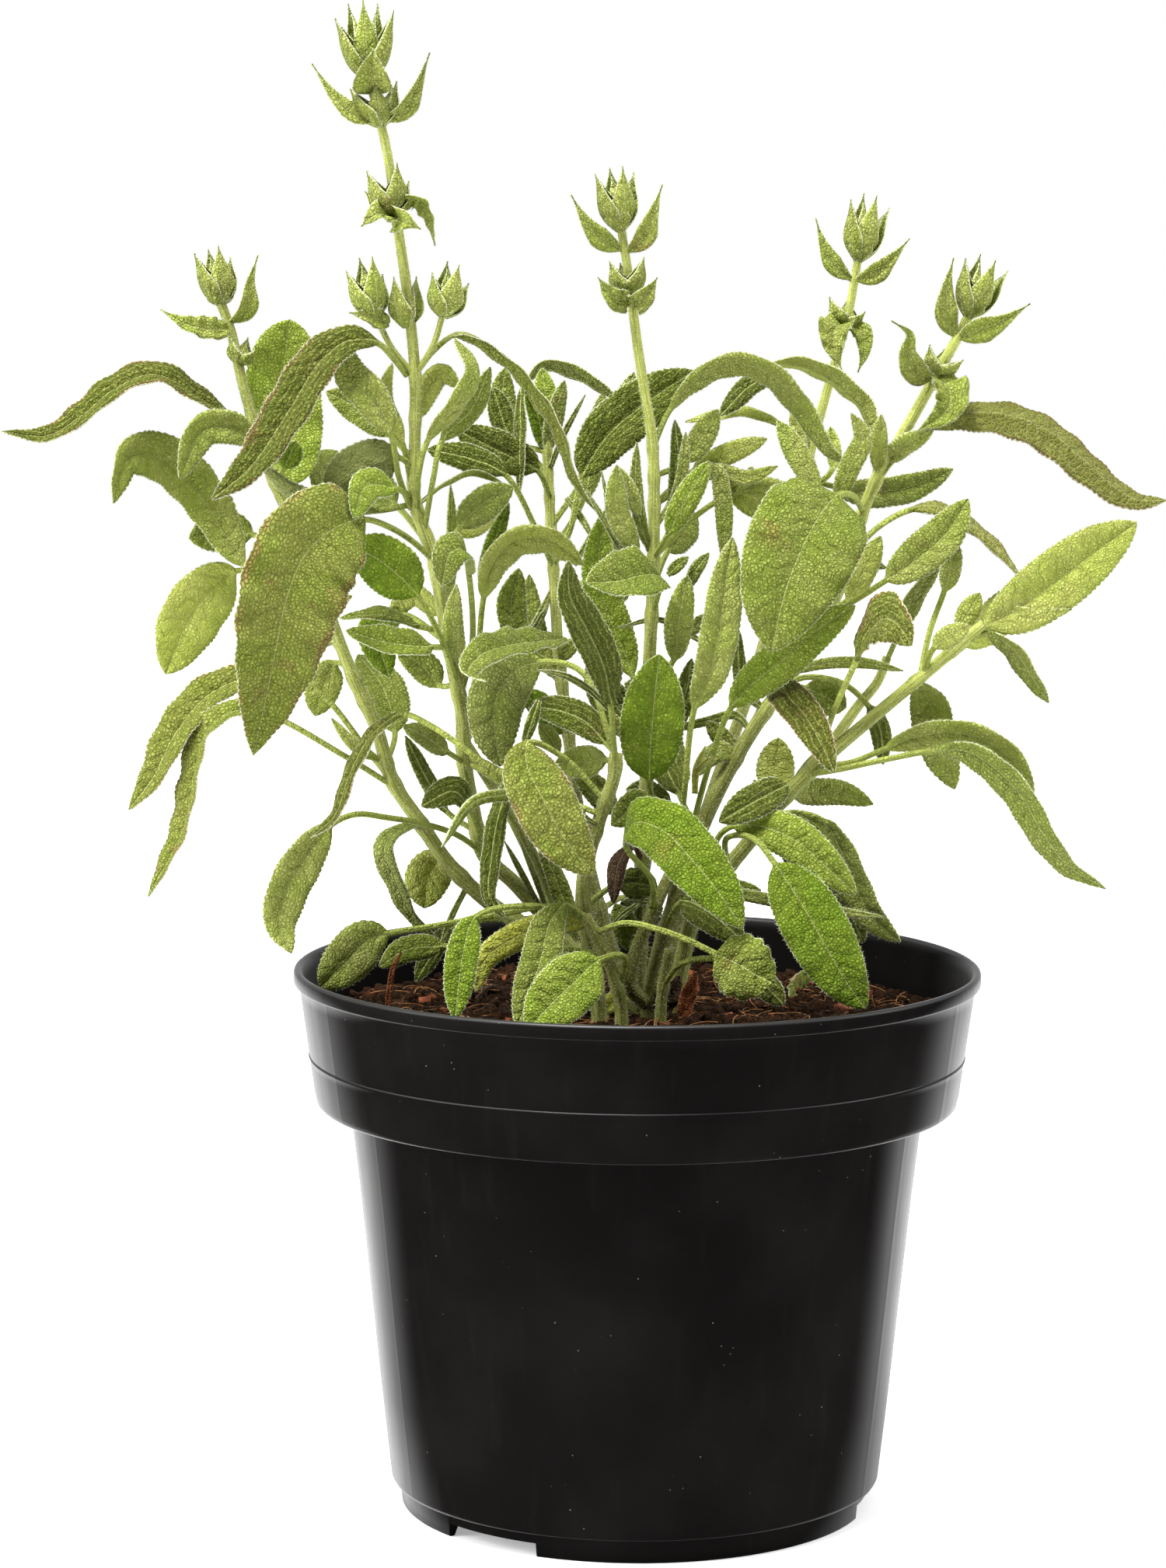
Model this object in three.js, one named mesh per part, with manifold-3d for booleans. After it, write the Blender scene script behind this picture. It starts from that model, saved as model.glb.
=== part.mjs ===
// Potted sage: a black nursery pot of compost with ten leafy stems, five of them in bud.
// Millimetres, +Z up, the floor at z = 0, and the viewer of the reference view on the -Y side.
import * as THREE from 'three';
import { mergeVertices } from 'three/addons/utils/BufferGeometryUtils.js';
import Module from 'manifold-3d';

const wasm = await Module();
wasm.setup();

// Driving dimensions of the pot: a lip on a band, a narrower body under it and a notched foot ring
const POT_HEIGHT = 135;
const RIM_RADIUS = 85;
const LIP_HEIGHT = 3.4;
const LIP_OVERHANG = 1.3;
const BAND_BOTTOM = 101.5;
const BAND_BOTTOM_RADIUS = 79.6;
const BODY_TOP_RADIUS = 71.4;
const BODY_FOOT_RADIUS = 61;
const FOOT_RING_RADIUS = 58.8;
const FOOT_RING_HEIGHT = 5.8;
const FLOOR_DROP = 2.4;
const POT_WALL = 1.5;
const POT_SIDES = 30;
const NOTCH_COUNT = 3;
const NOTCH_FIRST_ANGLE = -37;
const NOTCH_WIDTH = 27;
const NOTCH_FLARE = 2.5;
const NOTCH_DEPTH = 12;

// Driving dimensions of the compost. WALL_SAG is how far the pot's flat sides lie inside its circle.
const FIT_GAP = 0.3;
const WALL_SAG = 0.45;
const SOIL_LEVEL = 122.5;
const SOIL_MOUND = 2.2;
const SOIL_SIDES = 20;
const SOIL_RINGS = [70, 52, 33, 13];
const HOLE_GAP = 1.9;
const HOLE_SIDES = 6;
const HOLE_DEPTH = 40;
const CHIP_COUNT = 7;
const CHIP_SIZE = 7;
const CHIP_THICKNESS = 3.6;
const CHIP_SLIMNESS = 0.35;
const CHIP_TILT = 0.5;
const CHIP_NEAREST = 34;
const CHIP_SPREAD = 36;

// Driving dimensions of the plant
const BLADE_EDGE = 0.64;
const FLAT_BLADE = 0.76;
const BLADE_RIB = 1.1;
const TIP_WIDTH = 0.7;
const STALK_WIDTH = 1.7;
const NARROW_BLADE = 9.1;
const EDGE_WAVE = 0.05;
const BLADE_STEP = 11;
const FEWEST_BLADE_STEPS = 3;
const MOST_BLADE_STEPS = 6;
const STALK_STEP = 17;
const CURVE_SAMPLES = 400;
const BRACT_FOLD = 0.2;
const BUD_BELLY = 1.9;
const BUD_SLIMNESS = 0.2;
const BUD_PROFILE = [[0, 0.35], [0.6, 1], [1, 0.14]];
const BUD_STAGGER = 2.5;

// A blade is widest a little past its middle, with full sides and rounded ends
const BLADE_SKEW = 0.88;
const BLADE_FULLNESS = 2.3;
const BLADE_ROUNDING = 0.72;

// The viewer of the reference view, from whom every route below is read
const EYE = new THREE.Vector3(0, -1090, 317);

// Each stem: name, width at the foot, width at the top, route from foot to top.
// A route point is [across, up, nearer]: where it is seen against the plane through the pot's axis,
// and how far it stands in front of that plane.
const STEMS = [
  ['far_left_stem', 4.6, 2.6, [[-9, 112, 4], [-9.5, 125, 4], [-16, 135, 4], [-28, 144.5, 3],
    [-38, 151.6, 2], [-47, 160.5, 0], [-54, 170.7, -1], [-60.7, 181, -2], [-64.5, 193.7, -3],
    [-69.5, 204.7, -4], [-74.7, 218, -5], [-81, 237.4, -6], [-90.5, 256.8, -6], [-96.5, 276, -6],
    [-100, 291.5, -6], [-102.5, 298.5, -6]]],
  ['tall_stem', 4.6, 2.2, [[-9, 112, -8], [-9.5, 125, -8], [-14, 135, -7], [-21, 144.5, -6],
    [-30, 155, -3], [-37.6, 162.5, 0], [-41, 175, 3], [-43, 187, 5], [-43.5, 198, 6],
    [-45.5, 208, 7], [-48.5, 224.6, 8], [-50.4, 236, 8], [-54, 246, 8], [-55.2, 252, 8],
    [-55, 266, 8], [-55, 281, 8], [-56.8, 300, 8], [-59.2, 317, 8], [-61.8, 335, 8], [-66, 352, 8]]],
  ['centre_stem', 4.6, 2.2, [[0, 112, -1], [0, 125, -1], [0.5, 140, -1], [1, 155, 0], [2, 180, 0],
    [2.5, 208, -1], [3.5, 235, -2], [3, 264.5, -3], [1, 277, -3], [-1, 290, -3], [-3, 305, -3],
    [-5, 317, -3]]],
  ['rear_stem', 4.2, 2.4, [[-1, 112, -14], [-1.5, 125, -14], [-6, 138, -15], [-11, 155, -16],
    [-15, 175, -17], [-17.5, 195, -17], [-19.5, 210, -18], [-21, 232.5, -19], [-22.5, 258.7, -20],
    [-23, 271, -20]]],
  ['right_rear_stem', 4.2, 2.2, [[9, 112, -10], [9, 125, -10], [10, 140, -13], [13, 160, -17],
    [19, 180, -20], [26, 200, -22], [32, 220, -23], [37, 240, -24], [41, 260, -24],
    [46, 279, -24], [50.5, 296, -24], [53, 311, -24]]],
  ['right_stem', 4.8, 2.6, [[3, 112, 9], [3.2, 125, 9], [5, 136, 9.5], [9, 150, 9.5], [15, 168, 6],
    [24, 187, 1], [36, 206, -3], [43, 217, -4], [49, 229, -6], [54, 246, -8], [58.5, 257, -8],
    [66, 270, -8], [72, 281, -8], [77.5, 291, -8], [80.5, 297, -8]]],
  ['far_right_stem', 4.8, 3, [[10, 112, 1], [9.8, 125, 1], [11, 135, 2], [13.5, 146, 4],
    [18, 155, 6], [25, 163, 8], [36.5, 177.5, 11], [46, 187, 11], [59.5, 198.8, 13],
    [73, 210.3, 14.5], [84.6, 220.3, 15]]],
  ['front_stem', 4.4, 3.4, [[-9, 112, 15], [-9.5, 125, 15], [-11, 135, 16], [-13, 146, 18],
    [-13.5, 155, 19], [-11.5, 165, 20], [-8.5, 174.5, 21], [-6, 182, 22], [-5.5, 188, 22]]],
  ['low_front_shoot', 3.6, 3, [[-4, 112, 25], [-4, 125, 25], [-6, 133, 27], [-9.5, 141, 28],
    [-13, 147.5, 28]]],
  ['low_right_shoot', 3.4, 2.6, [[6, 112, 20], [6, 125, 20], [7, 133, 21], [8, 139, 22]]],
];

// How far each shoot leans towards the viewer over LEAN_RISE of height, besides its routes
const LEAN_RISE = 200;
const LEANS = {
  far_left_stem: -14,
  tall_stem: 6,
  centre_stem: 4,
  rear_stem: -24,
  right_rear_stem: -34,
  right_stem: -6,
  far_right_stem: 12,
  front_stem: 6,
  low_front_shoot: 0,
  low_right_shoot: 0,
};

// Each leaf: its stem, bare stalk points, width, turn from face-on, twist along the blade, fold of
// the two halves (edges towards the face when positive), tone, route from the stem to the tip.
// Tones: d dull green, b bright, p pale, g grey, k dark, o olive with a brown edge, y yellow, x dead.
const LEAVES = [
  // On the far left stem
  ['far_left_stem', 2, 13, 15, 0, 0.2, 'b', [[-78, 228, -5], [-87.8, 230, -8], [-97, 234, -12],
    [-105.5, 248, -15], [-111.5, 255.5, -13], [-118.5, 260.5, -8], [-125.5, 260, 0],
    [-129, 249, 4]]],
  ['far_left_stem', 1, 9, 50, 0, 0.3, 'o', [[-94.5, 270, -6], [-99, 269.9, -5], [-107, 274.5, -3],
    [-118.5, 280.5, -1], [-128.4, 276.9, 1], [-136, 270.8, 2], [-144.8, 265.5, 3],
    [-156.1, 266.3, 5]]],
  ['far_left_stem', 1, 19, 0, 0, 0.15, 'b', [[-88, 250, -6], [-85.2, 254, -9], [-86.5, 266, -13],
    [-87.2, 280, -14], [-85.5, 294, -12]]],
  ['far_left_stem', 1, 8.5, -20, 0, 0.35, 'g', [[-92, 260, -6], [-94, 263.8, 2], [-100, 267.5, 8],
    [-107, 267, 12], [-112.7, 255.1, 14]]],
  ['far_left_stem', 2, 11, 20, 0, 0.3, 'k', [[-79, 231, -6], [-88, 238, -14], [-95, 241.5, -21],
    [-103, 241.5, -23], [-110.5, 240.5, -21]]],
  ['far_left_stem', 2, 16, -15, 0, 0.15, 'b', [[-77, 224, -5], [-89, 230.5, -16], [-99, 232.5, -20],
    [-105, 228, -20], [-111, 220, -18], [-116.5, 207, -15]]],
  ['far_left_stem', 3, 10.5, 35, 10, 0.35, 'd', [[-61, 181, -2], [-67.4, 189.1, -7],
    [-78.8, 202.7, -10], [-88.8, 206, -9], [-97.8, 205.7, -7], [-106.8, 201.2, -4],
    [-114.8, 191.2, -1], [-119.8, 181.2, 1], [-125.8, 173.2, 2]]],
  ['far_left_stem', 2, 9, 58, 0, 0.4, 'd', [[-60.5, 179.5, -2], [-72.6, 187, 2], [-91.2, 197, 4],
    [-100.2, 197.7, 3], [-106.7, 192.5, 2], [-110.2, 179, 3], [-112.7, 168, 3],
    [-121.2, 151.5, 3]]],
  ['far_left_stem', 2, 9, 0, 0, 0.1, 'b', [[-68, 200, -4], [-71, 208, -10], [-74.5, 210, -14],
    [-77.3, 205, -15], [-79.7, 196.8, -14]]],
  ['far_left_stem', 0, 3, 0, 0, 0, 'd', [[-64, 186, -2], [-70, 189.5, 4], [-75.7, 196.3, 5]]],
  ['far_left_stem', 0, 6.5, 45, 30, 0.3, 'd', [[-53.5, 169.8, -1], [-58.3, 168.7, 5], [-62.6, 164, 9],
    [-60.1, 156.5, 8], [-55.6, 147, 5], [-48.6, 140.5, 2]]],
  ['far_left_stem', 1, 11.5, 0, 0, 0.1, 'b', [[-43.5, 157, 1], [-47.9, 162.1, -6], [-51.8, 157, -8],
    [-52.8, 149, -8]]],
  ['far_left_stem', 2, 6, 30, 0, 0.2, 'k', [[-30, 146.3, 3], [-39, 146, -5], [-46, 144, -9],
    [-50.5, 138, -11], [-55, 130.5, -12]]],
  ['far_left_stem', 1, 6, 10, 0, 0.2, 'k', [[-90, 254, -6], [-87, 258, 0], [-84, 264.5, 2]]],
  // On the tall stem
  ['tall_stem', 2, 12, 30, 10, 0.25, 'o', [[-57, 280.5, 8], [-60.5, 285, 11], [-64, 288.3, 13],
    [-71, 289, 15], [-78, 284, 17], [-85.7, 272, 19], [-95.4, 257.9, 21], [-104.8, 250, 22]]],
  ['tall_stem', 5, 10.5, -15, 0, 0.3, 'b', [[-37, 162, 1], [-44.9, 167.5, 6], [-53.8, 170.3, 10],
    [-61.8, 171.6, 12], [-69.8, 172.4, 14], [-75.8, 169.7, 15], [-81.8, 162.5, 16],
    [-86.8, 153.5, 18], [-88.8, 144.5, 20], [-85.8, 137.5, 25]]],
  ['tall_stem', 1, 7, 66, 0, 0.3, 'o', [[-55, 280.6, 8], [-50, 287, 2], [-44, 290.6, -2],
    [-36.5, 287.3, -5], [-29.3, 281.6, -6], [-20.5, 269.5, -7], [-15.4, 254.8, -7],
    [-10.3, 247.2, -6]]],
  ['tall_stem', 2, 9, 10, 0, 0.3, 'b', [[-56, 248, 8], [-59, 256, 12], [-61, 266.5, 14],
    [-66, 275, 14], [-71, 281, 13], [-72.9, 289, 11]]],
  ['tall_stem', 1, 5, 40, 0, 0, 'd', [[-56, 254, 8], [-58, 264, 9], [-62.5, 275.5, 10],
    [-60.6, 283.5, 12]]],
  ['tall_stem', 1, 9, 20, 0, 0.2, 'k', [[-55.5, 260, 8], [-61, 266, 0], [-68, 272, -5],
    [-76.7, 276.5, -5]]],
  ['tall_stem', 2, 6, 45, 0, 0, 'p', [[-54.6, 247, 8], [-54, 257, 14], [-51.9, 264.6, 15],
    [-45, 273.5, 16], [-41, 282, 15], [-45.5, 289.6, 13]]],
  ['tall_stem', 2, 6, 30, 0, 0, 'p', [[-53, 241, 8], [-50.4, 256, 11], [-48.4, 264.6, 10],
    [-41, 272.5, 8], [-36.6, 282.7, 7]]],
  ['tall_stem', 1, 13, 170, 0, 0.15, 'g', [[-55.6, 258, 8], [-59, 260.5, 11], [-67, 258, 14],
    [-77.5, 251, 14]]],
  ['tall_stem', 1, 8, -20, 0, 0.2, 'b', [[-56, 251, 8], [-60, 253, 16], [-67, 253.5, 23],
    [-70, 245.5, 29]]],
  ['tall_stem', 3, 27, -20, 0, 0.22, 'o', [[-50.5, 235.4, 8], [-56, 240.3, 12], [-62, 243.8, 18],
    [-67.5, 245.3, 24], [-75, 243, 32], [-82, 236.5, 38], [-86.5, 226, 42], [-89.5, 212, 44],
    [-92, 200, 44], [-95, 187, 42]]],
  ['tall_stem', 2, 13.5, 5, 0, 0.12, 'd', [[-44, 203, 6], [-49, 217, 14], [-54.5, 226.8, 18],
    [-59, 231.5, 19], [-64, 235.5, 20], [-71.5, 239, 20]]],
  ['tall_stem', 1, 7, 130, 0, 0.3, 'g', [[-56, 249, 8], [-64, 247.5, 11], [-74, 247.5, 15],
    [-84, 251, 17], [-93, 258.5, 17]]],
  ['tall_stem', 2, 9, 0, 0, 0.3, 'o', [[-43.5, 203, 6], [-41, 214, 6], [-41.8, 232, 15],
    [-43.5, 238, 21], [-46.5, 237, 25], [-48.5, 229, 27]]],
  ['tall_stem', 0, 5.5, 0, 0, 0, 'p', [[-44.3, 204, 6], [-45, 211, 9], [-45.7, 220, 12],
    [-44.8, 229.5, 12]]],
  ['tall_stem', 1, 8.5, 40, 0, 0.4, 'g', [[-46.5, 214, 7], [-51, 214, 17], [-58, 214.5, 22],
    [-64, 215.5, 23], [-72, 218, 22]]],
  ['tall_stem', 1, 7, 65, 0, 0.2, 'k', [[-47.5, 218, 7], [-54, 219, 10], [-63, 221.8, 12],
    [-73.5, 221, 11]]],
  ['tall_stem', 1, 9, 0, 0, 0.1, 'b', [[-47, 215, 7], [-58, 222, -2], [-64.5, 219, -6],
    [-61.5, 206.5, -6]]],
  ['tall_stem', 1, 8, 20, 0, 0.2, 'k', [[-44.5, 205, 6], [-49, 204.5, 0], [-53, 209, -3],
    [-59.5, 214, -4]]],
  ['tall_stem', 1, 6.5, 30, 0, 0.2, 'k', [[-43, 185.5, 5], [-47, 188, 11], [-52, 191.5, 13],
    [-58, 194.5, 13]]],
  ['tall_stem', 1, 4.5, 20, 0, 0, 'k', [[-39.5, 168, 2], [-47, 173, 0], [-52, 181, -2],
    [-57.5, 192, -3]]],
  ['tall_stem', 1, 7.5, 20, 0, 0.2, 'd', [[-38.5, 165, 1], [-41.5, 173.5, 8], [-45.5, 178.3, 11],
    [-53.5, 174.5, 12]]],
  ['tall_stem', 2, 8.5, 30, 0, 0.2, 'b', [[-43.3, 192, 5], [-40, 208, 0], [-38.2, 226, 0],
    [-36, 234, 0], [-31, 239.8, 0], [-23, 240.8, -1], [-13.6, 234.4, -3]]],
  ['tall_stem', 1, 8.5, 10, 0, 0.2, 'o', [[-50, 231, 8], [-44, 243.5, 4], [-38, 249.5, 3],
    [-31, 253.5, 2]]],
  ['tall_stem', 0, 5, 20, 0, 0, 'k', [[-38.2, 226, 0], [-37, 235, -5], [-34.5, 243, -8],
    [-32, 249.5, -9]]],
  ['tall_stem', 0, 6, 0, 0, 0, 'b', [[-55, 270, 8], [-52, 277, 2], [-48.5, 281, 0], [-44, 277.5, 0]]],
  ['tall_stem', 0, 5.4, 20, 0, 0, 'k', [[-16, 137, -7], [-17, 147, -7.5], [-20, 156, -8],
    [-25, 168, -8]]],
  ['tall_stem', 0, 3.4, 60, 0, 0, 'k', [[-54, 249, 8], [-47, 254.5, 2], [-40, 256.8, -2],
    [-33, 254, -4]]],
  // On the rear stem
  ['rear_stem', 0, 5, 0, 0, 0, 'b', [[-23, 262, -20], [-25, 271, -18], [-28, 279.5, -17]]],
  ['rear_stem', 0, 5, 20, 0, 0, 'd', [[-22.7, 262, -20], [-20.5, 272, -18], [-18.5, 279.5, -18]]],
  ['rear_stem', 0, 6, 10, 0, 0, 'b', [[-23, 268, -20], [-23, 274, -21], [-24, 282.5, -22]]],
  ['rear_stem', 1, 4, 40, 0, 0, 'o', [[-23, 268, -20], [-28.5, 277.5, -15], [-29.3, 266, -13],
    [-29.4, 252, -13]]],
  ['rear_stem', 1, 6.5, 0, 0, 0, 'k', [[-22.8, 262, -20], [-31, 265, -23], [-36, 277.7, -24]]],
  ['rear_stem', 1, 6, 55, 0, 0, 'o', [[-23, 269, -20], [-27.5, 278.5, -24], [-23, 283, -26],
    [-14, 280.5, -26], [-5, 274.5, -26]]],
  ['rear_stem', 2, 14, -10, 0, 0.2, 'k', [[-21, 234, -19], [-17, 243, -15], [-14, 256, -13],
    [-8, 266, -13], [0, 273, -13], [13, 282, -13]]],
  ['rear_stem', 1, 10, 10, 0, 0.2, 'd', [[-22, 251, -19], [-25, 257.5, -15], [-34, 262, -13],
    [-45, 267.5, -12]]],
  ['rear_stem', 2, 7.5, 20, 0, 0, 'k', [[-20.8, 233, -19], [-25.5, 243.5, -14], [-33, 256.5, -9],
    [-42, 260.5, -8], [-52, 262.5, -8]]],
  ['rear_stem', 1, 7.5, 0, 0, 0, 'b', [[-22.8, 257, -20], [-29, 264, -25], [-33.5, 273, -27],
    [-33, 282.5, -27]]],
  ['rear_stem', 1, 7.5, 0, 0, 0, 'o', [[-21.5, 244, -19], [-12, 258, -24], [-5.5, 270, -28],
    [-1.5, 281.5, -29]]],
  ['rear_stem', 1, 6.5, 10, 0, 0, 'k', [[-21, 238, -19], [-14, 250, -26], [-11, 264, -31],
    [-9, 277, -33]]],
  ['rear_stem', 0, 6.5, 0, 0, 0, 'o', [[-19.2, 206, -18], [-24.5, 214, -18.5], [-26.5, 223, -19],
    [-27, 232, -19]]],
  ['rear_stem', 0, 7, 0, 0, 0, 'd', [[-17.5, 193, -17], [-22, 197.5, -14], [-26, 201, -13],
    [-30.5, 202, -13]]],
  ['rear_stem', 1, 7.8, 15, 0, 0.25, 'b', [[-19.5, 209, -18], [-28, 214.5, -12], [-31.5, 223, -11],
    [-29.5, 233.5, -10]]],
  ['rear_stem', 1, 9.5, 40, -20, 0.3, 'd', [[-19.5, 214, -18], [-18.5, 216, 2], [-25, 215.5, 16],
    [-32, 214.5, 29], [-39, 212, 40], [-42, 207.5, 46], [-37.5, 205.5, 50]]],
  // On the front stem
  ['front_stem', 2, 9.5, 20, 10, 0.2, 'g', [[-5.5, 185, 22], [-6.2, 192, 26], [-6.9, 200, 30],
    [-8.5, 209, 33], [-12.5, 218, 36], [-17, 227, 38], [-17.5, 235.5, 38]]],
  ['front_stem', 2, 14, -5, 0, 0.12, 'b', [[-5.5, 187, 22], [-14, 208, 20], [-24, 210.5, 16],
    [-31, 207.5, 12], [-34.8, 202, 12], [-35.5, 194, 14], [-34, 184.5, 16]]],
  ['front_stem', 2, 15, 0, 0, 0.15, 'o', [[-8, 176, 21], [-18, 186.5, 22], [-27, 190.5, 28],
    [-27.5, 185, 32], [-23.5, 176.5, 36], [-19, 168, 38], [-11, 157.5, 39]]],
  ['front_stem', 1, 8, 10, 0, 0.2, 'o', [[-5.7, 188, 22], [-8, 190.5, 20], [-13, 195.7, 17],
    [-19, 198.3, 14], [-27, 199.5, 10]]],
  ['front_stem', 1, 8, 0, 0, 0.2, 'b', [[-5.8, 185.5, 22], [-8, 186.3, 18], [-14, 185.7, 12],
    [-20.5, 185.3, 8]]],
  ['front_stem', 2, 8, 0, 0, 0.15, 'b', [[-12.8, 149.5, 18.5], [-9.5, 152.5, 12], [-5, 155.3, 5.6],
    [0, 155.5, 4.8], [5, 154.5, 4.8]]],
  ['front_stem', 5, 6.5, 60, 0, 0, 'k', [[-9, 172.5, 21], [-22, 178, 21], [-38.5, 185.8, 20],
    [-45, 190.5, 21], [-52, 195, 21], [-58, 197.3, 21], [-65, 193, 21], [-71, 183, 21],
    [-75, 172, 21], [-81, 166.5, 21]]],
  ['front_stem', 0, 3.2, 0, 0, 0, 'p', [[-10, 170, 21], [-22, 176, 27], [-34, 177.3, 30],
    [-41, 175.3, 32], [-48.5, 164.3, 34]]],
  ['front_stem', 2, 5.8, 30, 0, 0, 'k', [[-10, 168, 20], [-20, 178, 23], [-30, 182.5, 25],
    [-34, 174, 27], [-36.3, 161, 28], [-36.7, 152, 28], [-32.5, 146.5, 29]]],
  // On the centre stem
  ['centre_stem', 1, 7.5, 33, 0, 0, 'd', [[3.1, 263, -3], [7, 272, -6], [13, 279, -8],
    [22, 283.5, -9], [31, 281.5, -9], [40, 272, -10.5], [46, 262.8, -9.5], [51, 259.5, -8.5]]],
  ['centre_stem', 1, 6.5, 0, 0, 0, 'b', [[3, 256, -3], [11, 260, -9], [19, 272.5, -12]]],
  ['centre_stem', 3, 4.5, 20, 0, 0, 'd', [[3.4, 236, -2], [8, 241, -8], [15, 247.5, -12],
    [23, 252.3, -14], [31, 254, -15], [42, 250.5, -15]]],
  ['centre_stem', 1, 5.5, 0, 0, 0, 'b', [[3.2, 249, -3], [13, 257.5, -12], [22, 262, -14],
    [31, 265.5, -14]]],
  ['centre_stem', 1, 6.5, 0, 0, 0, 'b', [[3.4, 236, -2], [7, 242, 4], [11, 250, 6],
    [17, 260, 6]]],
  ['centre_stem', 1, 14.5, 35, 0, 0.35, 'g', [[3.3, 222, -2], [5, 231, 5], [1, 232, 13],
    [-5, 230.5, 20], [-13, 230, 26]]],
  ['centre_stem', 1, 9.5, 10, 0, 0.2, 'b', [[2.5, 200, 0], [-1.5, 207, -5], [-4, 214, -7],
    [-8.5, 225, -8], [-10, 236, -8], [-8, 248.5, -8]]],
  ['centre_stem', 1, 6.2, 20, 0, 0, 'p', [[3, 230, -2], [-0.5, 237, 3], [-5.5, 248, 5],
    [-5.7, 259, 5]]],
  ['centre_stem', 0, 3.6, 20, 0, 0, 'g', [[2.4, 238, -2], [0, 246, 1], [-1, 255, 1],
    [-0.8, 264.5, 1]]],
  ['centre_stem', 0, 4.6, 10, 0, 0, 'k', [[13, 257.3, -12], [18.5, 257.5, -11], [20.5, 249, -10],
    [20.8, 235, -10]]],
  ['centre_stem', 0, 5.5, 0, 0, 0, 'd', [[18.5, 257.5, -12], [22, 254.5, -14], [26, 250, -15],
    [31, 245.5, -15]]],
  ['centre_stem', 0, 7.5, 0, 0, 0, 'k', [[2.2, 190, 0], [-5, 197, -6], [-10, 204, -8],
    [-12, 212, -8]]],
  ['centre_stem', 0, 6.5, 0, 0, 0, 'b', [[2.3, 190, 0], [8, 196, -4], [11.5, 203, -6],
    [13, 211.5, -6]]],
  ['centre_stem', 0, 7, 0, 0, 0, 'k', [[0.6, 139, -1], [-2, 143, 1.5], [-4, 147, 1.5],
    [-5.5, 150.5, 1]]],
  ['centre_stem', 1, 7, 10, 0, 0, 'p', [[2.7, 205, -1], [8.5, 211, 5], [9.8, 221, 8],
    [11.8, 232, 9]]],
  ['centre_stem', 2, 15.5, 0, 0, 0.14, 'd', [[1.5, 165, 0], [3.4, 173, 9], [2.8, 181.5, 15],
    [3, 190, 17], [3.8, 200, 19], [5, 212.5, 21]]],
  ['centre_stem', 1, 8, 0, 0, 0.2, 'b', [[1.3, 163, 0], [4, 173.5, 7], [0, 175, 12],
    [-6.6, 170, 16]]],
  ['centre_stem', 1, 5, 30, 0, 0, 'x', [[1.2, 161, 0], [-1.5, 165, 7], [-5, 160, 12],
    [-6, 150.5, 13.5]]],
  // On the right rear stem
  ['right_rear_stem', 2, 6.5, 30, 0, 0, 'd', [[41.5, 262, -24], [38, 274, -21], [33, 280.5, -19],
    [27, 278.5, -18], [19.5, 271, -18]]],
  ['right_rear_stem', 1, 4.5, 50, 0, 0, 'd', [[41, 260, -24], [35, 268, -24], [26, 272, -23],
    [11, 269.5, -21]]],
  ['right_rear_stem', 1, 6.5, 15, 0, 0, 'p', [[39, 249, -24], [43, 252.5, -20], [40, 259, -19],
    [33.5, 270, -19]]],
  ['right_rear_stem', 1, 4, 0, 0, 0, 'p', [[39.5, 252, -24], [47, 258, -20], [46.5, 268.5, -18]]],
  ['right_rear_stem', 1, 8, 15, 0, 0.2, 'k', [[40, 256, -24], [47, 254, -23], [55, 252.5, -22],
    [66, 253.8, -21], [76.5, 258.3, -20]]],
  // On the right stem
  ['right_stem', 2, 11, 140, 0, 0.35, 'o', [[57.5, 255, -8], [63.5, 262.4, -7], [70, 268.1, -6],
    [80, 271.6, -5], [90, 271.3, -4], [99.5, 267.5, -4], [107.5, 261.1, -4], [114.5, 255, -4],
    [121, 251.1, -4], [128.5, 250.8, -4]]],
  ['right_stem', 0, 4.5, 0, 0, 0, 'p', [[58.5, 257, -8], [58.3, 264, -4], [58.8, 271.5, -2]]],
  ['right_stem', 0, 5.5, 20, 0, 0, 'b', [[60, 260, -8], [64.5, 264, -3], [71.5, 267.7, 0]]],
  ['right_stem', 1, 8, 125, 0, 0.3, 'o', [[57.5, 255.5, -8], [57.5, 265, -13], [54.5, 273, -15],
    [48, 279, -16], [40, 283, -17], [31.5, 284, -17]]],
  ['right_stem', 1, 5.5, 0, 0, 0, 'p', [[54, 246, -8], [48.8, 250, -2], [51, 258, 0],
    [54.3, 266, 0], [51.5, 271.8, 0]]],
  ['right_stem', 2, 27.5, 0, 0, 0.1, 'g', [[54.6, 248, -8], [52, 251.8, 3], [48, 251.5, 13],
    [43.5, 246, 21], [39, 237, 26], [35.5, 227, 29], [32.5, 213.3, 30]]],
  ['right_stem', 3, 7, 118, 0, 0, 'g', [[50.3, 233, -6], [53, 238, -2], [58, 243.7, 2],
    [66, 248.2, 4], [73, 248.6, 4], [80.5, 244.7, 3], [87, 239.5, 3], [93, 232.3, 4]]],
  ['right_stem', 2, 10.5, -10, 0, 0.3, 'o', [[46, 223, -5], [52, 225.5, 4], [60.5, 231, 8],
    [68, 236.3, 9], [75, 242.7, 9], [80.3, 251, 9]]],
  ['right_stem', 1, 6.5, 0, 0, 0, 'p', [[46.5, 223.5, -5], [51, 226, -1], [55, 233.5, 1],
    [59, 241.8, 2]]],
  ['right_stem', 1, 9, 0, 0, 0.2, 'o', [[34.8, 204, -3], [32.8, 205.5, 8], [36.5, 202.3, 18],
    [41, 197.3, 24], [45, 190.5, 28], [48.3, 183.3, 30]]],
  ['right_stem', 0, 3, 0, 0, 0, 'p', [[37.5, 208, -3], [45, 210.3, -3], [55, 210.6, -3],
    [65, 208.7, -2]]],
  ['right_stem', 3, 5.2, 0, 0, 0, 'k', [[35, 204.5, -3], [41, 207, 0], [50, 205.6, 3],
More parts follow.
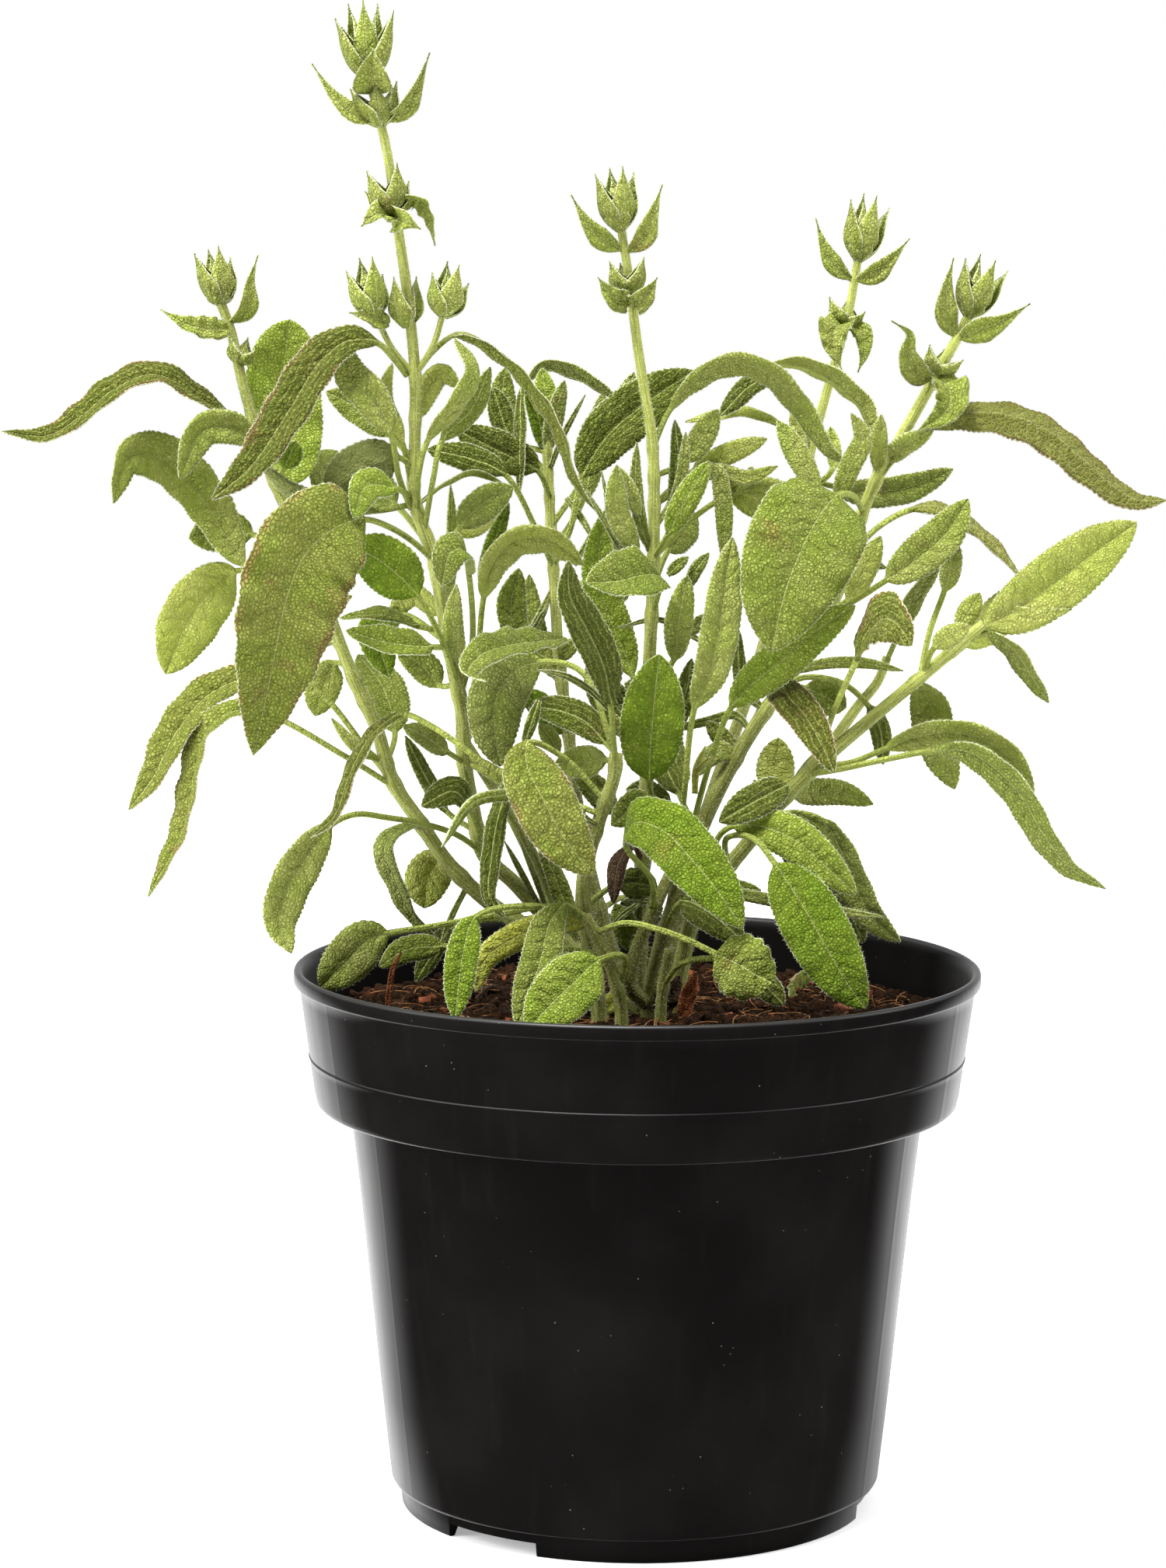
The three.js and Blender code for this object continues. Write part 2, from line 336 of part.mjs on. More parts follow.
    [56.5, 200, 4], [59.5, 194, 4], [60.3, 185.5, 5]]],
  ['right_stem', 1, 9.5, 0, 0, 0.2, 'k', [[35.5, 205, -3], [41, 204.3, -8], [46, 202, -11],
    [51, 199.5, -12]]],
  ['right_stem', 0, 5.5, 20, 0, 0, 'o', [[24.5, 186.5, 1], [20.5, 188.5, 3], [17, 186.5, 3],
    [14.8, 182.5, 3]]],
  ['right_stem', 0, 4, 20, 0, 0, 'k', [[30.5, 199, -1], [26, 204, -3], [24.5, 211, -4],
    [24.6, 218.5, -4]]],
  ['right_stem', 1, 9.5, 0, 0, 0.15, 'k', [[6.5, 143.5, 9.5], [11, 151, 17], [16.5, 149.3, 24],
    [21.5, 145.5, 28], [26.5, 141, 30]]],
  ['right_stem', 3, 9.5, 10, 0, 0.2, 'p', [[7.6, 157, 11.5], [10.3, 166, 16], [11.4, 178, 20],
    [13.7, 199, 23], [17.5, 208, 25], [20, 220, 25], [21.2, 231, 24], [22.8, 241.3, 22]]],
  ['right_stem', 3, 10.5, -5, 0, 0.2, 'd', [[10, 153, 9], [13.8, 171, 13], [18.5, 188.5, 14],
    [22.8, 199.5, 16], [28, 205.3, 17], [35, 211, 18], [43, 218, 18], [53, 224.7, 15]]],
  ['right_stem', 2, 15, -10, 0, 0.15, 'b', [[3.2, 146.5, 14], [3.6, 156, 18], [-3, 165, 25],
    [-0.5, 170.8, 31], [6.5, 168.6, 35], [13, 162, 38.5], [20, 153.5, 41], [26, 144.5, 43]]],
  // On the far right stem
  ['far_right_stem', 1, 15, 0, 0, 0.2, 'b', [[78, 214.5, 15], [84.8, 219.6, 15], [93, 224.2, 14],
    [102.5, 231.2, 13], [112, 238.7, 12], [121.5, 245.5, 11]]],
  ['far_right_stem', 1, 5.5, 0, 0, 0, 'b', [[77, 213.8, 15], [78.5, 219, 12], [83.5, 228, 11]]],
  ['far_right_stem', 1, 5.5, 0, 0, 0, 'b', [[70, 208, 14], [72.5, 214.5, 18], [81, 220, 19]]],
  ['far_right_stem', 1, 6.5, 45, 0, 0.3, 'g', [[80, 216, 15], [85, 218, 15], [91.5, 214.5, 15],
    [97, 206.7, 15], [100.8, 201, 15]]],
  ['far_right_stem', 1, 5.8, 40, 0, 0.2, 'k', [[59.5, 208, -15.5], [62.5, 215, -15], [67, 226, -13],
    [74, 236.5, -12]]],
  ['far_right_stem', 2, 5.5, 20, 0, 0.2, 'k', [[69, 207, 14], [71.5, 219, 1],
    [74.8, 228.5, -6], [76.3, 234.5, -9], [77, 241.3, -11]]],
  ['far_right_stem', 2, 13.5, 10, 0, 0.2, 'k', [[45.5, 186.5, 11], [46.8, 195, 13],
    [53.5, 211.3, 20], [56.5, 218, 22], [60, 221.5, 27], [63.5, 220, 34], [67, 215, 38]]],
  ['far_right_stem', 0, 10.5, 15, 0, 0.25, 'k', [[68, 206, 14], [71, 202, 11], [73.5, 192, 9],
    [78, 179.5, 9]]],
  ['far_right_stem', 2, 8.5, 28, 0, 0.3, 'd', [[44, 185, 11], [52.4, 186, 16], [60.8, 189.4, 18],
    [68.8, 192.4, 19], [76.8, 193.4, 20], [84.8, 191.7, 21], [91.3, 187.4, 21], [94.8, 182.4, 21],
    [97.3, 175.9, 21]]],
  ['far_right_stem', 3, 8, 30, 45, 0.3, 'd', [[42, 183, 11], [49.3, 184.2, 18], [60.6, 186.7, 24],
    [72.6, 188.9, 26], [80.6, 188.8, 27], [88.1, 184.4, 27], [94.6, 177.4, 27], [99.6, 168.9, 27],
    [106.1, 160.6, 27], [115.6, 154.9, 27]]],
  ['far_right_stem', 0, 6.8, 0, 0, 0.2, 'k', [[37.5, 178.5, 11], [42, 178.6, 4], [50, 178.4, 1],
    [58, 175.6, 1]]],
  ['far_right_stem', 1, 8.5, 10, 0, 0.2, 'k', [[36.5, 177.5, 11], [36.5, 180, 20],
    [30, 176.8, 25], [20, 171, 27]]],
  ['far_right_stem', 2, 10.5, 0, 0, 0.15, 'b', [[20, 157.5, 7], [19.5, 166.5, 17],
    [23.5, 170, 22], [31, 169.8, 26], [39, 166.5, 29], [46, 160.5, 31], [54, 153.2, 32]]],
  ['far_right_stem', 3, 15.5, 0, 0, 0.15, 'd', [[22, 160.5, 7.5], [22, 167, 19], [29, 166.6, 32],
    [34, 160.5, 38], [41, 150, 44], [47, 139.5, 48], [52, 131, 50], [56.8, 124.4, 51]]],
  ['far_right_stem', 2, 9, 25, 0, 0.3, 'o', [[29, 168.5, 9], [36.8, 173.3, 14], [45.6, 171.5, 17],
    [50.1, 164, 18], [54.1, 154.5, 19], [58.6, 147, 20], [65.1, 141.3, 21]]],
  ['far_right_stem', 1, 5.8, 0, 0, 0, 'o', [[32, 172, 10], [41, 172, 11], [47.5, 167, 12],
    [53.5, 154, 13]]],
  ['far_right_stem', 1, 9.5, 0, 0, 0.15, 'b', [[31.5, 171.5, 9.5], [33.5, 178, -1], [33.8, 184.5, -6],
    [34.5, 192, -8]]],
  ['far_right_stem', 0, 3.2, 0, 0, 0, 'p', [[17.5, 154.5, 6], [28, 152.5, 16], [45, 149.5, 22],
    [61, 147.5, 25]]],
  ['far_right_stem', 2, 6.5, 0, 0, 0, 'k', [[16, 151.5, 5], [30, 152, 8], [46, 151.5, 10],
    [52, 148.5, 11], [56, 141, 12]]],
  // On the low front shoot
  ['low_front_shoot', 2, 14.5, 0, 0, 0.12, 'b', [[-4.5, 129, 25.5], [-3, 137, 29], [-9.5, 136.3, 37],
    [-15, 131.3, 43], [-20.5, 126, 49], [-27.5, 118.5, 56]]],
  ['low_front_shoot', 1, 9.5, 10, 0, 0.15, 'd', [[-12.5, 146.5, 28], [-17.5, 150, 30],
    [-21.5, 146, 34], [-24, 136, 41], [-27, 127.5, 47], [-29.7, 119, 53]]],
  ['low_front_shoot', 0, 7, 0, 0, 0, 'y', [[-12, 145.5, 28], [-22, 145, 27], [-31, 141.5, 28],
    [-37.5, 136.5, 30], [-40, 128, 32]]],
  ['low_front_shoot', 2, 8, 0, 0, 0.2, 'b', [[-13, 147, 28], [-26, 149.8, 30], [-40, 147, 37],
    [-43, 139, 42], [-44.3, 130, 46], [-45.2, 121, 50]]],
  ['low_front_shoot', 4, 12, 0, 0, 0.15, 'd', [[-13, 147.5, 28], [-21.6, 149.6, 25],
    [-34.2, 147.6, 20], [-49.2, 144.8, 17], [-61.7, 142.6, 15], [-66.7, 141.1, 14],
    [-72.2, 135.6, 13], [-78.7, 128.9, 12]]],
  ['low_front_shoot', 3, 7, 20, 0, 0, 'k', [[-8, 137.5, 28], [-25, 140, 18], [-38, 139.5, 13],
    [-48, 139.5, 9], [-57, 138.7, 8], [-64, 134.3, 8]]],
  ['low_front_shoot', 4, 15.5, 0, 0, 0.1, 'd', [[-10.5, 143, 28], [-3, 145.6, 32], [6, 143.8, 35],
    [13, 141.2, 38], [19.5, 138, 40], [25, 135.5, 42], [29.5, 132.8, 44], [34, 130.5, 45]]],
  // On the side away from the reference view
  ['far_left_stem', 1, 15, 20, 0, 0.2, 'd', [[-70, 206, -4], [-75, 215, -18], [-82, 223, -32],
    [-90, 222, -44], [-93, 212, -52]]],
  ['far_left_stem', 1, 11, 20, 0, 0.2, 'd', [[-62, 185, -2], [-60, 193, -14], [-63, 204, -26],
    [-69, 212, -36]]],
  ['far_left_stem', 1, 10, 10, 0, 0.2, 'd', [[-83, 243, -6], [-79, 252, -18], [-74, 262, -30]]],
  ['tall_stem', 1, 12, 0, 0, 0.2, 'd', [[-43, 190, 5], [-38, 197, -9], [-34, 202, -24],
    [-34, 192, -36]]],
  ['tall_stem', 1, 9, 0, 0, 0.2, 'd', [[-50.5, 234, 8], [-45, 242, -8], [-35, 250, -22]]],
  ['tall_stem', 1, 11, 20, 0, 0.2, 'd', [[-53, 241, 8], [-60, 249, -6], [-74, 257, -20]]],
  ['centre_stem', 1, 13, 0, 0, 0.2, 'd', [[2.4, 196, 0], [4, 204, -13], [3, 206, -27],
    [2, 193, -40]]],
  ['centre_stem', 1, 8.5, 20, 0, 0.2, 'd', [[3.4, 229, -2], [7, 238, -16], [14, 247, -30]]],
  ['rear_stem', 1, 13, 0, 0, 0.2, 'd', [[-14.5, 172, -17], [-19, 181, -30], [-23, 185, -42],
    [-24, 174, -54]]],
  ['rear_stem', 1, 11, 20, 0, 0.2, 'd', [[-19, 205, -18], [-26, 212, -30], [-35, 211, -44]]],
  ['rear_stem', 1, 11, 20, 0, 0.2, 'd', [[-20.7, 226, -19], [-13, 230, -32], [-3, 226, -46]]],
  ['rear_stem', 1, 11, 10, 0, 0.2, 'd', [[-9, 149, -16], [-3, 152, -30], [4, 146, -50]]],
  ['right_rear_stem', 1, 13, 10, 0, 0.2, 'd', [[15, 168, -18], [10, 178, -30], [5, 190, -42],
    [5, 204, -50]]],
  ['right_rear_stem', 1, 14, 0, 0, 0.2, 'd', [[27, 203, -22], [33, 212, -34], [38, 222, -44],
    [38, 234, -50]]],
  ['right_rear_stem', 1, 11, 10, 0, 0.2, 'd', [[36.5, 238, -24], [42, 241, -36],
    [46, 230, -48]]],
  ['right_rear_stem', 1, 11, 0, 0, 0.2, 'd', [[38.5, 248, -24], [34, 248, -38], [30, 236, -50]]],
  ['far_right_stem', 1, 10, 10, 0, 0.2, 'd', [[70, 208, 14.3], [80, 215, -2], [90, 224, -12],
    [102, 232, -20]]],
  ['far_right_stem', 1, 11, 10, 0, 0.2, 'd', [[30, 169, 9.5], [37, 165, -6], [44, 160, -18],
    [48, 150, -28]]],
  // On the low right shoot
  ['low_right_shoot', 3, 6.5, 0, 0, 0, 'k', [[6.5, 130, 20.5], [11, 135.5, 26], [20, 136.7, 31],
    [28, 133.5, 34], [32, 130, 36], [36.5, 125.3, 38]]],
];

// Small leaves under the buds: stem, width, turn from face-on, route from the stem to the tip
const BRACTS = [
  ['far_left_stem', 6, 20, [[-100, 292, -6], [-103.5, 291.4, -3], [-111, 292.9, 0],
    [-117, 296.2, 0]]],
  ['far_left_stem', 5, 20, [[-100.5, 293, -6], [-96.1, 296.5, -4], [-95.2, 303, -3],
    [-93.2, 309.6, -3]]],
  ['tall_stem', 8.5, 0, [[-65, 347, 8], [-65.3, 352.5, 12.5], [-65, 358.8, 14]]],
  ['tall_stem', 5, 30, [[-63.5, 342, 8], [-69.5, 343.1, 10], [-74, 346.9, 11], [-80, 355.6, 11]]],
  ['tall_stem', 5, 30, [[-63.7, 342, 8], [-57.7, 344.7, 9], [-54.4, 350.4, 9], [-51.4, 358.4, 9]]],
  ['tall_stem', 6.5, 20, [[-60.5, 319, 8], [-64.5, 319.5, 13], [-68, 316.5, 14]]],
  ['tall_stem', 6.5, 20, [[-60.3, 318.5, 8], [-57, 318, 13], [-53.5, 316, 14]]],
  ['tall_stem', 4.5, 30, [[-60.5, 321, 8], [-55, 323.3, 8], [-52, 320, 7], [-50, 312, 6]]],
  ['tall_stem', 5, 10, [[-61.3, 293, 9], [-66, 294.8, 12], [-71, 295.7, 13]]],
  ['centre_stem', 5.5, 10, [[-4.2, 311, -3], [-9.8, 313.7, -1], [-13.1, 317.4, 0],
    [-17.1, 324.4, 0]]],
  ['centre_stem', 5.5, 10, [[-4, 310.5, -3], [0.3, 313.8, -2], [2.6, 319.5, -1], [5.1, 327, -1]]],
  ['centre_stem', 6, 10, [[-2.6, 299, -3], [-6.5, 299.5, 1], [-10.5, 304.5, 2]]],
  ['centre_stem', 6, 10, [[-2.6, 299, -3], [0.5, 299.5, 1], [4, 304.5, 2]]],
  ['right_rear_stem', 5, 10, [[51.5, 304, -24], [46.9, 307.5, -22], [44.3, 312.5, -21],
    [42.3, 319, -21]]],
  ['right_rear_stem', 5.5, 10, [[51.7, 304, -24], [56.6, 305.6, -22], [60.7, 309.2, -21],
    [65.2, 314.2, -21]]],
  ['right_rear_stem', 8.5, 0, [[49.8, 293, -24], [47.5, 292.7, -19], [47, 288, -17],
    [49, 282.3, -17]]],
  ['right_rear_stem', 5, 0, [[50, 294, -24], [54, 291, -22], [54.5, 286.5, -21], [53, 281.7, -21]]],
  ['right_stem', 6, 10, [[77, 290, -8], [74.3, 295.3, -6], [74.4, 302.6, -5], [75.9, 309.6, -5]]],
  ['right_stem', 6.5, 10, [[77, 290, -8], [81.6, 291.8, -5], [87.2, 293.9, -4], [94.7, 298.6, -4]]],
  ['right_stem', 6.5, 10, [[71.7, 280.5, -8], [67.5, 281.5, -4], [65, 286.5, -2], [65.5, 291, -1],
    [61, 294.3, 0]]],
  ['right_stem', 9, 0, [[72, 281, -8], [75.5, 277, -3], [74.5, 272.5, -1], [67, 267, 0]]],
];

// Clusters of flower buds: stem, where they sit, then where each bud's tip is seen
const BUDS = [
  ['far_left_stem', [-102, 297.5, -6], [[-108.5, 310], [-105.3, 311], [-102.9, 311.8], [-100, 309],
    [-106, 301.5], [-99.5, 302]]],
  ['far_left_stem', [-98, 283, -6], [[-99.8, 289.6], [-95.7, 289.6], [-94, 286.5]]],
  ['tall_stem', [-66, 351.5, 8], [[-74, 366.5], [-71, 370], [-67.5, 371], [-64, 370],
    [-60.3, 368.5], [-67, 365.5]]],
  ['tall_stem', [-63.3, 340.5, 8], [[-70.5, 350], [-59.5, 351.5], [-64.5, 351]]],
  ['tall_stem', [-60.6, 319.5, 8], [[-66.5, 330], [-67, 325], [-59.5, 332], [-56.5, 327.5]]],
  ['tall_stem', [-65, 294.5, 10], [[-71.5, 306], [-68.5, 309], [-65.5, 309.3], [-63, 305]]],
  ['tall_stem', [-48, 294.5, 10], [[-50.5, 305.5], [-47, 308.3], [-44.3, 307.5], [-42, 303]]],
  ['tall_stem', [-57, 292, 8], [[-60, 304.5], [-54.7, 304.5]]],
  ['centre_stem', [-5, 315.5, -3], [[-11, 329.5], [-7.7, 331], [-4.7, 331.3], [-2, 330],
    [-6.5, 325]]],
  ['centre_stem', [-3, 300, -3], [[-7.5, 308.5], [-5, 308], [0.5, 309.5]]],
  ['right_rear_stem', [52.7, 308.5, -24], [[51, 323.5], [54, 325], [57, 324.5], [60, 321.5],
    [54.5, 318]]],
  ['right_rear_stem', [50, 292.5, -24], [[46, 300], [50.5, 300], [54.5, 296.5]]],
  ['right_stem', [79.5, 295, -8], [[79, 309.5], [82.5, 310.5], [86, 309], [89, 306.5],
    [83, 303.5]]],
  ['right_stem', [72, 281, -8], [[70.5, 288.5], [74, 287.5], [78.5, 285]]],
];

// Second limbs: those of the right stem and the tall stem fork off low down and meet their stem again
// higher up, the far right stem's one ends in leaves, and the last two carry side buds
const LIMBS = [
  ['tall_stem', 4.4, 3, [[-13.5, 134, -7], [-16, 140, -8.5], [-18.6, 145.5, -9.5], [-22.5, 155, -10],
    [-26.5, 163, -9], [-31, 172, -5], [-36, 180, 0], [-42.5, 190, 5]]],
  ['right_stem', 4.4, 3, [[2.5, 125.5, 10], [-1.5, 129.5, 12.5], [-1.6, 133, 13.5], [0.1, 139.7, 14],
    [3.4, 147.1, 14], [7.1, 156, 12], [10.5, 162.5, 9], [14, 168, 6.5]]],
  ['far_right_stem', 3.4, 2.4, [[37.5, 178, 10.5], [42, 185, 1], [48, 191.5, -6], [54, 200, -12],
    [58.7, 206, -15], [61, 212, -16]]],
  ['tall_stem', 1.6, 1.5, [[-55, 280.5, 8], [-60.5, 287, 9], [-65, 296, 10]]],
  ['tall_stem', 1.6, 1.5, [[-55, 280.5, 8], [-50.5, 288, 9], [-48, 296, 10]]],
];

// Where a point of a shoot lies that is seen at (across, up) and stands `nearer` in front of the
// pot's axis before the shoot leans
function seen(shoot, [across, up, nearer]) {
  const rise = Math.max(up - SOIL_LEVEL, 0) / LEAN_RISE;
  const share = (nearer + LEANS[shoot] * rise) / -EYE.y;
  return new THREE.Vector3(across, 0, up).lerp(EYE, share);
}

// A smooth curve through the places of a route
function routeCurve(shoot, route) {
  const places = route.map((point) => seen(shoot, point));
  return new THREE.CatmullRomCurve3(places, false, 'centripetal');
}

// A closed solid through rings of equally many points; the strips from `mirrored` on take the other
// diagonal, so that the two faces of a blade are split alike
function loft(rings, mirrored = Infinity) {
  const sides = rings[0].length;
  const positions = rings.flat().flatMap((point) => point.toArray());
  const index = [];
  for (let ring = 0; ring + 1 < rings.length; ring += 1) {
    for (let side = 0; side < sides; side += 1) {
      const a = ring * sides + side;
      const b = ring * sides + ((side + 1) % sides);
      const c = a + sides;
      const d = b + sides;
      if (side >= mirrored) {
        index.push(a, b, c, b, d, c);
      } else {
        index.push(a, b, d, a, d, c);
      }
    }
  }
  const last = (rings.length - 1) * sides;
  for (let side = 1; side + 1 < sides; side += 1) {
    index.push(0, side + 1, side);
    index.push(last, last + side, last + side + 1);
  }
  const geometry = new THREE.BufferGeometry();
  geometry.setAttribute('position', new THREE.Float32BufferAttribute(positions, 3));
  geometry.setIndex(index);
  return geometry;
}

// Frames that turn as little as possible along a curve, set at its middle sample `anchor` so that
// the face looks at the viewer and is then turned by `turn`, with `twist` spread along the curve
function framesAlong(points, tangents, anchor, turn, twist) {
  const toViewer = EYE.clone().sub(points[anchor]);
  const face = toViewer.addScaledVector(tangents[anchor], -toViewer.dot(tangents[anchor]));
  const faces = new Array(points.length);
  faces[anchor] = face.normalize().applyAxisAngle(tangents[anchor], turn);
  const bend = new THREE.Quaternion();
  for (let i = anchor + 1; i < points.length; i += 1) {
    bend.setFromUnitVectors(tangents[i - 1], tangents[i]);
    faces[i] = faces[i - 1].clone().applyQuaternion(bend);
  }
  for (let i = anchor - 1; i >= 0; i -= 1) {
    bend.setFromUnitVectors(tangents[i + 1], tangents[i]);
    faces[i] = faces[i + 1].clone().applyQuaternion(bend);
  }
  return points.map((_, i) => {
    const angle = (twist * (i - anchor)) / points.length;
    const normal = faces[i].clone().applyAxisAngle(tangents[i], angle);
    const side = new THREE.Vector3().crossVectors(tangents[i], normal).normalize();
    return { normal, side };
  });
}

// How wide a sage blade is at `share` of its length, as a share of its full width
function bladeShape(share) {
  const along = share ** BLADE_SKEW;
  return (1 - Math.abs(2 * along - 1) ** BLADE_FULLNESS) ** BLADE_ROUNDING;
}

// One leaf: a bare stalk that widens into a waved blade, folded along its rib
function leaf(shoot, route, stalkPoints, width, turnDegrees, twistDegrees, fold) {
  const curve = routeCurve(shoot, route);
  const baseParameter = stalkPoints / (route.length - 1);
  const lengths = curve.getLengths(CURVE_SAMPLES);
  const total = lengths[CURVE_SAMPLES];
  const base = lengths[Math.round(baseParameter * CURVE_SAMPLES)];
  const stalkSteps = stalkPoints > 0 ? Math.max(1, Math.round(base / STALK_STEP)) : 0;
  const bladeSteps = THREE.MathUtils.clamp(Math.round((total - base) / BLADE_STEP),
    FEWEST_BLADE_STEPS, MOST_BLADE_STEPS);
  const stations = [];
  for (let i = 0; i < stalkSteps; i += 1) {
    stations.push({ at: (base * i) / stalkSteps, half: STALK_WIDTH / 2 });
  }
  for (let i = 0; i <= bladeSteps; i += 1) {
    const share = i / bladeSteps;
    const wave = 1 + (i % 2 ? EDGE_WAVE : -EDGE_WAVE);
    const least = i === bladeSteps ? TIP_WIDTH / 2 : STALK_WIDTH / 2;
    const half = Math.max((width / 2) * bladeShape(share) * wave, least);
    stations.push({ at: base + (total - base) * share, half });
  }
  const points = stations.map((station) => curve.getPointAt(Math.min(station.at / total, 1)));
  const tangents = stations.map((station) => curve.getTangentAt(Math.min(station.at / total, 1)));
  const anchor = stalkSteps + Math.round(bladeSteps / 2);
  const frames = framesAlong(points, tangents, anchor, THREE.MathUtils.degToRad(turnDegrees),
    THREE.MathUtils.degToRad(twistDegrees));
  const broad = width >= NARROW_BLADE;
  const rings = stations.map((station, i) => {
    const { normal, side } = frames[i];
    const bare = i < stalkSteps;
    const edge = bare ? STALK_WIDTH / 4 : BLADE_EDGE / 2;
    const rib = bare ? STALK_WIDTH / 2 : BLADE_RIB / 2;
    const lift = bare ? 0 : fold * (station.half - STALK_WIDTH / 2);
    const at = (across, out) => points[i].clone().addScaledVector(side, across)
      .addScaledVector(normal, out);
    const { half } = station;
    if (!broad) {
      const depth = bare ? STALK_WIDTH / 2 : FLAT_BLADE / 2;
      return [at(-half, depth), at(half, depth), at(half, -depth), at(-half, -depth)];
    }
    return [at(-half, lift + edge), at(0, rib), at(half, lift + edge),
      at(half, lift - edge), at(0, -rib), at(-half, lift - edge)];
  });
  return loft(rings, broad ? 3 : 2);
}

// A square stem along a route, narrowing evenly
function stem(shoot, route, footWidth, topWidth) {
  const curve = routeCurve(shoot, route);
  const count = route.length - 1;
  const points = [];
  const tangents = [];
  for (let i = 0; i <= count; i += 1) {
    points.push(curve.getPoint(i / count));
    tangents.push(curve.getTangent(i / count));
  }
  const frames = framesAlong(points, tangents, 0, Math.PI / 4, 0);
  const rings = points.map((point, i) => {
    const half = THREE.MathUtils.lerp(footWidth, topWidth, i / count) / 2;
    const { normal, side } = frames[i];
    const corner = (across, out) => point.clone().addScaledVector(side, across * half)
      .addScaledVector(normal, out * half);
    return [corner(-1, 1), corner(1, 1), corner(1, -1), corner(-1, -1)];
  });
  return loft(rings);
}

// One bud: a pointed four-sided calyx from `from` to `to`
function bud(from, to) {
  const along = to.clone().sub(from);
  const length = along.length();
  along.normalize();
  const side = new THREE.Vector3(0, 1, 0).cross(along).normalize();
  const out = new THREE.Vector3().crossVectors(along, side);
  const belly = Math.min(BUD_BELLY, length * BUD_SLIMNESS);
  const rings = BUD_PROFILE.map(([share, fullness]) => {
    const centre = from.clone().addScaledVector(along, length * share);
    return [0, 1, 2, 3].map((corner) => {
      const angle = ((corner * 2 + 1) * Math.PI) / 4;
      return centre.clone().addScaledVector(side, Math.cos(angle) * belly * fullness)
        .addScaledVector(out, Math.sin(angle) * belly * fullness);
    });
  });
  return loft(rings);
}

// Solids for cutting and joining
function solid(geometry) {
  const bare = geometry.clone();
  bare.deleteAttribute('normal');
  bare.deleteAttribute('uv');
  const merged = mergeVertices(bare, 1e-4);
  const vertProperties = new Float32Array(merged.attributes.position.array);
  const triVerts = new Uint32Array(merged.index.array);
  return new wasm.Manifold(new wasm.Mesh({ numProp: 3, vertProperties, triVerts }));
}

function geometryOf(body) {
  const mesh = body.getMesh();
  const geometry = new THREE.BufferGeometry();
  geometry.setAttribute('position', new THREE.BufferAttribute(mesh.vertProperties, 3));
  geometry.setIndex(new THREE.BufferAttribute(mesh.triVerts, 1));
  geometry.computeVertexNormals();
  return geometry;
}

// The largest body of a solid: hollows that fusing sealed are filled, loose scraps dropped
function largestBody(whole) {
  return whole.decompose().reduce((kept, body) => (body.volume() > kept.volume() ? body : kept));
}

// A repeatable draw of numbers between 0 and 1
function seededDraw(seed) {
  let state = seed;
  return () => {
    state = (state * 1664525 + 1013904223) % 4294967296;
    return state / 4294967296;
  };
}

// Radius of the pot's inner wall at a height, above the step under the band
function bandRadius(height) {
  const bandTop = POT_HEIGHT - LIP_HEIGHT;
  const share = (height - BAND_BOTTOM) / (bandTop - BAND_BOTTOM);
  return THREE.MathUtils.lerp(BAND_BOTTOM_RADIUS, RIM_RADIUS - LIP_OVERHANG, share) - POT_WALL;
}

// The pot: one turned wall with a lip, a band and a foot ring cut by notches
function buildPot() {
  const floor = FOOT_RING_HEIGHT - FLOOR_DROP;
  const stepTop = BAND_BOTTOM + POT_WALL;
  const profile = [
    [0, floor], [FOOT_RING_RADIUS - 4, floor], [FOOT_RING_RADIUS - 2.2, 0],
    [FOOT_RING_RADIUS - 0.4, 0], [FOOT_RING_RADIUS, FOOT_RING_HEIGHT],
    [BODY_FOOT_RADIUS, FOOT_RING_HEIGHT + 1.2], [BODY_TOP_RADIUS, BAND_BOTTOM + 0.6],
    [BAND_BOTTOM_RADIUS - 1.2, BAND_BOTTOM], [BAND_BOTTOM_RADIUS, BAND_BOTTOM + 1.6],
    [RIM_RADIUS - LIP_OVERHANG, POT_HEIGHT - LIP_HEIGHT], [RIM_RADIUS, POT_HEIGHT - LIP_HEIGHT + 0.3],
    [RIM_RADIUS, POT_HEIGHT - 0.6], [RIM_RADIUS - 0.6, POT_HEIGHT], [RIM_RADIUS - 1.5, POT_HEIGHT],
    [bandRadius(POT_HEIGHT - LIP_HEIGHT), POT_HEIGHT - LIP_HEIGHT], [bandRadius(stepTop), stepTop + 0.6],
    [BODY_TOP_RADIUS - POT_WALL, stepTop], [BODY_FOOT_RADIUS - POT_WALL, FOOT_RING_HEIGHT + 1.2],
    [FOOT_RING_RADIUS - 2.5, floor + POT_WALL], [0, floor + POT_WALL],
  ];
  const outline = profile.map(([radius, height]) => new THREE.Vector2(radius, height));
  const turned = new THREE.LatheGeometry(outline, POT_SIDES).rotateX(Math.PI / 2);
  let body = solid(turned);
  for (let i = 0; i < NOTCH_COUNT; i += 1) {
    const opening = new THREE.Shape([
      new THREE.Vector2(-NOTCH_WIDTH / 2 - NOTCH_FLARE, -1),
      new THREE.Vector2(NOTCH_WIDTH / 2 + NOTCH_FLARE, -1),
      new THREE.Vector2(NOTCH_WIDTH / 2, floor), new THREE.Vector2(-NOTCH_WIDTH / 2, floor),
    ]);
    const wedge = new THREE.ExtrudeGeometry(opening, { depth: NOTCH_DEPTH, bevelEnabled: false });
    wedge.rotateX(Math.PI / 2);
    wedge.translate(0, NOTCH_DEPTH * 0.75 - FOOT_RING_RADIUS, 0);
    wedge.rotateZ(THREE.MathUtils.degToRad(NOTCH_FIRST_ANGLE + (i * 360) / NOTCH_COUNT));
    body = body.subtract(solid(wedge));
  }
  return geometryOf(body);
}

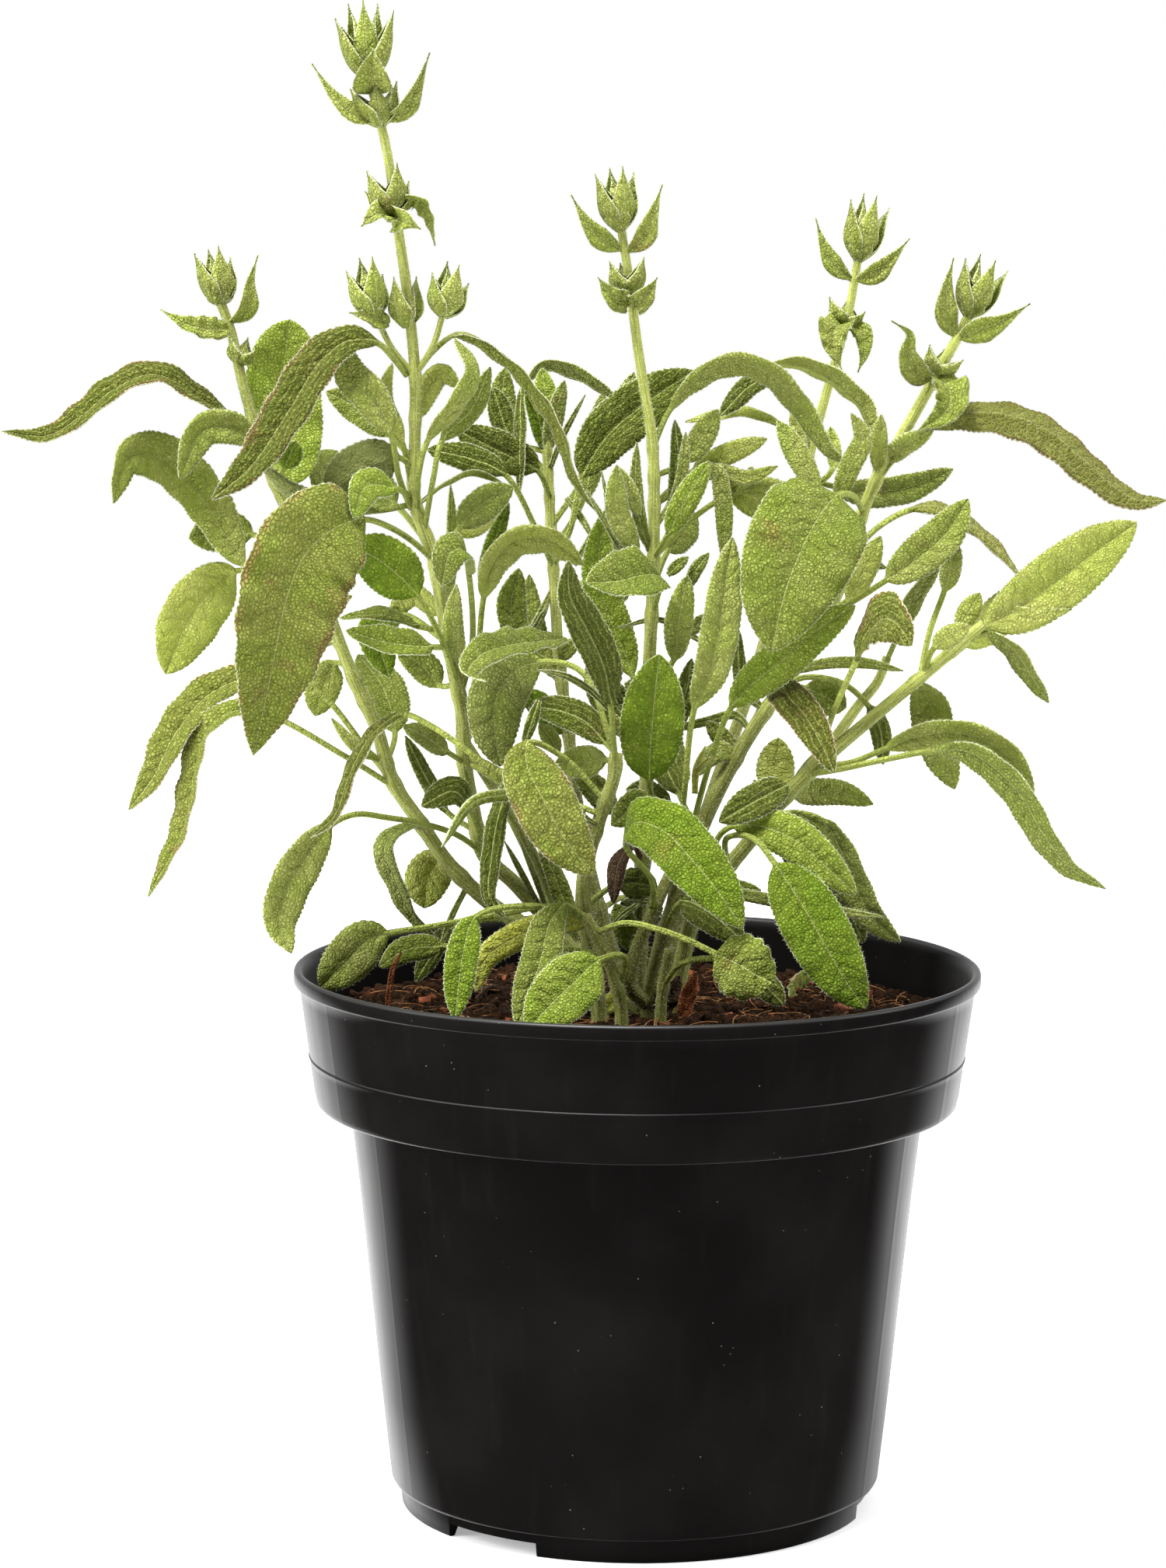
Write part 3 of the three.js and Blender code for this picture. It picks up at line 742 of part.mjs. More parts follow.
// The compost: it fills the pot with a small gap to the wall, its top is uneven, bark chips stick
// out of it and each stem stands in a hole
function buildSoil() {
  const draw = seededDraw(41);
  const inset = FIT_GAP + WALL_SAG;
  const floor = FOOT_RING_HEIGHT - FLOOR_DROP + POT_WALL + FIT_GAP;
  const stepHeight = BAND_BOTTOM + POT_WALL;
  const wall = [
    [BODY_FOOT_RADIUS - POT_WALL - 3.4, floor],
    [BODY_FOOT_RADIUS - POT_WALL - inset, FOOT_RING_HEIGHT + 2.2],
    [BODY_TOP_RADIUS - POT_WALL - inset, stepHeight + 0.8],
    [bandRadius(stepHeight) - 1.6, stepHeight + 1.6],
    [bandRadius(SOIL_LEVEL - 3) - inset, SOIL_LEVEL - 3],
  ];
  const rings = wall.map(([radius, height]) => [radius, () => height]);
  for (const radius of SOIL_RINGS) {
    rings.push([radius, () => SOIL_LEVEL + (draw() - 0.5) * 2 * SOIL_MOUND]);
  }
  const circles = rings.map(([radius, heightAt]) => {
    const circle = [];
    for (let side = 0; side < SOIL_SIDES; side += 1) {
      const angle = (side * 2 * Math.PI) / SOIL_SIDES;
      circle.push(new THREE.Vector3(radius * Math.cos(angle), radius * Math.sin(angle), heightAt()));
    }
    return circle;
  });
  let body = solid(loft(circles));
  for (let i = 0; i < CHIP_COUNT; i += 1) {
    const size = CHIP_SIZE * (0.7 + 0.6 * draw());
    const chip = new THREE.BoxGeometry(size, size * CHIP_SLIMNESS, CHIP_THICKNESS);
    chip.rotateY((draw() - 0.5) * CHIP_TILT);
    chip.rotateZ(draw() * Math.PI);
    const angle = draw() * 2 * Math.PI;
    const radius = CHIP_NEAREST + CHIP_SPREAD * draw();
    chip.translate(radius * Math.cos(angle), radius * Math.sin(angle), SOIL_LEVEL - SOIL_MOUND / 3);
    body = body.add(solid(chip));
  }
  for (const [shoot, footWidth, , route] of STEMS) {
    const foot = seen(shoot, route[0]);
    const reach = (footWidth * Math.SQRT2) / 2 + HOLE_GAP;
    const hole = new THREE.CylinderGeometry(reach, reach, HOLE_DEPTH, HOLE_SIDES).rotateX(Math.PI / 2);
    hole.translate(foot.x, foot.y, foot.z - FIT_GAP + HOLE_DEPTH / 2);
    body = body.subtract(solid(hole));
  }
  return geometryOf(body);
}

// One leafy stem with everything that grows from it, as one body
function buildShoot(name) {
  const parts = [];
  for (const [owner, footWidth, topWidth, route] of [...STEMS, ...LIMBS]) {
    if (owner === name) {
      parts.push(stem(name, route, footWidth, topWidth));
    }
  }
  for (const [owner, stalkPoints, width, turn, twist, fold, , route] of LEAVES) {
    if (owner === name) {
      parts.push(leaf(name, route, stalkPoints, width, turn, twist, fold));
    }
  }
  for (const [owner, width, turn, route] of BRACTS) {
    if (owner === name) {
      parts.push(leaf(name, route, 0, width, turn, 0, BRACT_FOLD));
    }
  }
  for (const [owner, seat, tips] of BUDS) {
    if (owner === name) {
      tips.forEach(([across, up], i) => {
        const nearer = seat[2] + (i % 2 ? -BUD_STAGGER : BUD_STAGGER);
        parts.push(bud(seen(name, seat), seen(name, [across, up, nearer])));
      });
    }
  }
  const joined = parts.map(solid).reduce((body, part) => body.add(part));
  return geometryOf(largestBody(joined));
}

const MATERIALS = {
  pot: { color: 0x1c1b1c, roughness: 0.5, metalness: 0 },
  soil: { color: 0x2b1a10, roughness: 0.95, metalness: 0 },
  leaves: { color: 0x7f9440, roughness: 0.8, metalness: 0 },
};

function part(name, geometry, look) {
  const mesh = new THREE.Mesh(geometry, new THREE.MeshStandardMaterial(look));
  mesh.name = name;
  return mesh;
}

const pottedSage = new THREE.Group();
pottedSage.add(part('pot', buildPot(), MATERIALS.pot));
pottedSage.add(part('soil', buildSoil(), MATERIALS.soil));
for (const [name] of STEMS) {
  pottedSage.add(part(name, buildShoot(name), MATERIALS.leaves));
}

// The origin is under the middle of the whole plant, on the floor
const extent = new THREE.Box3().setFromObject(pottedSage);
const middle = extent.getCenter(new THREE.Vector3());
pottedSage.position.set(-middle.x, -middle.y, 0);

export default pottedSage;
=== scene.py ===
"""The looks of a potted sage: the nursery pot, its compost and ten leafy stems.

Lengths are in millimetres with the pot's axis at the origin until a mesh is made, where they become
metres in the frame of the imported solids.
"""

import logging
import math
from dataclasses import dataclass, field
from enum import Enum
from typing import Any, Optional, Sequence

import bpy
import numpy as np
from mathutils import Matrix, Vector, noise


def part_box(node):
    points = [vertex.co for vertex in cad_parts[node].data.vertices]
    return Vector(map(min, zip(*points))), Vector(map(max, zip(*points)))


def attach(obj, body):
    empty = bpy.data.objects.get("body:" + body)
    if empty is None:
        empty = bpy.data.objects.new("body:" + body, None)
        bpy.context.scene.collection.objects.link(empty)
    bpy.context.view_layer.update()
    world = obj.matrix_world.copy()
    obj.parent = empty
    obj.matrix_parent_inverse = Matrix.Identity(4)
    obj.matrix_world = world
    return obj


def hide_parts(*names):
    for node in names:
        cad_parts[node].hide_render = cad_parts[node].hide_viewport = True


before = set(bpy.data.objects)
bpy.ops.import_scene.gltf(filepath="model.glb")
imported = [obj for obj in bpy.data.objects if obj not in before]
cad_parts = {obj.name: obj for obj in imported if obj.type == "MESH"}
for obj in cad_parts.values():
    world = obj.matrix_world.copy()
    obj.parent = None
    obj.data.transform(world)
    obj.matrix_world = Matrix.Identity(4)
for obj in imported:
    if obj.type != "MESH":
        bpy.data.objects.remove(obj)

LOG = logging.getLogger("potted_sage")
MM = 0.001
EYE = np.array([0.0, -1090.0, 317.0])
SOIL_LEVEL = 122.5
LEAN_RISE = 200.0
STALK_HALF = 0.85
UV_SPAN = 50.0
Places = Sequence[Sequence[float]]
Colour = tuple[float, float, float]
Triple = tuple[float, float, float]
WHITE = (1.0, 1.0, 1.0, 1.0)
FULL_TURN = 6.28
GOLDEN = 0.618034

# Readings of the plant
# How far each shoot leans towards the viewer over LEAN_RISE of height, besides its routes.
LEANS = {
    "far_left_stem": -14,
    "tall_stem": 6,
    "centre_stem": 4,
    "rear_stem": -24,
    "right_rear_stem": -34,
    "right_stem": -6,
    "far_right_stem": 12,
    "front_stem": 6,
    "low_front_shoot": 0,
    "low_right_shoot": 0,
}

# Each stem by its name: width at the foot, width at the top, route from foot to top. A route point
# is (across, up, nearer): where it is seen against the plane through the pot's axis, and how far
# it stands in front of that plane.
STEMS = {
    "far_left_stem": [
        [4.6, 2.6, [[-9, 112, 4], [-9.5, 125, 4], [-16, 135, 4], [-28, 144.5, 3], [-38, 151.6, 2],
         [-47, 160.5, 0], [-54, 170.7, -1], [-60.7, 181, -2], [-64.5, 193.7, -3], [-69.5, 204.7, -4],
         [-74.7, 218, -5], [-81, 237.4, -6], [-90.5, 256.8, -6], [-96.5, 276, -6], [-100, 291.5, -6],
         [-102.5, 298.5, -6]]],
    ],
    "tall_stem": [
        [4.6, 2.2, [[-9, 112, -8], [-9.5, 125, -8], [-14, 135, -7], [-21, 144.5, -6], [-30, 155, -3],
         [-37.6, 162.5, 0], [-41, 175, 3], [-43, 187, 5], [-43.5, 198, 6], [-45.5, 208, 7],
         [-48.5, 224.6, 8], [-50.4, 236, 8], [-54, 246, 8], [-55.2, 252, 8], [-55, 266, 8], [-55, 281, 8],
         [-56.8, 300, 8], [-59.2, 317, 8], [-61.8, 335, 8], [-66, 352, 8]]],
    ],
    "centre_stem": [
        [4.6, 2.2, [[0, 112, -1], [0, 125, -1], [0.5, 140, -1], [1, 155, 0], [2, 180, 0], [2.5, 208, -1],
         [3.5, 235, -2], [3, 264.5, -3], [1, 277, -3], [-1, 290, -3], [-3, 305, -3], [-5, 317, -3]]],
    ],
    "rear_stem": [
        [4.2, 2.4, [[-1, 112, -14], [-1.5, 125, -14], [-6, 138, -15], [-11, 155, -16], [-15, 175, -17],
         [-17.5, 195, -17], [-19.5, 210, -18], [-21, 232.5, -19], [-22.5, 258.7, -20], [-23, 271, -20]]],
    ],
    "right_rear_stem": [
        [4.2, 2.2, [[9, 112, -10], [9, 125, -10], [10, 140, -13], [13, 160, -17], [19, 180, -20],
         [26, 200, -22], [32, 220, -23], [37, 240, -24], [41, 260, -24], [46, 279, -24], [50.5, 296, -24],
         [53, 311, -24]]],
    ],
    "right_stem": [
        [4.8, 2.6, [[3, 112, 9], [3.2, 125, 9], [5, 136, 9.5], [9, 150, 9.5], [15, 168, 6], [24, 187, 1],
         [36, 206, -3], [43, 217, -4], [49, 229, -6], [54, 246, -8], [58.5, 257, -8], [66, 270, -8],
         [72, 281, -8], [77.5, 291, -8], [80.5, 297, -8]]],
    ],
    "far_right_stem": [
        [4.8, 3, [[10, 112, 1], [9.8, 125, 1], [11, 135, 2], [13.5, 146, 4], [18, 155, 6], [25, 163, 8],
         [36.5, 177.5, 11], [46, 187, 11], [59.5, 198.8, 13], [73, 210.3, 14.5], [84.6, 220.3, 15]]],
    ],
    "front_stem": [
        [4.4, 3.4, [[-9, 112, 15], [-9.5, 125, 15], [-11, 135, 16], [-13, 146, 18], [-13.5, 155, 19],
         [-11.5, 165, 20], [-8.5, 174.5, 21], [-6, 182, 22], [-5.5, 188, 22]]],
    ],
    "low_front_shoot": [
        [3.6, 3, [[-4, 112, 25], [-4, 125, 25], [-6, 133, 27], [-9.5, 141, 28], [-13, 147.5, 28]]],
    ],
    "low_right_shoot": [
        [3.4, 2.6, [[6, 112, 20], [6, 125, 20], [7, 133, 21], [8, 139, 22]]],
    ],
}

# Each leaf by its stem: bare stalk points, width, turn from face-on, twist along the blade, fold of
# the two halves, tone, route from the stem to the tip. The tone is partly the leaf's own colour and
# partly painted light and shade: darker tones for leaves that lie in shade, paler ones for well-lit
# leaves.
LEAVES = {
    "far_left_stem": [
        [2, 13, 15, 0, 0.2, "p", [[-78, 228, -5], [-87.8, 230, -8], [-97, 234, -12], [-105.5, 248, -15],
         [-111.5, 255.5, -13], [-118.5, 260.5, -8], [-125.5, 260, 0], [-129, 249, 4]]],
        [1, 9, 50, 0, 0.3, "u", [[-94.5, 270, -6], [-99, 269.9, -5], [-107, 274.5, -3], [-118.5, 280.5, -1],
         [-128.4, 276.9, 1], [-136, 270.8, 2], [-144.8, 265.5, 3], [-156.1, 266.3, 5]]],
        [1, 19, 0, 0, 0.15, "b", [[-88, 250, -6], [-85.2, 254, -9], [-86.5, 266, -13], [-87.2, 280, -14],
         [-85.5, 294, -12]]],
        [1, 8.5, -20, 0, 0.35, "p", [[-92, 260, -6], [-94, 263.8, 2], [-100, 267.5, 8], [-107, 267, 12],
         [-112.7, 255.1, 14]]],
        [2, 11, 20, 0, 0.3, "d", [[-79, 231, -6], [-88, 238, -14], [-95, 241.5, -21], [-103, 241.5, -23],
         [-110.5, 240.5, -21]]],
        [2, 16, -15, 0, 0.15, "w", [[-77, 224, -5], [-89, 230.5, -16], [-99, 232.5, -20], [-105, 228, -20],
         [-111, 220, -18], [-116.5, 207, -15]]],
        [3, 10.5, 35, 10, 0.35, "o", [[-61, 181, -2], [-67.4, 189.1, -7], [-78.8, 202.7, -10],
         [-88.8, 206, -9], [-97.8, 205.7, -7], [-106.8, 201.2, -4], [-114.8, 191.2, -1], [-119.8, 181.2, 1],
         [-125.8, 173.2, 2]]],
        [2, 9, 58, 0, 0.4, "o", [[-60.5, 179.5, -2], [-72.6, 187, 2], [-91.2, 197, 4], [-100.2, 197.7, 3],
         [-106.7, 192.5, 2], [-110.2, 179, 3], [-112.7, 168, 3], [-121.2, 151.5, 3]]],
        [2, 9, 0, 0, 0.1, "p", [[-68, 200, -4], [-71, 208, -10], [-74.5, 210, -14], [-77.3, 205, -15],
         [-79.7, 196.8, -14]]],
        [0, 3, 0, 0, 0, "w", [[-64, 186, -2], [-70, 189.5, 4], [-75.7, 196.3, 5]]],
        [0, 6.5, 45, 30, 0.3, "g", [[-53.5, 169.8, -1], [-58.3, 168.7, 5], [-62.6, 164, 9],
         [-60.1, 156.5, 8], [-55.6, 147, 5], [-48.6, 140.5, 2]]],
        [1, 11.5, 0, 0, 0.1, "w", [[-43.5, 157, 1], [-47.9, 162.1, -6], [-51.8, 157, -8],
         [-52.8, 149, -8]]],
        [2, 6, 30, 0, 0.2, "k", [[-30, 146.3, 3], [-39, 146, -5], [-46, 144, -9], [-50.5, 138, -11],
         [-55, 130.5, -12]]],
        [1, 6, 10, 0, 0.2, "v", [[-90, 254, -6], [-87, 258, 0], [-84, 264.5, 2]]],
        [1, 15, 20, 0, 0.2, "d", [[-70, 206, -4], [-75, 215, -18], [-82, 223, -32], [-90, 222, -44],
         [-93, 212, -52]]],
        [1, 11, 20, 0, 0.2, "d", [[-62, 185, -2], [-60, 193, -14], [-63, 204, -26], [-69, 212, -36]]],
        [1, 10, 10, 0, 0.2, "g", [[-83, 243, -6], [-79, 252, -18], [-74, 262, -30]]],
    ],
    "tall_stem": [
        [2, 12, 30, 10, 0.25, "u", [[-57, 280.5, 8], [-60.5, 285, 11], [-64, 288.3, 13], [-71, 289, 15],
         [-78, 284, 17], [-85.7, 272, 19], [-95.4, 257.9, 21], [-104.8, 250, 22]]],
        [5, 10.5, -15, 0, 0.3, "p", [[-37, 162, 1], [-44.9, 167.5, 6], [-53.8, 170.3, 10],
         [-61.8, 171.6, 12], [-69.8, 172.4, 14], [-75.8, 169.7, 15], [-81.8, 162.5, 16], [-86.8, 153.5, 18],
         [-88.8, 144.5, 20], [-85.8, 137.5, 25]]],
        [1, 7, 66, 0, 0.3, "o", [[-55, 280.6, 8], [-50, 287, 2], [-44, 290.6, -2], [-36.5, 287.3, -5],
         [-29.3, 281.6, -6], [-20.5, 269.5, -7], [-15.4, 254.8, -7], [-10.3, 247.2, -6]]],
        [2, 9, 10, 0, 0.3, "p", [[-56, 248, 8], [-59, 256, 12], [-61, 266.5, 14], [-66, 275, 14],
         [-71, 281, 13], [-72.9, 289, 11]]],
        [1, 5, 40, 0, 0, "w", [[-56, 254, 8], [-58, 264, 9], [-62.5, 275.5, 10], [-60.6, 283.5, 12]]],
        [1, 9, 20, 0, 0.2, "d", [[-55.5, 260, 8], [-61, 266, 0], [-68, 272, -5], [-76.7, 276.5, -5]]],
        [2, 6, 45, 0, 0, "p", [[-54.6, 247, 8], [-54, 257, 14], [-51.9, 264.6, 15], [-45, 273.5, 16],
         [-41, 282, 15], [-45.5, 289.6, 13]]],
        [2, 6, 30, 0, 0, "d", [[-53, 241, 8], [-50.4, 256, 11], [-48.4, 264.6, 10], [-41, 272.5, 8],
         [-36.6, 282.7, 7]]],
        [1, 13, 170, 0, 0.15, "k", [[-55.6, 258, 8], [-59, 260.5, 11], [-67, 258, 14], [-77.5, 251, 14]]],
        [1, 8, -20, 0, 0.2, "b", [[-56, 251, 8], [-60, 253, 16], [-67, 253.5, 23], [-70, 245.5, 29]]],
        [3, 27, -20, 0, 0.22, "o", [[-50.5, 235.4, 8], [-56, 240.3, 12], [-62, 243.8, 18],
         [-67.5, 245.3, 24], [-75, 243, 32], [-82, 236.5, 38], [-86.5, 226, 42], [-89.5, 212, 44],
         [-92, 200, 44], [-95, 187, 42]]],
        [2, 13.5, 5, 0, 0.12, "v", [[-44, 203, 6], [-49, 217, 14], [-54.5, 226.8, 18], [-59, 231.5, 19],
         [-64, 235.5, 20], [-71.5, 239, 20]]],
        [1, 7, 130, 0, 0.3, "d", [[-56, 249, 8], [-64, 247.5, 11], [-74, 247.5, 15], [-84, 251, 17],
         [-93, 258.5, 17]]],
        [2, 9, 0, 0, 0.3, "d", [[-43.5, 203, 6], [-41, 214, 6], [-41.8, 232, 15], [-43.5, 238, 21],
         [-46.5, 237, 25], [-48.5, 229, 27]]],
        [0, 5.5, 0, 0, 0, "p", [[-44.3, 204, 6], [-45, 211, 9], [-45.7, 220, 12], [-44.8, 229.5, 12]]],
        [1, 8.5, 40, 0, 0.4, "d", [[-46.5, 214, 7], [-51, 214, 17], [-58, 214.5, 22], [-64, 215.5, 23],
         [-72, 218, 22]]],
        [1, 7, 65, 0, 0.2, "d", [[-47.5, 218, 7], [-54, 219, 10], [-63, 221.8, 12], [-73.5, 221, 11]]],
        [1, 9, 0, 0, 0.1, "v", [[-47, 215, 7], [-58, 222, -2], [-64.5, 219, -6], [-61.5, 206.5, -6]]],
        [1, 8, 20, 0, 0.2, "d", [[-44.5, 205, 6], [-49, 204.5, 0], [-53, 209, -3], [-59.5, 214, -4]]],
        [1, 6.5, 30, 0, 0.2, "g", [[-43, 185.5, 5], [-47, 188, 11], [-52, 191.5, 13], [-58, 194.5, 13]]],
        [1, 4.5, 20, 0, 0, "k", [[-39.5, 168, 2], [-47, 173, 0], [-52, 181, -2], [-57.5, 192, -3]]],
        [1, 7.5, 20, 0, 0.2, "k", [[-38.5, 165, 1], [-41.5, 173.5, 8], [-45.5, 178.3, 11],
         [-53.5, 174.5, 12]]],
        [2, 8.5, 30, 0, 0.2, "w", [[-43.3, 192, 5], [-40, 208, 0], [-38.2, 226, 0], [-36, 234, 0],
         [-31, 239.8, 0], [-23, 240.8, -1], [-13.6, 234.4, -3]]],
        [1, 8.5, 10, 0, 0.2, "g", [[-50, 231, 8], [-44, 243.5, 4], [-38, 249.5, 3], [-31, 253.5, 2]]],
        [0, 5, 20, 0, 0, "v", [[-38.2, 226, 0], [-37, 235, -5], [-34.5, 243, -8], [-32, 249.5, -9]]],
        [0, 6, 0, 0, 0, "w", [[-55, 270, 8], [-52, 277, 2], [-48.5, 281, 0], [-44, 277.5, 0]]],
        [0, 5.4, 20, 0, 0, "d", [[-16, 137, -7], [-17, 147, -7.5], [-20, 156, -8], [-25, 168, -8]]],
        [0, 3.4, 60, 0, 0, "p", [[-54, 249, 8], [-47, 254.5, 2], [-40, 256.8, -2], [-33, 254, -4]]],
        [1, 12, 0, 0, 0.2, "g", [[-43, 190, 5], [-38, 197, -9], [-34, 202, -24], [-34, 192, -36]]],
        [1, 9, 0, 0, 0.2, "w", [[-50.5, 234, 8], [-45, 242, -8], [-35, 250, -22]]],
        [1, 11, 20, 0, 0.2, "g", [[-53, 241, 8], [-60, 249, -6], [-74, 257, -20]]],
    ],
    "rear_stem": [
        [0, 5, 0, 0, 0, "v", [[-23, 262, -20], [-25, 271, -18], [-28, 279.5, -17]]],
        [0, 5, 20, 0, 0, "g", [[-22.7, 262, -20], [-20.5, 272, -18], [-18.5, 279.5, -18]]],
        [0, 6, 10, 0, 0, "b", [[-23, 268, -20], [-23, 274, -21], [-24, 282.5, -22]]],
        [1, 4, 40, 0, 0, "k", [[-23, 268, -20], [-28.5, 277.5, -15], [-29.3, 266, -13], [-29.4, 252, -13]]],
        [1, 6.5, 0, 0, 0, "k", [[-22.8, 262, -20], [-31, 265, -23], [-36, 277.7, -24]]],
        [1, 6, 55, 0, 0, "g", [[-23, 269, -20], [-27.5, 278.5, -24], [-23, 283, -26], [-14, 280.5, -26],
         [-5, 274.5, -26]]],
        [2, 14, -10, 0, 0.2, "k", [[-21, 234, -19], [-17, 243, -15], [-14, 256, -13], [-8, 266, -13],
         [0, 273, -13], [13, 282, -13]]],
        [1, 10, 10, 0, 0.2, "k", [[-22, 251, -19], [-25, 257.5, -15], [-34, 262, -13], [-45, 267.5, -12]]],
        [2, 7.5, 20, 0, 0, "k", [[-20.8, 233, -19], [-25.5, 243.5, -14], [-33, 256.5, -9], [-42, 260.5, -8],
         [-52, 262.5, -8]]],
        [1, 7.5, 0, 0, 0, "d", [[-22.8, 257, -20], [-29, 264, -25], [-33.5, 273, -27], [-33, 282.5, -27]]],
        [1, 7.5, 0, 0, 0, "g", [[-21.5, 244, -19], [-12, 258, -24], [-5.5, 270, -28], [-1.5, 281.5, -29]]],
        [1, 6.5, 10, 0, 0, "g", [[-21, 238, -19], [-14, 250, -26], [-11, 264, -31], [-9, 277, -33]]],
        [0, 6.5, 0, 0, 0, "p", [[-19.2, 206, -18], [-24.5, 214, -18.5], [-26.5, 223, -19],
         [-27, 232, -19]]],
        [0, 7, 0, 0, 0, "v", [[-17.5, 193, -17], [-22, 197.5, -14], [-26, 201, -13], [-30.5, 202, -13]]],
        [1, 7.8, 15, 0, 0.25, "d", [[-19.5, 209, -18], [-28, 214.5, -12], [-31.5, 223, -11],
         [-29.5, 233.5, -10]]],
        [1, 9.5, 40, -20, 0.3, "d", [[-19.5, 214, -18], [-18.5, 216, 2], [-25, 215.5, 16], [-32, 214.5, 29],
         [-39, 212, 40], [-42, 207.5, 46], [-37.5, 205.5, 50]]],
        [1, 13, 0, 0, 0.2, "d", [[-14.5, 172, -17], [-19, 181, -30], [-23, 185, -42], [-24, 174, -54]]],
        [1, 11, 20, 0, 0.2, "d", [[-19, 205, -18], [-26, 212, -30], [-35, 211, -44]]],
        [1, 11, 20, 0, 0.2, "d", [[-20.7, 226, -19], [-13, 230, -32], [-3, 226, -46]]],
        [1, 11, 10, 0, 0.2, "k", [[-9, 149, -16], [-3, 152, -30], [4, 146, -50]]],
    ],
    "front_stem": [
        [2, 9.5, 20, 10, 0.2, "k", [[-5.5, 185, 22], [-6.2, 192, 26], [-6.9, 200, 30], [-8.5, 209, 33],
         [-12.5, 218, 36], [-17, 227, 38], [-17.5, 235.5, 38]]],
        [2, 14, -5, 0, 0.12, "g", [[-5.5, 187, 22], [-14, 208, 20], [-24, 210.5, 16], [-31, 207.5, 12],
         [-34.8, 202, 12], [-35.5, 194, 14], [-34, 184.5, 16]]],
        [2, 15, 0, 0, 0.15, "o", [[-8, 176, 21], [-18, 186.5, 22], [-27, 190.5, 28], [-27.5, 185, 32],
         [-23.5, 176.5, 36], [-19, 168, 38], [-11, 157.5, 39]]],
        [1, 8, 10, 0, 0.2, "k", [[-5.7, 188, 22], [-8, 190.5, 20], [-13, 195.7, 17], [-19, 198.3, 14],
         [-27, 199.5, 10]]],
        [1, 8, 0, 0, 0.2, "p", [[-5.8, 185.5, 22], [-8, 186.3, 18], [-14, 185.7, 12], [-20.5, 185.3, 8]]],
        [2, 8, 0, 0, 0.15, "k", [[-12.8, 149.5, 18.5], [-9.5, 152.5, 12], [-5, 155.3, 5.6], [0, 155.5, 4.8],
         [5, 154.5, 4.8]]],
        [5, 6.5, 60, 0, 0, "u", [[-9, 172.5, 21], [-22, 178, 21], [-38.5, 185.8, 20], [-45, 190.5, 21],
         [-52, 195, 21], [-58, 197.3, 21], [-65, 193, 21], [-71, 183, 21], [-75, 172, 21],
         [-81, 166.5, 21]]],
        [0, 3.2, 0, 0, 0, "d", [[-10, 170, 21], [-22, 176, 27], [-34, 177.3, 30], [-41, 175.3, 32],
         [-48.5, 164.3, 34]]],
        [2, 5.8, 30, 0, 0, "k", [[-10, 168, 20], [-20, 178, 23], [-30, 182.5, 25], [-34, 174, 27],
         [-36.3, 161, 28], [-36.7, 152, 28], [-32.5, 146.5, 29]]],
    ],
    "centre_stem": [
        [1, 7.5, 33, 0, 0, "p", [[3.1, 263, -3], [7, 272, -6], [13, 279, -8], [22, 283.5, -9],
         [31, 281.5, -9], [40, 272, -10.5], [46, 262.8, -9.5], [51, 259.5, -8.5]]],
        [1, 6.5, 0, 0, 0, "p", [[3, 256, -3], [11, 260, -9], [19, 272.5, -12]]],
        [3, 4.5, 20, 0, 0, "w", [[3.4, 236, -2], [8, 241, -8], [15, 247.5, -12], [23, 252.3, -14],
         [31, 254, -15], [42, 250.5, -15]]],
        [1, 5.5, 0, 0, 0, "w", [[3.2, 249, -3], [13, 257.5, -12], [22, 262, -14], [31, 265.5, -14]]],
        [1, 6.5, 0, 0, 0, "b", [[3.4, 236, -2], [7, 242, 4], [11, 250, 6], [17, 260, 6]]],
        [1, 14.5, 35, 0, 0.35, "d", [[3.3, 222, -2], [5, 231, 5], [1, 232, 13], [-5, 230.5, 20],
         [-13, 230, 26]]],
        [1, 9.5, 10, 0, 0.2, "b", [[2.5, 200, 0], [-1.5, 207, -5], [-4, 214, -7], [-8.5, 225, -8],
         [-10, 236, -8], [-8, 248.5, -8]]],
        [1, 6.2, 20, 0, 0, "p", [[3, 230, -2], [-0.5, 237, 3], [-5.5, 248, 5], [-5.7, 259, 5]]],
        [0, 3.6, 20, 0, 0, "d", [[2.4, 238, -2], [0, 246, 1], [-1, 255, 1], [-0.8, 264.5, 1]]],
        [0, 4.6, 10, 0, 0, "p", [[13, 257.3, -12], [18.5, 257.5, -11], [20.5, 249, -10], [20.8, 235, -10]]],
        [0, 5.5, 0, 0, 0, "w", [[18.5, 257.5, -12], [22, 254.5, -14], [26, 250, -15], [31, 245.5, -15]]],
        [0, 7.5, 0, 0, 0, "k", [[2.2, 190, 0], [-5, 197, -6], [-10, 204, -8], [-12, 212, -8]]],
        [0, 6.5, 0, 0, 0, "k", [[2.3, 190, 0], [8, 196, -4], [11.5, 203, -6], [13, 211.5, -6]]],
        [0, 7, 0, 0, 0, "d", [[0.6, 139, -1], [-2, 143, 1.5], [-4, 147, 1.5], [-5.5, 150.5, 1]]],
        [1, 7, 10, 0, 0, "p", [[2.7, 205, -1], [8.5, 211, 5], [9.8, 221, 8], [11.8, 232, 9]]],
        [2, 15.5, 0, 0, 0.14, "v", [[1.5, 165, 0], [3.4, 173, 9], [2.8, 181.5, 15], [3, 190, 17],
         [3.8, 200, 19], [5, 212.5, 21]]],
        [1, 8, 0, 0, 0.2, "d", [[1.3, 163, 0], [4, 173.5, 7], [0, 175, 12], [-6.6, 170, 16]]],
        [1, 5, 30, 0, 0, "x", [[1.2, 161, 0], [-1.5, 165, 7], [-5, 160, 12], [-6, 150.5, 13.5]]],
        [1, 13, 0, 0, 0.2, "d", [[2.4, 196, 0], [4, 204, -13], [3, 206, -27], [2, 193, -40]]],
        [1, 8.5, 20, 0, 0.2, "d", [[3.4, 229, -2], [7, 238, -16], [14, 247, -30]]],
    ],
    "right_rear_stem": [
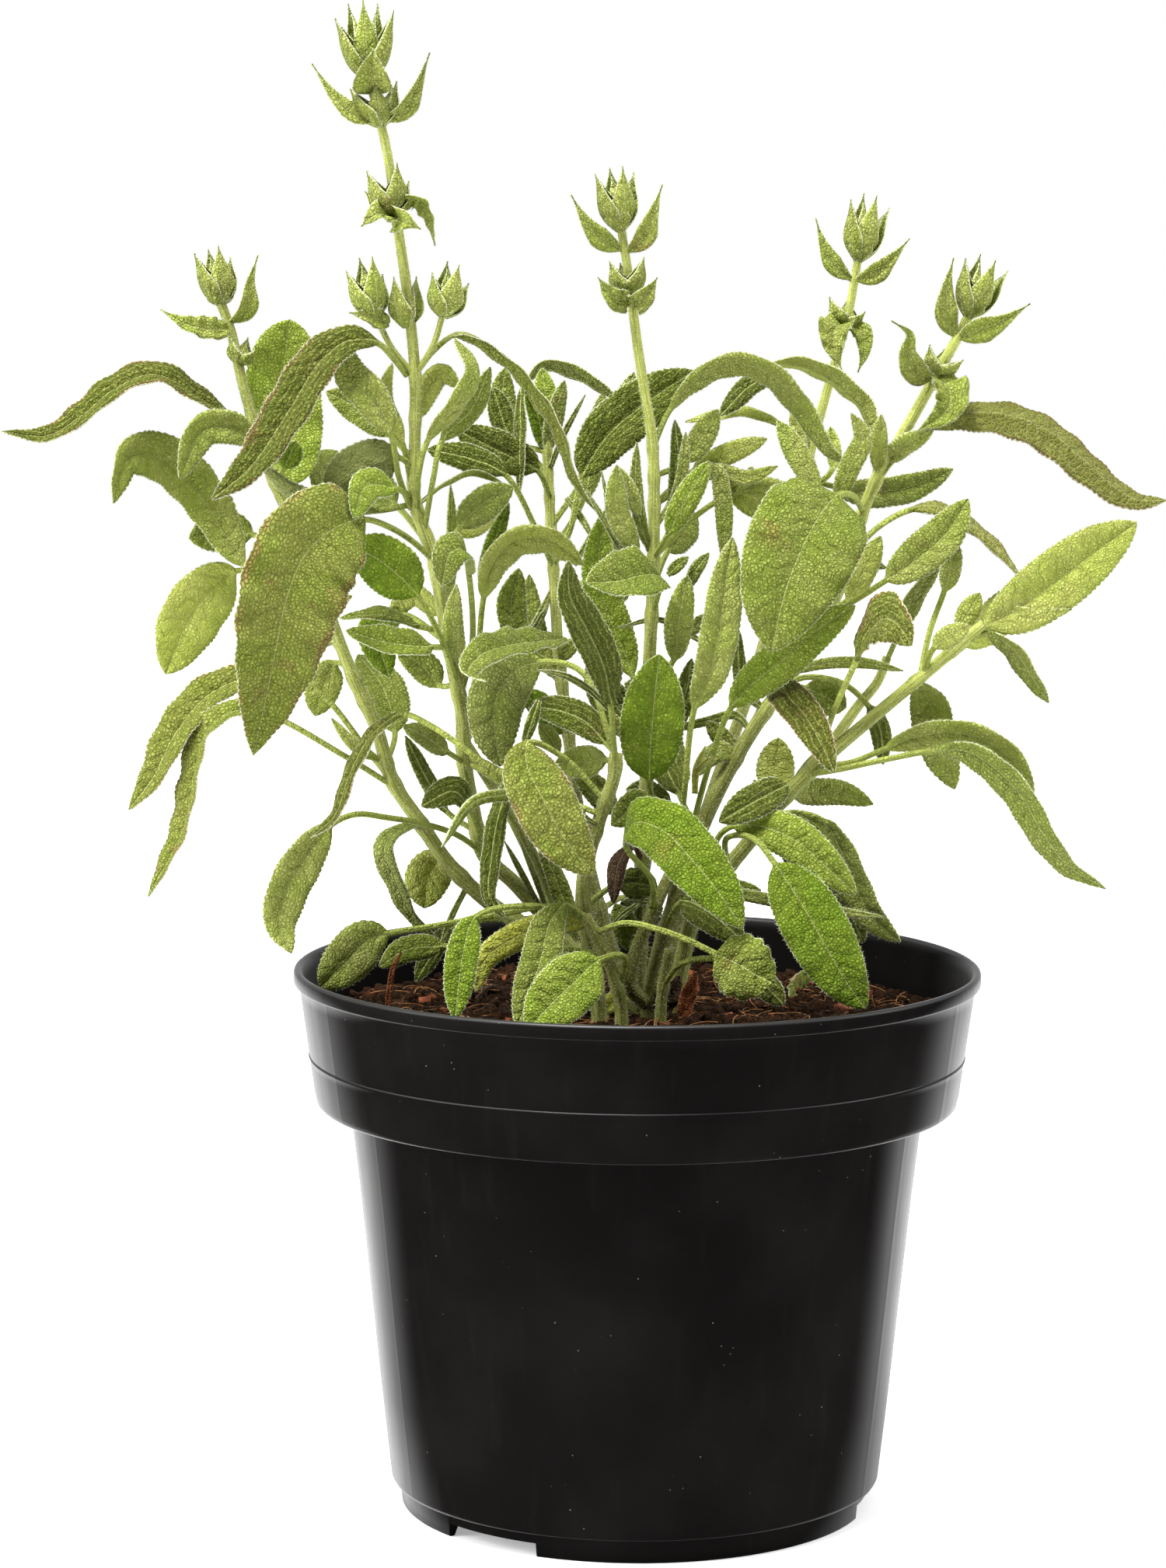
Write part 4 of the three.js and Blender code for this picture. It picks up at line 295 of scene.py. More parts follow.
        [2, 6.5, 30, 0, 0, "k", [[41.5, 262, -24], [38, 274, -21], [33, 280.5, -19], [27, 278.5, -18],
         [19.5, 271, -18]]],
        [1, 4.5, 50, 0, 0, "w", [[41, 260, -24], [35, 268, -24], [26, 272, -23], [11, 269.5, -21]]],
        [1, 6.5, 15, 0, 0, "p", [[39, 249, -24], [43, 252.5, -20], [40, 259, -19], [33.5, 270, -19]]],
        [1, 4, 0, 0, 0, "w", [[39.5, 252, -24], [47, 258, -20], [46.5, 268.5, -18]]],
        [1, 8, 15, 0, 0.2, "g", [[40, 256, -24], [47, 254, -23], [55, 252.5, -22], [66, 253.8, -21],
         [76.5, 258.3, -20]]],
        [1, 13, 10, 0, 0.2, "k", [[15, 168, -18], [10, 178, -30], [5, 190, -42], [5, 204, -50]]],
        [1, 14, 0, 0, 0.2, "d", [[27, 203, -22], [33, 212, -34], [38, 222, -44], [38, 234, -50]]],
        [1, 11, 10, 0, 0.2, "w", [[36.5, 238, -24], [42, 241, -36], [46, 230, -48]]],
        [1, 11, 0, 0, 0.2, "d", [[38.5, 248, -24], [34, 248, -38], [30, 236, -50]]],
    ],
    "right_stem": [
        [2, 11, 140, 0, 0.35, "u", [[57.5, 255, -8], [63.5, 262.4, -7], [70, 268.1, -6], [80, 271.6, -5],
         [90, 271.3, -4], [99.5, 267.5, -4], [107.5, 261.1, -4], [114.5, 255, -4], [121, 251.1, -4],
         [128.5, 250.8, -4]]],
        [0, 4.5, 0, 0, 0, "w", [[58.5, 257, -8], [58.3, 264, -4], [58.8, 271.5, -2]]],
        [0, 5.5, 20, 0, 0, "p", [[60, 260, -8], [64.5, 264, -3], [71.5, 267.7, 0]]],
        [1, 8, 125, 0, 0.3, "w", [[57.5, 255.5, -8], [57.5, 265, -13], [54.5, 273, -15], [48, 279, -16],
         [40, 283, -17], [31.5, 284, -17]]],
        [1, 5.5, 0, 0, 0, "p", [[54, 246, -8], [48.8, 250, -2], [51, 258, 0], [54.3, 266, 0],
         [51.5, 271.8, 0]]],
        [2, 27.5, 0, 0, 0.1, "d", [[54.6, 248, -8], [52, 251.8, 3], [48, 251.5, 13], [43.5, 246, 21],
         [39, 237, 26], [35.5, 227, 29], [32.5, 213.3, 30]]],
        [3, 7, 118, 0, 0, "u", [[50.3, 233, -6], [53, 238, -2], [58, 243.7, 2], [66, 248.2, 4],
         [73, 248.6, 4], [80.5, 244.7, 3], [87, 239.5, 3], [93, 232.3, 4]]],
        [2, 10.5, -10, 0, 0.3, "p", [[46, 223, -5], [52, 225.5, 4], [60.5, 231, 8], [68, 236.3, 9],
         [75, 242.7, 9], [80.3, 251, 9]]],
        [1, 6.5, 0, 0, 0, "w", [[46.5, 223.5, -5], [51, 226, -1], [55, 233.5, 1], [59, 241.8, 2]]],
        [1, 9, 0, 0, 0.2, "u", [[34.8, 204, -3], [32.8, 205.5, 8], [36.5, 202.3, 18], [41, 197.3, 24],
         [45, 190.5, 28], [48.3, 183.3, 30]]],
        [0, 3, 0, 0, 0, "p", [[37.5, 208, -3], [45, 210.3, -3], [55, 210.6, -3], [65, 208.7, -2]]],
        [3, 5.2, 0, 0, 0, "k", [[35, 204.5, -3], [41, 207, 0], [50, 205.6, 3], [56.5, 200, 4],
         [59.5, 194, 4], [60.3, 185.5, 5]]],
        [1, 9.5, 0, 0, 0.2, "d", [[35.5, 205, -3], [41, 204.3, -8], [46, 202, -11], [51, 199.5, -12]]],
        [0, 5.5, 20, 0, 0, "p", [[24.5, 186.5, 1], [20.5, 188.5, 3], [17, 186.5, 3], [14.8, 182.5, 3]]],
        [0, 4, 20, 0, 0, "k", [[30.5, 199, -1], [26, 204, -3], [24.5, 211, -4], [24.6, 218.5, -4]]],
        [1, 9.5, 0, 0, 0.15, "k", [[6.5, 143.5, 9.5], [11, 151, 17], [16.5, 149.3, 24], [21.5, 145.5, 28],
         [26.5, 141, 30]]],
        [3, 9.5, 10, 0, 0.2, "p", [[7.6, 157, 11.5], [10.3, 166, 16], [11.4, 178, 20], [13.7, 199, 23],
         [17.5, 208, 25], [20, 220, 25], [21.2, 231, 24], [22.8, 241.3, 22]]],
        [3, 10.5, -5, 0, 0.2, "b", [[10, 153, 9], [13.8, 171, 13], [18.5, 188.5, 14], [22.8, 199.5, 16],
         [28, 205.3, 17], [35, 211, 18], [43, 218, 18], [53, 224.7, 15]]],
        [2, 15, -10, 0, 0.15, "v", [[3.2, 146.5, 14], [3.6, 156, 18], [-3, 165, 25], [-0.5, 170.8, 31],
         [6.5, 168.6, 35], [13, 162, 38.5], [20, 153.5, 41], [26, 144.5, 43]]],
    ],
    "far_right_stem": [
        [1, 15, 0, 0, 0.2, "w", [[78, 214.5, 15], [84.8, 219.6, 15], [93, 224.2, 14], [102.5, 231.2, 13],
         [112, 238.7, 12], [121.5, 245.5, 11]]],
        [1, 5.5, 0, 0, 0, "w", [[77, 213.8, 15], [78.5, 219, 12], [83.5, 228, 11]]],
        [1, 5.5, 0, 0, 0, "w", [[70, 208, 14], [72.5, 214.5, 18], [81, 220, 19]]],
        [1, 6.5, 45, 0, 0.3, "g", [[80, 216, 15], [85, 218, 15], [91.5, 214.5, 15], [97, 206.7, 15],
         [100.8, 201, 15]]],
        [1, 5.8, 40, 0, 0.2, "g", [[59.5, 208, -15.5], [62.5, 215, -15], [67, 226, -13], [74, 236.5, -12]]],
        [2, 5.5, 20, 0, 0.2, "p", [[69, 207, 14], [71.5, 219, 1], [74.8, 228.5, -6], [76.3, 234.5, -9],
         [77, 241.3, -11]]],
        [2, 13.5, 10, 0, 0.2, "u", [[45.5, 186.5, 11], [46.8, 195, 13], [53.5, 211.3, 20], [56.5, 218, 22],
         [60, 221.5, 27], [63.5, 220, 34], [67, 215, 38]]],
        [0, 10.5, 15, 0, 0.25, "p", [[68, 206, 14], [71, 202, 11], [73.5, 192, 9], [78, 179.5, 9]]],
        [2, 8.5, 28, 0, 0.3, "p", [[44, 185, 11], [52.4, 186, 16], [60.8, 189.4, 18], [68.8, 192.4, 19],
         [76.8, 193.4, 20], [84.8, 191.7, 21], [91.3, 187.4, 21], [94.8, 182.4, 21], [97.3, 175.9, 21]]],
        [3, 8, 30, 45, 0.3, "g", [[42, 183, 11], [49.3, 184.2, 18], [60.6, 186.7, 24], [72.6, 188.9, 26],
         [80.6, 188.8, 27], [88.1, 184.4, 27], [94.6, 177.4, 27], [99.6, 168.9, 27], [106.1, 160.6, 27],
         [115.6, 154.9, 27]]],
        [0, 6.8, 0, 0, 0.2, "p", [[37.5, 178.5, 11], [42, 178.6, 4], [50, 178.4, 1], [58, 175.6, 1]]],
        [1, 8.5, 10, 0, 0.2, "k", [[36.5, 177.5, 11], [36.5, 180, 20], [30, 176.8, 25], [20, 171, 27]]],
        [2, 10.5, 0, 0, 0.15, "b", [[20, 157.5, 7], [19.5, 166.5, 17], [23.5, 170, 22], [31, 169.8, 26],
         [39, 166.5, 29], [46, 160.5, 31], [54, 153.2, 32]]],
        [3, 15.5, 0, 0, 0.15, "v", [[22, 160.5, 7.5], [22, 167, 19], [29, 166.6, 32], [34, 160.5, 38],
         [41, 150, 44], [47, 139.5, 48], [52, 131, 50], [56.8, 124.4, 51]]],
        [2, 9, 25, 0, 0.3, "g", [[29, 168.5, 9], [36.8, 173.3, 14], [45.6, 171.5, 17], [50.1, 164, 18],
         [54.1, 154.5, 19], [58.6, 147, 20], [65.1, 141.3, 21]]],
        [1, 5.8, 0, 0, 0, "d", [[32, 172, 10], [41, 172, 11], [47.5, 167, 12], [53.5, 154, 13]]],
        [1, 9.5, 0, 0, 0.15, "w", [[31.5, 171.5, 9.5], [33.5, 178, -1], [33.8, 184.5, -6],
         [34.5, 192, -8]]],
        [0, 3.2, 0, 0, 0, "p", [[17.5, 154.5, 6], [28, 152.5, 16], [45, 149.5, 22], [61, 147.5, 25]]],
        [2, 6.5, 0, 0, 0, "k", [[16, 151.5, 5], [30, 152, 8], [46, 151.5, 10], [52, 148.5, 11],
         [56, 141, 12]]],
        [1, 10, 10, 0, 0.2, "w", [[70, 208, 14.3], [80, 215, -2], [90, 224, -12], [102, 232, -20]]],
        [1, 11, 10, 0, 0.2, "d", [[30, 169, 9.5], [37, 165, -6], [44, 160, -18], [48, 150, -28]]],
    ],
    "low_front_shoot": [
        [2, 14.5, 0, 0, 0.12, "b", [[-4.5, 129, 25.5], [-3, 137, 29], [-9.5, 136.3, 37], [-15, 131.3, 43],
         [-20.5, 126, 49], [-27.5, 118.5, 56]]],
        [1, 9.5, 10, 0, 0.15, "d", [[-12.5, 146.5, 28], [-17.5, 150, 30], [-21.5, 146, 34], [-24, 136, 41],
         [-27, 127.5, 47], [-29.7, 119, 53]]],
        [0, 7, 0, 0, 0, "y", [[-12, 145.5, 28], [-22, 145, 27], [-31, 141.5, 28], [-37.5, 136.5, 30],
         [-40, 128, 32]]],
        [2, 8, 0, 0, 0.2, "v", [[-13, 147, 28], [-26, 149.8, 30], [-40, 147, 37], [-43, 139, 42],
         [-44.3, 130, 46], [-45.2, 121, 50]]],
        [4, 12, 0, 0, 0.15, "p", [[-13, 147.5, 28], [-21.6, 149.6, 25], [-34.2, 147.6, 20],
         [-49.2, 144.8, 17], [-61.7, 142.6, 15], [-66.7, 141.1, 14], [-72.2, 135.6, 13],
         [-78.7, 128.9, 12]]],
        [3, 7, 20, 0, 0, "d", [[-8, 137.5, 28], [-25, 140, 18], [-38, 139.5, 13], [-48, 139.5, 9],
         [-57, 138.7, 8], [-64, 134.3, 8]]],
        [4, 15.5, 0, 0, 0.1, "d", [[-10.5, 143, 28], [-3, 145.6, 32], [6, 143.8, 35], [13, 141.2, 38],
         [19.5, 138, 40], [25, 135.5, 42], [29.5, 132.8, 44], [34, 130.5, 45]]],
    ],
    "low_right_shoot": [
        [3, 6.5, 0, 0, 0, "k", [[6.5, 130, 20.5], [11, 135.5, 26], [20, 136.7, 31], [28, 133.5, 34],
         [32, 130, 36], [36.5, 125.3, 38]]],
    ],
}

# Small leaves under the buds by their stem: width, turn from face-on, route from the stem to the tip.
BRACTS = {
    "far_left_stem": [
        [6, 20, [[-100, 292, -6], [-103.5, 291.4, -3], [-111, 292.9, 0], [-117, 296.2, 0]]],
        [5, 20, [[-100.5, 293, -6], [-96.1, 296.5, -4], [-95.2, 303, -3], [-93.2, 309.6, -3]]],
    ],
    "tall_stem": [
        [8.5, 0, [[-65, 348.8, 8], [-65.3, 353.2, 12.5], [-65, 359.4, 13.5]]],
        [5, 30, [[-63.5, 342, 8], [-69.5, 343.1, 10], [-74, 346.9, 11], [-80, 355.6, 11]]],
        [5, 30, [[-63.7, 342, 8], [-57.7, 344.7, 9], [-54.4, 350.4, 9], [-51.4, 358.4, 9]]],
        [6.5, 20, [[-60.5, 319, 8], [-64.5, 319.5, 13], [-68, 316.5, 14]]],
        [6.5, 20, [[-60.3, 318.5, 8], [-57, 318, 13], [-53.5, 316, 14]]],
        [4.5, 30, [[-60.5, 321, 8], [-55, 323.3, 8], [-52, 320, 7], [-50, 312, 6]]],
        [5, 10, [[-61.3, 293, 9], [-66, 294.8, 12], [-71, 295.7, 13]]],
    ],
    "centre_stem": [
        [5.5, 10, [[-4.2, 311, -3], [-9.8, 313.7, -1], [-13.1, 317.4, 0], [-17.1, 324.4, 0]]],
        [5.5, 10, [[-4, 310.5, -3], [0.3, 313.8, -2], [2.6, 319.5, -1], [5.1, 327, -1]]],
        [6, 10, [[-2.6, 299, -3], [-6.5, 299.5, 1], [-10.5, 304.5, 2]]],
        [6, 10, [[-2.6, 299, -3], [0.5, 299.5, 1], [4, 304.5, 2]]],
    ],
    "right_rear_stem": [
        [5, 10, [[51.5, 304, -24], [46.9, 307.5, -22], [44.3, 312.5, -21], [42.3, 319, -21]]],
        [5.5, 10, [[51.7, 304, -24], [56.6, 305.6, -22], [60.7, 309.2, -21], [65.2, 314.2, -21]]],
        [8.5, 0, [[49.8, 293, -24], [47.5, 292.7, -19], [47, 288, -17], [49, 282.3, -17]]],
        [5, 0, [[50, 294, -24], [54, 291, -22], [54.5, 286.5, -21], [53, 281.7, -21]]],
    ],
    "right_stem": [
        [6, 10, [[77, 290, -8], [74.3, 295.3, -6], [74.4, 302.6, -5], [75.9, 309.6, -5]]],
        [6.5, 10, [[77, 290, -8], [81.6, 291.8, -5], [87.2, 293.9, -4], [94.7, 298.6, -4]]],
        [6.5, 10, [[71.7, 280.5, -8], [67.5, 281.5, -4], [65, 286.5, -2], [65.5, 291, -1], [61, 294.3, 0]]],
        [9, 0, [[72, 281, -8], [75.5, 277, -3], [74.5, 272.5, -1], [67, 267, 0]]],
    ],
}

# Clusters of flower buds by their stem: where they sit, then where each bud's tip is seen.
BUDS = {
    "far_left_stem": [
        [[-102, 297.5, -6], [[-108.5, 310], [-105.3, 311], [-102.9, 311.8], [-100, 309], [-106, 301.5],
         [-99.5, 302]]],
        [[-98, 283, -6], [[-99.8, 289.6], [-95.7, 289.6], [-94, 286.5]]],
    ],
    "tall_stem": [
        [[-66, 351.5, 8], [[-74, 366.5], [-71, 370], [-67.5, 371], [-64, 370], [-60.3, 368.5],
         [-67, 365.5]]],
        [[-63.3, 340.5, 8], [[-70.5, 350], [-59.5, 351.5], [-64.5, 351]]],
        [[-60.6, 319.5, 8], [[-66.5, 330], [-67, 325], [-59.5, 332], [-56.5, 327.5]]],
        [[-65, 294.5, 10], [[-71.5, 306], [-68.5, 309], [-65.5, 309.3], [-63, 305]]],
        [[-48, 294.5, 10], [[-50.5, 305.5], [-47, 308.3], [-44.3, 307.5], [-42, 303]]],
        [[-57, 292, 8], [[-60, 304.5], [-54.7, 304.5]]],
    ],
    "centre_stem": [
        [[-5, 315.5, -3], [[-11, 329.5], [-7.7, 331], [-4.7, 331.3], [-2, 330], [-6.5, 325]]],
        [[-3, 300, -3], [[-7.5, 308.5], [-5, 308], [0.5, 309.5]]],
    ],
    "right_rear_stem": [
        [[52.7, 308.5, -24], [[51, 323.5], [54, 325], [57, 324.5], [60, 321.5], [54.5, 318]]],
        [[50, 292.5, -24], [[46, 300], [50.5, 300], [54.5, 296.5]]],
    ],
    "right_stem": [
        [[79.5, 295, -8], [[79, 309.5], [82.5, 310.5], [86, 309], [89, 306.5], [83, 303.5]]],
        [[72, 281, -8], [[70.5, 288.5], [74, 287.5], [78.5, 285]]],
    ],
}

# Each second limb of a stem and each stalk of its side buds, with the same values as the stems.
LIMBS = {
    "tall_stem": [
        [4.4, 3, [[-13.5, 134, -7], [-16, 140, -8.5], [-18.6, 145.5, -9.5], [-22.5, 155, -10],
         [-26.5, 163, -9], [-31, 172, -5], [-36, 180, 0], [-42.5, 190, 5]]],
        [1.6, 1.5, [[-55, 280.5, 8], [-60.5, 287, 9], [-65, 296, 10]]],
        [1.6, 1.5, [[-55, 280.5, 8], [-50.5, 288, 9], [-48, 296, 10]]],
    ],
    "right_stem": [
        [4.4, 3, [[2.5, 125.5, 10], [-1.5, 129.5, 12.5], [-1.6, 133, 13.5], [0.1, 139.7, 14],
         [3.4, 147.1, 14], [7.1, 156, 12], [10.5, 162.5, 9], [14, 168, 6.5]]],
    ],
    "far_right_stem": [
        [3.4, 2.4, [[37.5, 178, 10.5], [42, 185, 1], [48, 191.5, -6], [54, 200, -12], [58.7, 206, -15],
         [61, 212, -16]]],
    ],
}
# End of the readings

# Small leaves and stubs, too slight for the solids, with the same values as the leaves.
EXTRAS = {
    "tall_stem": [
        [0, 4, 30, 0, 0.3, "w", [[-42.5, 186, 5], [-38, 184.5, 9], [-33, 181, 11], [-30.5, 178, 11]]],
        [0, 1.7, 0, 0, 0, "g", [[-24.5, 150, -4], [-29, 158.5, 0], [-33, 166, 3]]],
        [0, 1.6, 0, 0, 0, "g", [[-22.5, 149, -4], [-26, 158.5, 1], [-29.5, 167, 4]]],
        [0, 1.6, 30, 0, 0, "k", [[3, 152, 0], [-3, 148, 2], [-9, 142, 4]]],
        [0, 6, 0, 0, 0.1, "w", [[-49, 222, 2], [-55.5, 227, -2], [-61.5, 220.5, -3]]],
        [0, 3, 0, 0, 0, "p", [[-47.5, 222, 4], [-46, 235, 0], [-46, 246, -2], [-46.3, 254, -2]]],
    ],
    "far_left_stem": [
        [0, 1.6, 0, 0, 0, "p", [[-42.5, 154, 1], [-46, 147, 3], [-49, 139, 4]]],
        [0, 3, 20, 0, 0.3, "y", [[-76, 223, -5], [-73, 225.5, -4], [-70.5, 226.5, -4]]],
    ],
    "front_stem": [
        [0, 3, 0, 0, 0, "k", [[-24.5, 201, 20], [-26.5, 195, 21], [-28.5, 189.3, 21]]],
        [0, 4.4, 0, 0, 0.2, "p", [[-19.7, 188, 11], [-22, 192, 11], [-24.5, 195, 11]]],
        [0, 1.8, 0, 0, 0, "k", [[-7.5, 199, 29], [-12, 203.5, 31], [-18, 207, 33], [-25, 208.5, 34]]],
    ],
    "centre_stem": [
        [0, 1.6, 0, 0, 0, "k", [[2.7, 151, 1], [-0.5, 151.4, 3], [-3.6, 151.2, 4]]],
        [0, 6, 0, 0, 0.1, "k", [[8, 175, -4], [2, 178.5, -5], [-3, 179, -6]]],
        [0, 3.6, 0, 0, 0.1, "k", [[-2.4, 198.4, 3], [-4, 202, 4], [-6.2, 206, 4]]],
        [0, 1.7, 0, 0, 0, "d", [[-1.3, 232.2, 2], [-7, 242.5, 4], [-13, 252.6, 4]]],
        [0, 1.5, 0, 0, 0, "g", [[-5, 233.3, 3], [-7, 245.5, 4], [-9.4, 257.5, 5]]],
        [0, 4, 0, 0, 0.2, "p", [[-0.2, 246.5, 2], [-2.5, 252.5, 3], [-5.3, 258.5, 3]]],
        [1, 4, 0, 0, 0.2, "k", [[3.3, 243, -2], [7.5, 250, -4], [9.3, 260, -6], [8.5, 270, -7]]],
        [0, 3, 0, 0, 0.1, "p", [[7.5, 249, -4], [10.2, 256, -3], [11.2, 267, -3]]],
        [1, 4, 0, 0, 0.2, "w", [[3.2, 249, -3], [13, 255, -10], [19, 257.5, -12], [26, 256, -12],
         [33.7, 258.8, -12]]],
        [0, 3.4, 0, 0, 0.1, "w", [[27, 258.5, -14], [29, 253, -15], [32.5, 247, -16]]],
        [0, 1.5, 0, 0, 0, "k", [[15, 216, -4], [5, 221, -4], [-5, 219, -5]]],
        [0, 3.4, 0, 0, 0.2, "o", [[12.4, 217.5, 4], [14.5, 220, 4], [16.8, 222.5, 4]]],
        [0, 3.4, 0, 40, 0.3, "d", [[12, 229, 5], [14, 233.5, 7], [17, 237.5, 6]]],
        [0, 3, 0, 40, 0.3, "d", [[7, 232, 3], [9.5, 234.5, 4], [12, 236.5, 3]]],
    ],
    "rear_stem": [
        [0, 7, 0, 0, 0.1, "k", [[-6, 173, -16], [-11, 179.5, -14], [-16, 183, -14]]],
        [0, 1.8, 0, 0, 0, "g", [[-21, 229, -19], [-24.5, 222, -17], [-28, 216, -16]]],
        [0, 1.8, 0, 0, 0, "k", [[-27.5, 214.5, -16], [-25, 219.5, -16], [-22.2, 224.5, -17]]],
        [0, 3, 0, 0, 0.1, "k", [[-13.6, 222.5, -16], [-14.6, 226, -15], [-16, 230.5, -15]]],
        [0, 4, 0, 0, 0.1, "p", [[-19.5, 211, -18], [-17, 214, -15], [-14, 217, -14]]],
        [0, 1.8, 0, 0, 0, "d", [[-17.9, 250.8, -18], [-14, 245.5, -15], [-11.2, 240.4, -13]]],
        [0, 1.8, 0, 0, 0, "d", [[-16, 234.4, -17], [-12, 241, -15], [-7.9, 247.8, -14]]],
        [0, 1.6, 0, 0, 0, "k", [[-22, 258, -19], [-18.6, 266.4, -18], [-13.4, 276, -17]]],
    ],
    "right_stem": [
        [0, 2.4, 0, 0, 0, "g", [[28.5, 192, -1], [24, 197.5, -4], [17, 196, -6], [10.5, 194.4, -6],
         [4, 193, -5]]],
        [0, 5, 0, 0, 0.2, "o", [[24, 188, 0], [20, 192.5, -2], [16.8, 196, -3]]],
        [0, 1.8, 0, 0, 0, "y", [[14, 178, 15], [14.3, 184, 16], [16.5, 189.8, 17]]],
        [0, 1.5, 0, 0, 0, "y", [[14.3, 183.5, 16], [16.4, 185.8, 17], [18.4, 187.2, 17]]],
        [0, 3, 0, 0, 0.1, "k", [[51, 233, -6], [56.5, 235, -4], [60.5, 234, -3]]],
    ],
    "far_right_stem": [
        [0, 4.4, 0, 0, 0.1, "d", [[32, 172, 10], [30.7, 177, 12], [28.5, 181.5, 13]]],
        [0, 3.8, 0, 0, 0.1, "d", [[18, 155, 6], [24, 154.8, 9], [30.5, 154, 12]]],
        [0, 3, 0, 0, 0.3, "w", [[90, 224.5, 14], [98, 222.5, 15], [106, 224, 16]]],
    ],
    "right_rear_stem": [
        [0, 6.5, 0, 0, 0.2, "p", [[39.5, 251, -24], [36, 252, -22], [33, 249, -22]]],
        [0, 4, 0, 0, 0.1, "w", [[40.5, 258, -24], [39, 264, -22], [37, 273, -21]]],
    ],
}

# Fallen leaves and scraps: width, turn, fold, tone, route.
LITTER = [
    [8, 0, 0.3, "o", [[38, 127, -22], [42, 130, -40], [47, 133, -58]]],
    [6, 20, 0.5, "x", [[6, 121, 2], [4.5, 127, 0], [8, 133, -3]]],
    [5, 10, 0.3, "y", [[-9, 123, 6], [-5, 126.5, 5], [-1, 128.5, 3]]],
    [4, 20, 0.5, "x", [[-40, 126, -18], [-37, 128, -26], [-34, 128.8, -34]]],
    [4, 10, 0.4, "r", [[11, 120, 12], [12.5, 127, 12], [14.7, 133.5, 12]]],
    [5.5, 25, 0.6, "x", [[5, 121.5, 9], [7.5, 127, 10], [10.5, 132.5, 9]]],
    [1.5, 0, 0, "r", [[-62, 123, 12], [-61.5, 128, 13], [-60.5, 134, 14], [-58.5, 138, 14]]],
]

# How pale each stem's rind is painted at its top and at its foot: partly the stem's own darker
# foot, and partly painted shade low down and on the inner stems and painted light high up on the
# outer ones.
STEM_PAINTED_SHADES = {
    "far_left_stem": (0.8, 0.85), "tall_stem": (1.05, 0.75), "centre_stem": (1.1, 0.45),
    "rear_stem": (1.0, 0.3), "right_rear_stem": (1.2, 0.25), "right_stem": (1.25, 0.35),
    "far_right_stem": (1.3, 0.65), "front_stem": (0.8, 0.7), "low_front_shoot": (0.6, 0.6),
    "low_right_shoot": (0.45, 0.45),
}
# The palest value, at which painted light makes the rind brighter than its own colour.
STEM_PAINTED_PALEST = 1.3


class Tone(Enum):
    """The kinds of leaf colour."""

    # Tones are partly the leaves' own colours and partly painted light and shade, given as darker tones for
    # leaves in shade and paler ones for leaves in light.
    DULL = "d"
    BRIGHT = "b"
    VIVID = "v"
    PALE = "p"
    WHITISH = "w"
    GREY = "g"
    DARK = "k"
    OLIVE = "o"
    UMBER = "u"
    YELLOW = "y"
    DEAD = "x"
    FRESH = "f"
    RUST = "r"


def paint(colour: Colour, factor: float = 1.0) -> tuple[float, ...]:
    """Makes a linear colour with alpha from one that is read as 0 to 255 on a screen.

    Args:
        colour: its red, green and blue.
        factor: what they are multiplied by first.

    Returns:
        Red, green, blue and alpha from 0 to 1.
    """
    parts = [part * factor / 255.0 for part in colour]
    linear = [part / 12.92 if part <= 0.04045 else ((part + 0.055) / 1.055) ** 2.4 for part in parts]
    return (*linear, 1.0)


def unit(vectors: np.ndarray) -> np.ndarray:
    """The same directions at length one."""
    return vectors / np.maximum(np.linalg.norm(vectors, axis=-1, keepdims=True), 1e-12)


def smooth(low: float, high: float, value: np.ndarray) -> np.ndarray:
    """A soft step from 0 at `low` to 1 at `high`."""
    share = np.clip((value - low) / (high - low), 0.0, 1.0)
    return share * share * (3.0 - 2.0 * share)


class Signal:
    """One socket of a node tree, so that sums on it read as Python sums."""

    def __init__(self, graph: "Graph", socket: bpy.types.NodeSocket) -> None:
        """Wraps `socket` of `graph`."""
        self.graph = graph
        self.socket = socket

    def maths(self, operation: str, left: Any, right: Any = 0.0) -> "Signal":
        """The result of one Math node on two values or signals."""
        return self.graph.node("ShaderNodeMath", {"operation": operation}, {0: left, 1: right})

    def __add__(self, other: Any) -> "Signal":
        """self + other."""
        return self.maths("ADD", self, other)

    def __sub__(self, other: Any) -> "Signal":
        """self - other."""
        return self.maths("SUBTRACT", self, other)

    def __rsub__(self, other: Any) -> "Signal":
        """other - self."""
        return self.maths("SUBTRACT", other, self)

    def __mul__(self, other: Any) -> "Signal":
        """self * other."""
        return self.maths("MULTIPLY", self, other)

    def __truediv__(self, other: Any) -> "Signal":
        """self / other."""
        return self.maths("DIVIDE", self, other)

    def __abs__(self) -> "Signal":
        """The size of self without its sign."""
        return self.maths("ABSOLUTE", self)

    __radd__ = __add__
    __rmul__ = __mul__

    def fraction(self) -> "Signal":
        """What is left of self after its whole part."""
        return self.maths("FRACT", self)

    def at_least(self, other: Any) -> "Signal":
        """The larger of self and other."""
        return self.maths("MAXIMUM", self, other)

    def step(self, low: float, high: float) -> "Signal":
        """Makes a soft step, which falls where `high` is below `low`.

        Args:
            low: where the step is 0.
            high: where it is 1.

        Returns:
            The step of self.
        """
        if low > high:
            return 1.0 - self.step(high, low)
        sockets = {"Value": self, "From Min": low, "From Max": high}
        return self.graph.node("ShaderNodeMapRange", {"interpolation_type": "SMOOTHSTEP"}, sockets)

    def also(self, output: Any) -> "Signal":
        """Another output of the node that self comes from."""
        return Signal(self.graph, Graph.find(self.socket.node.outputs, output))


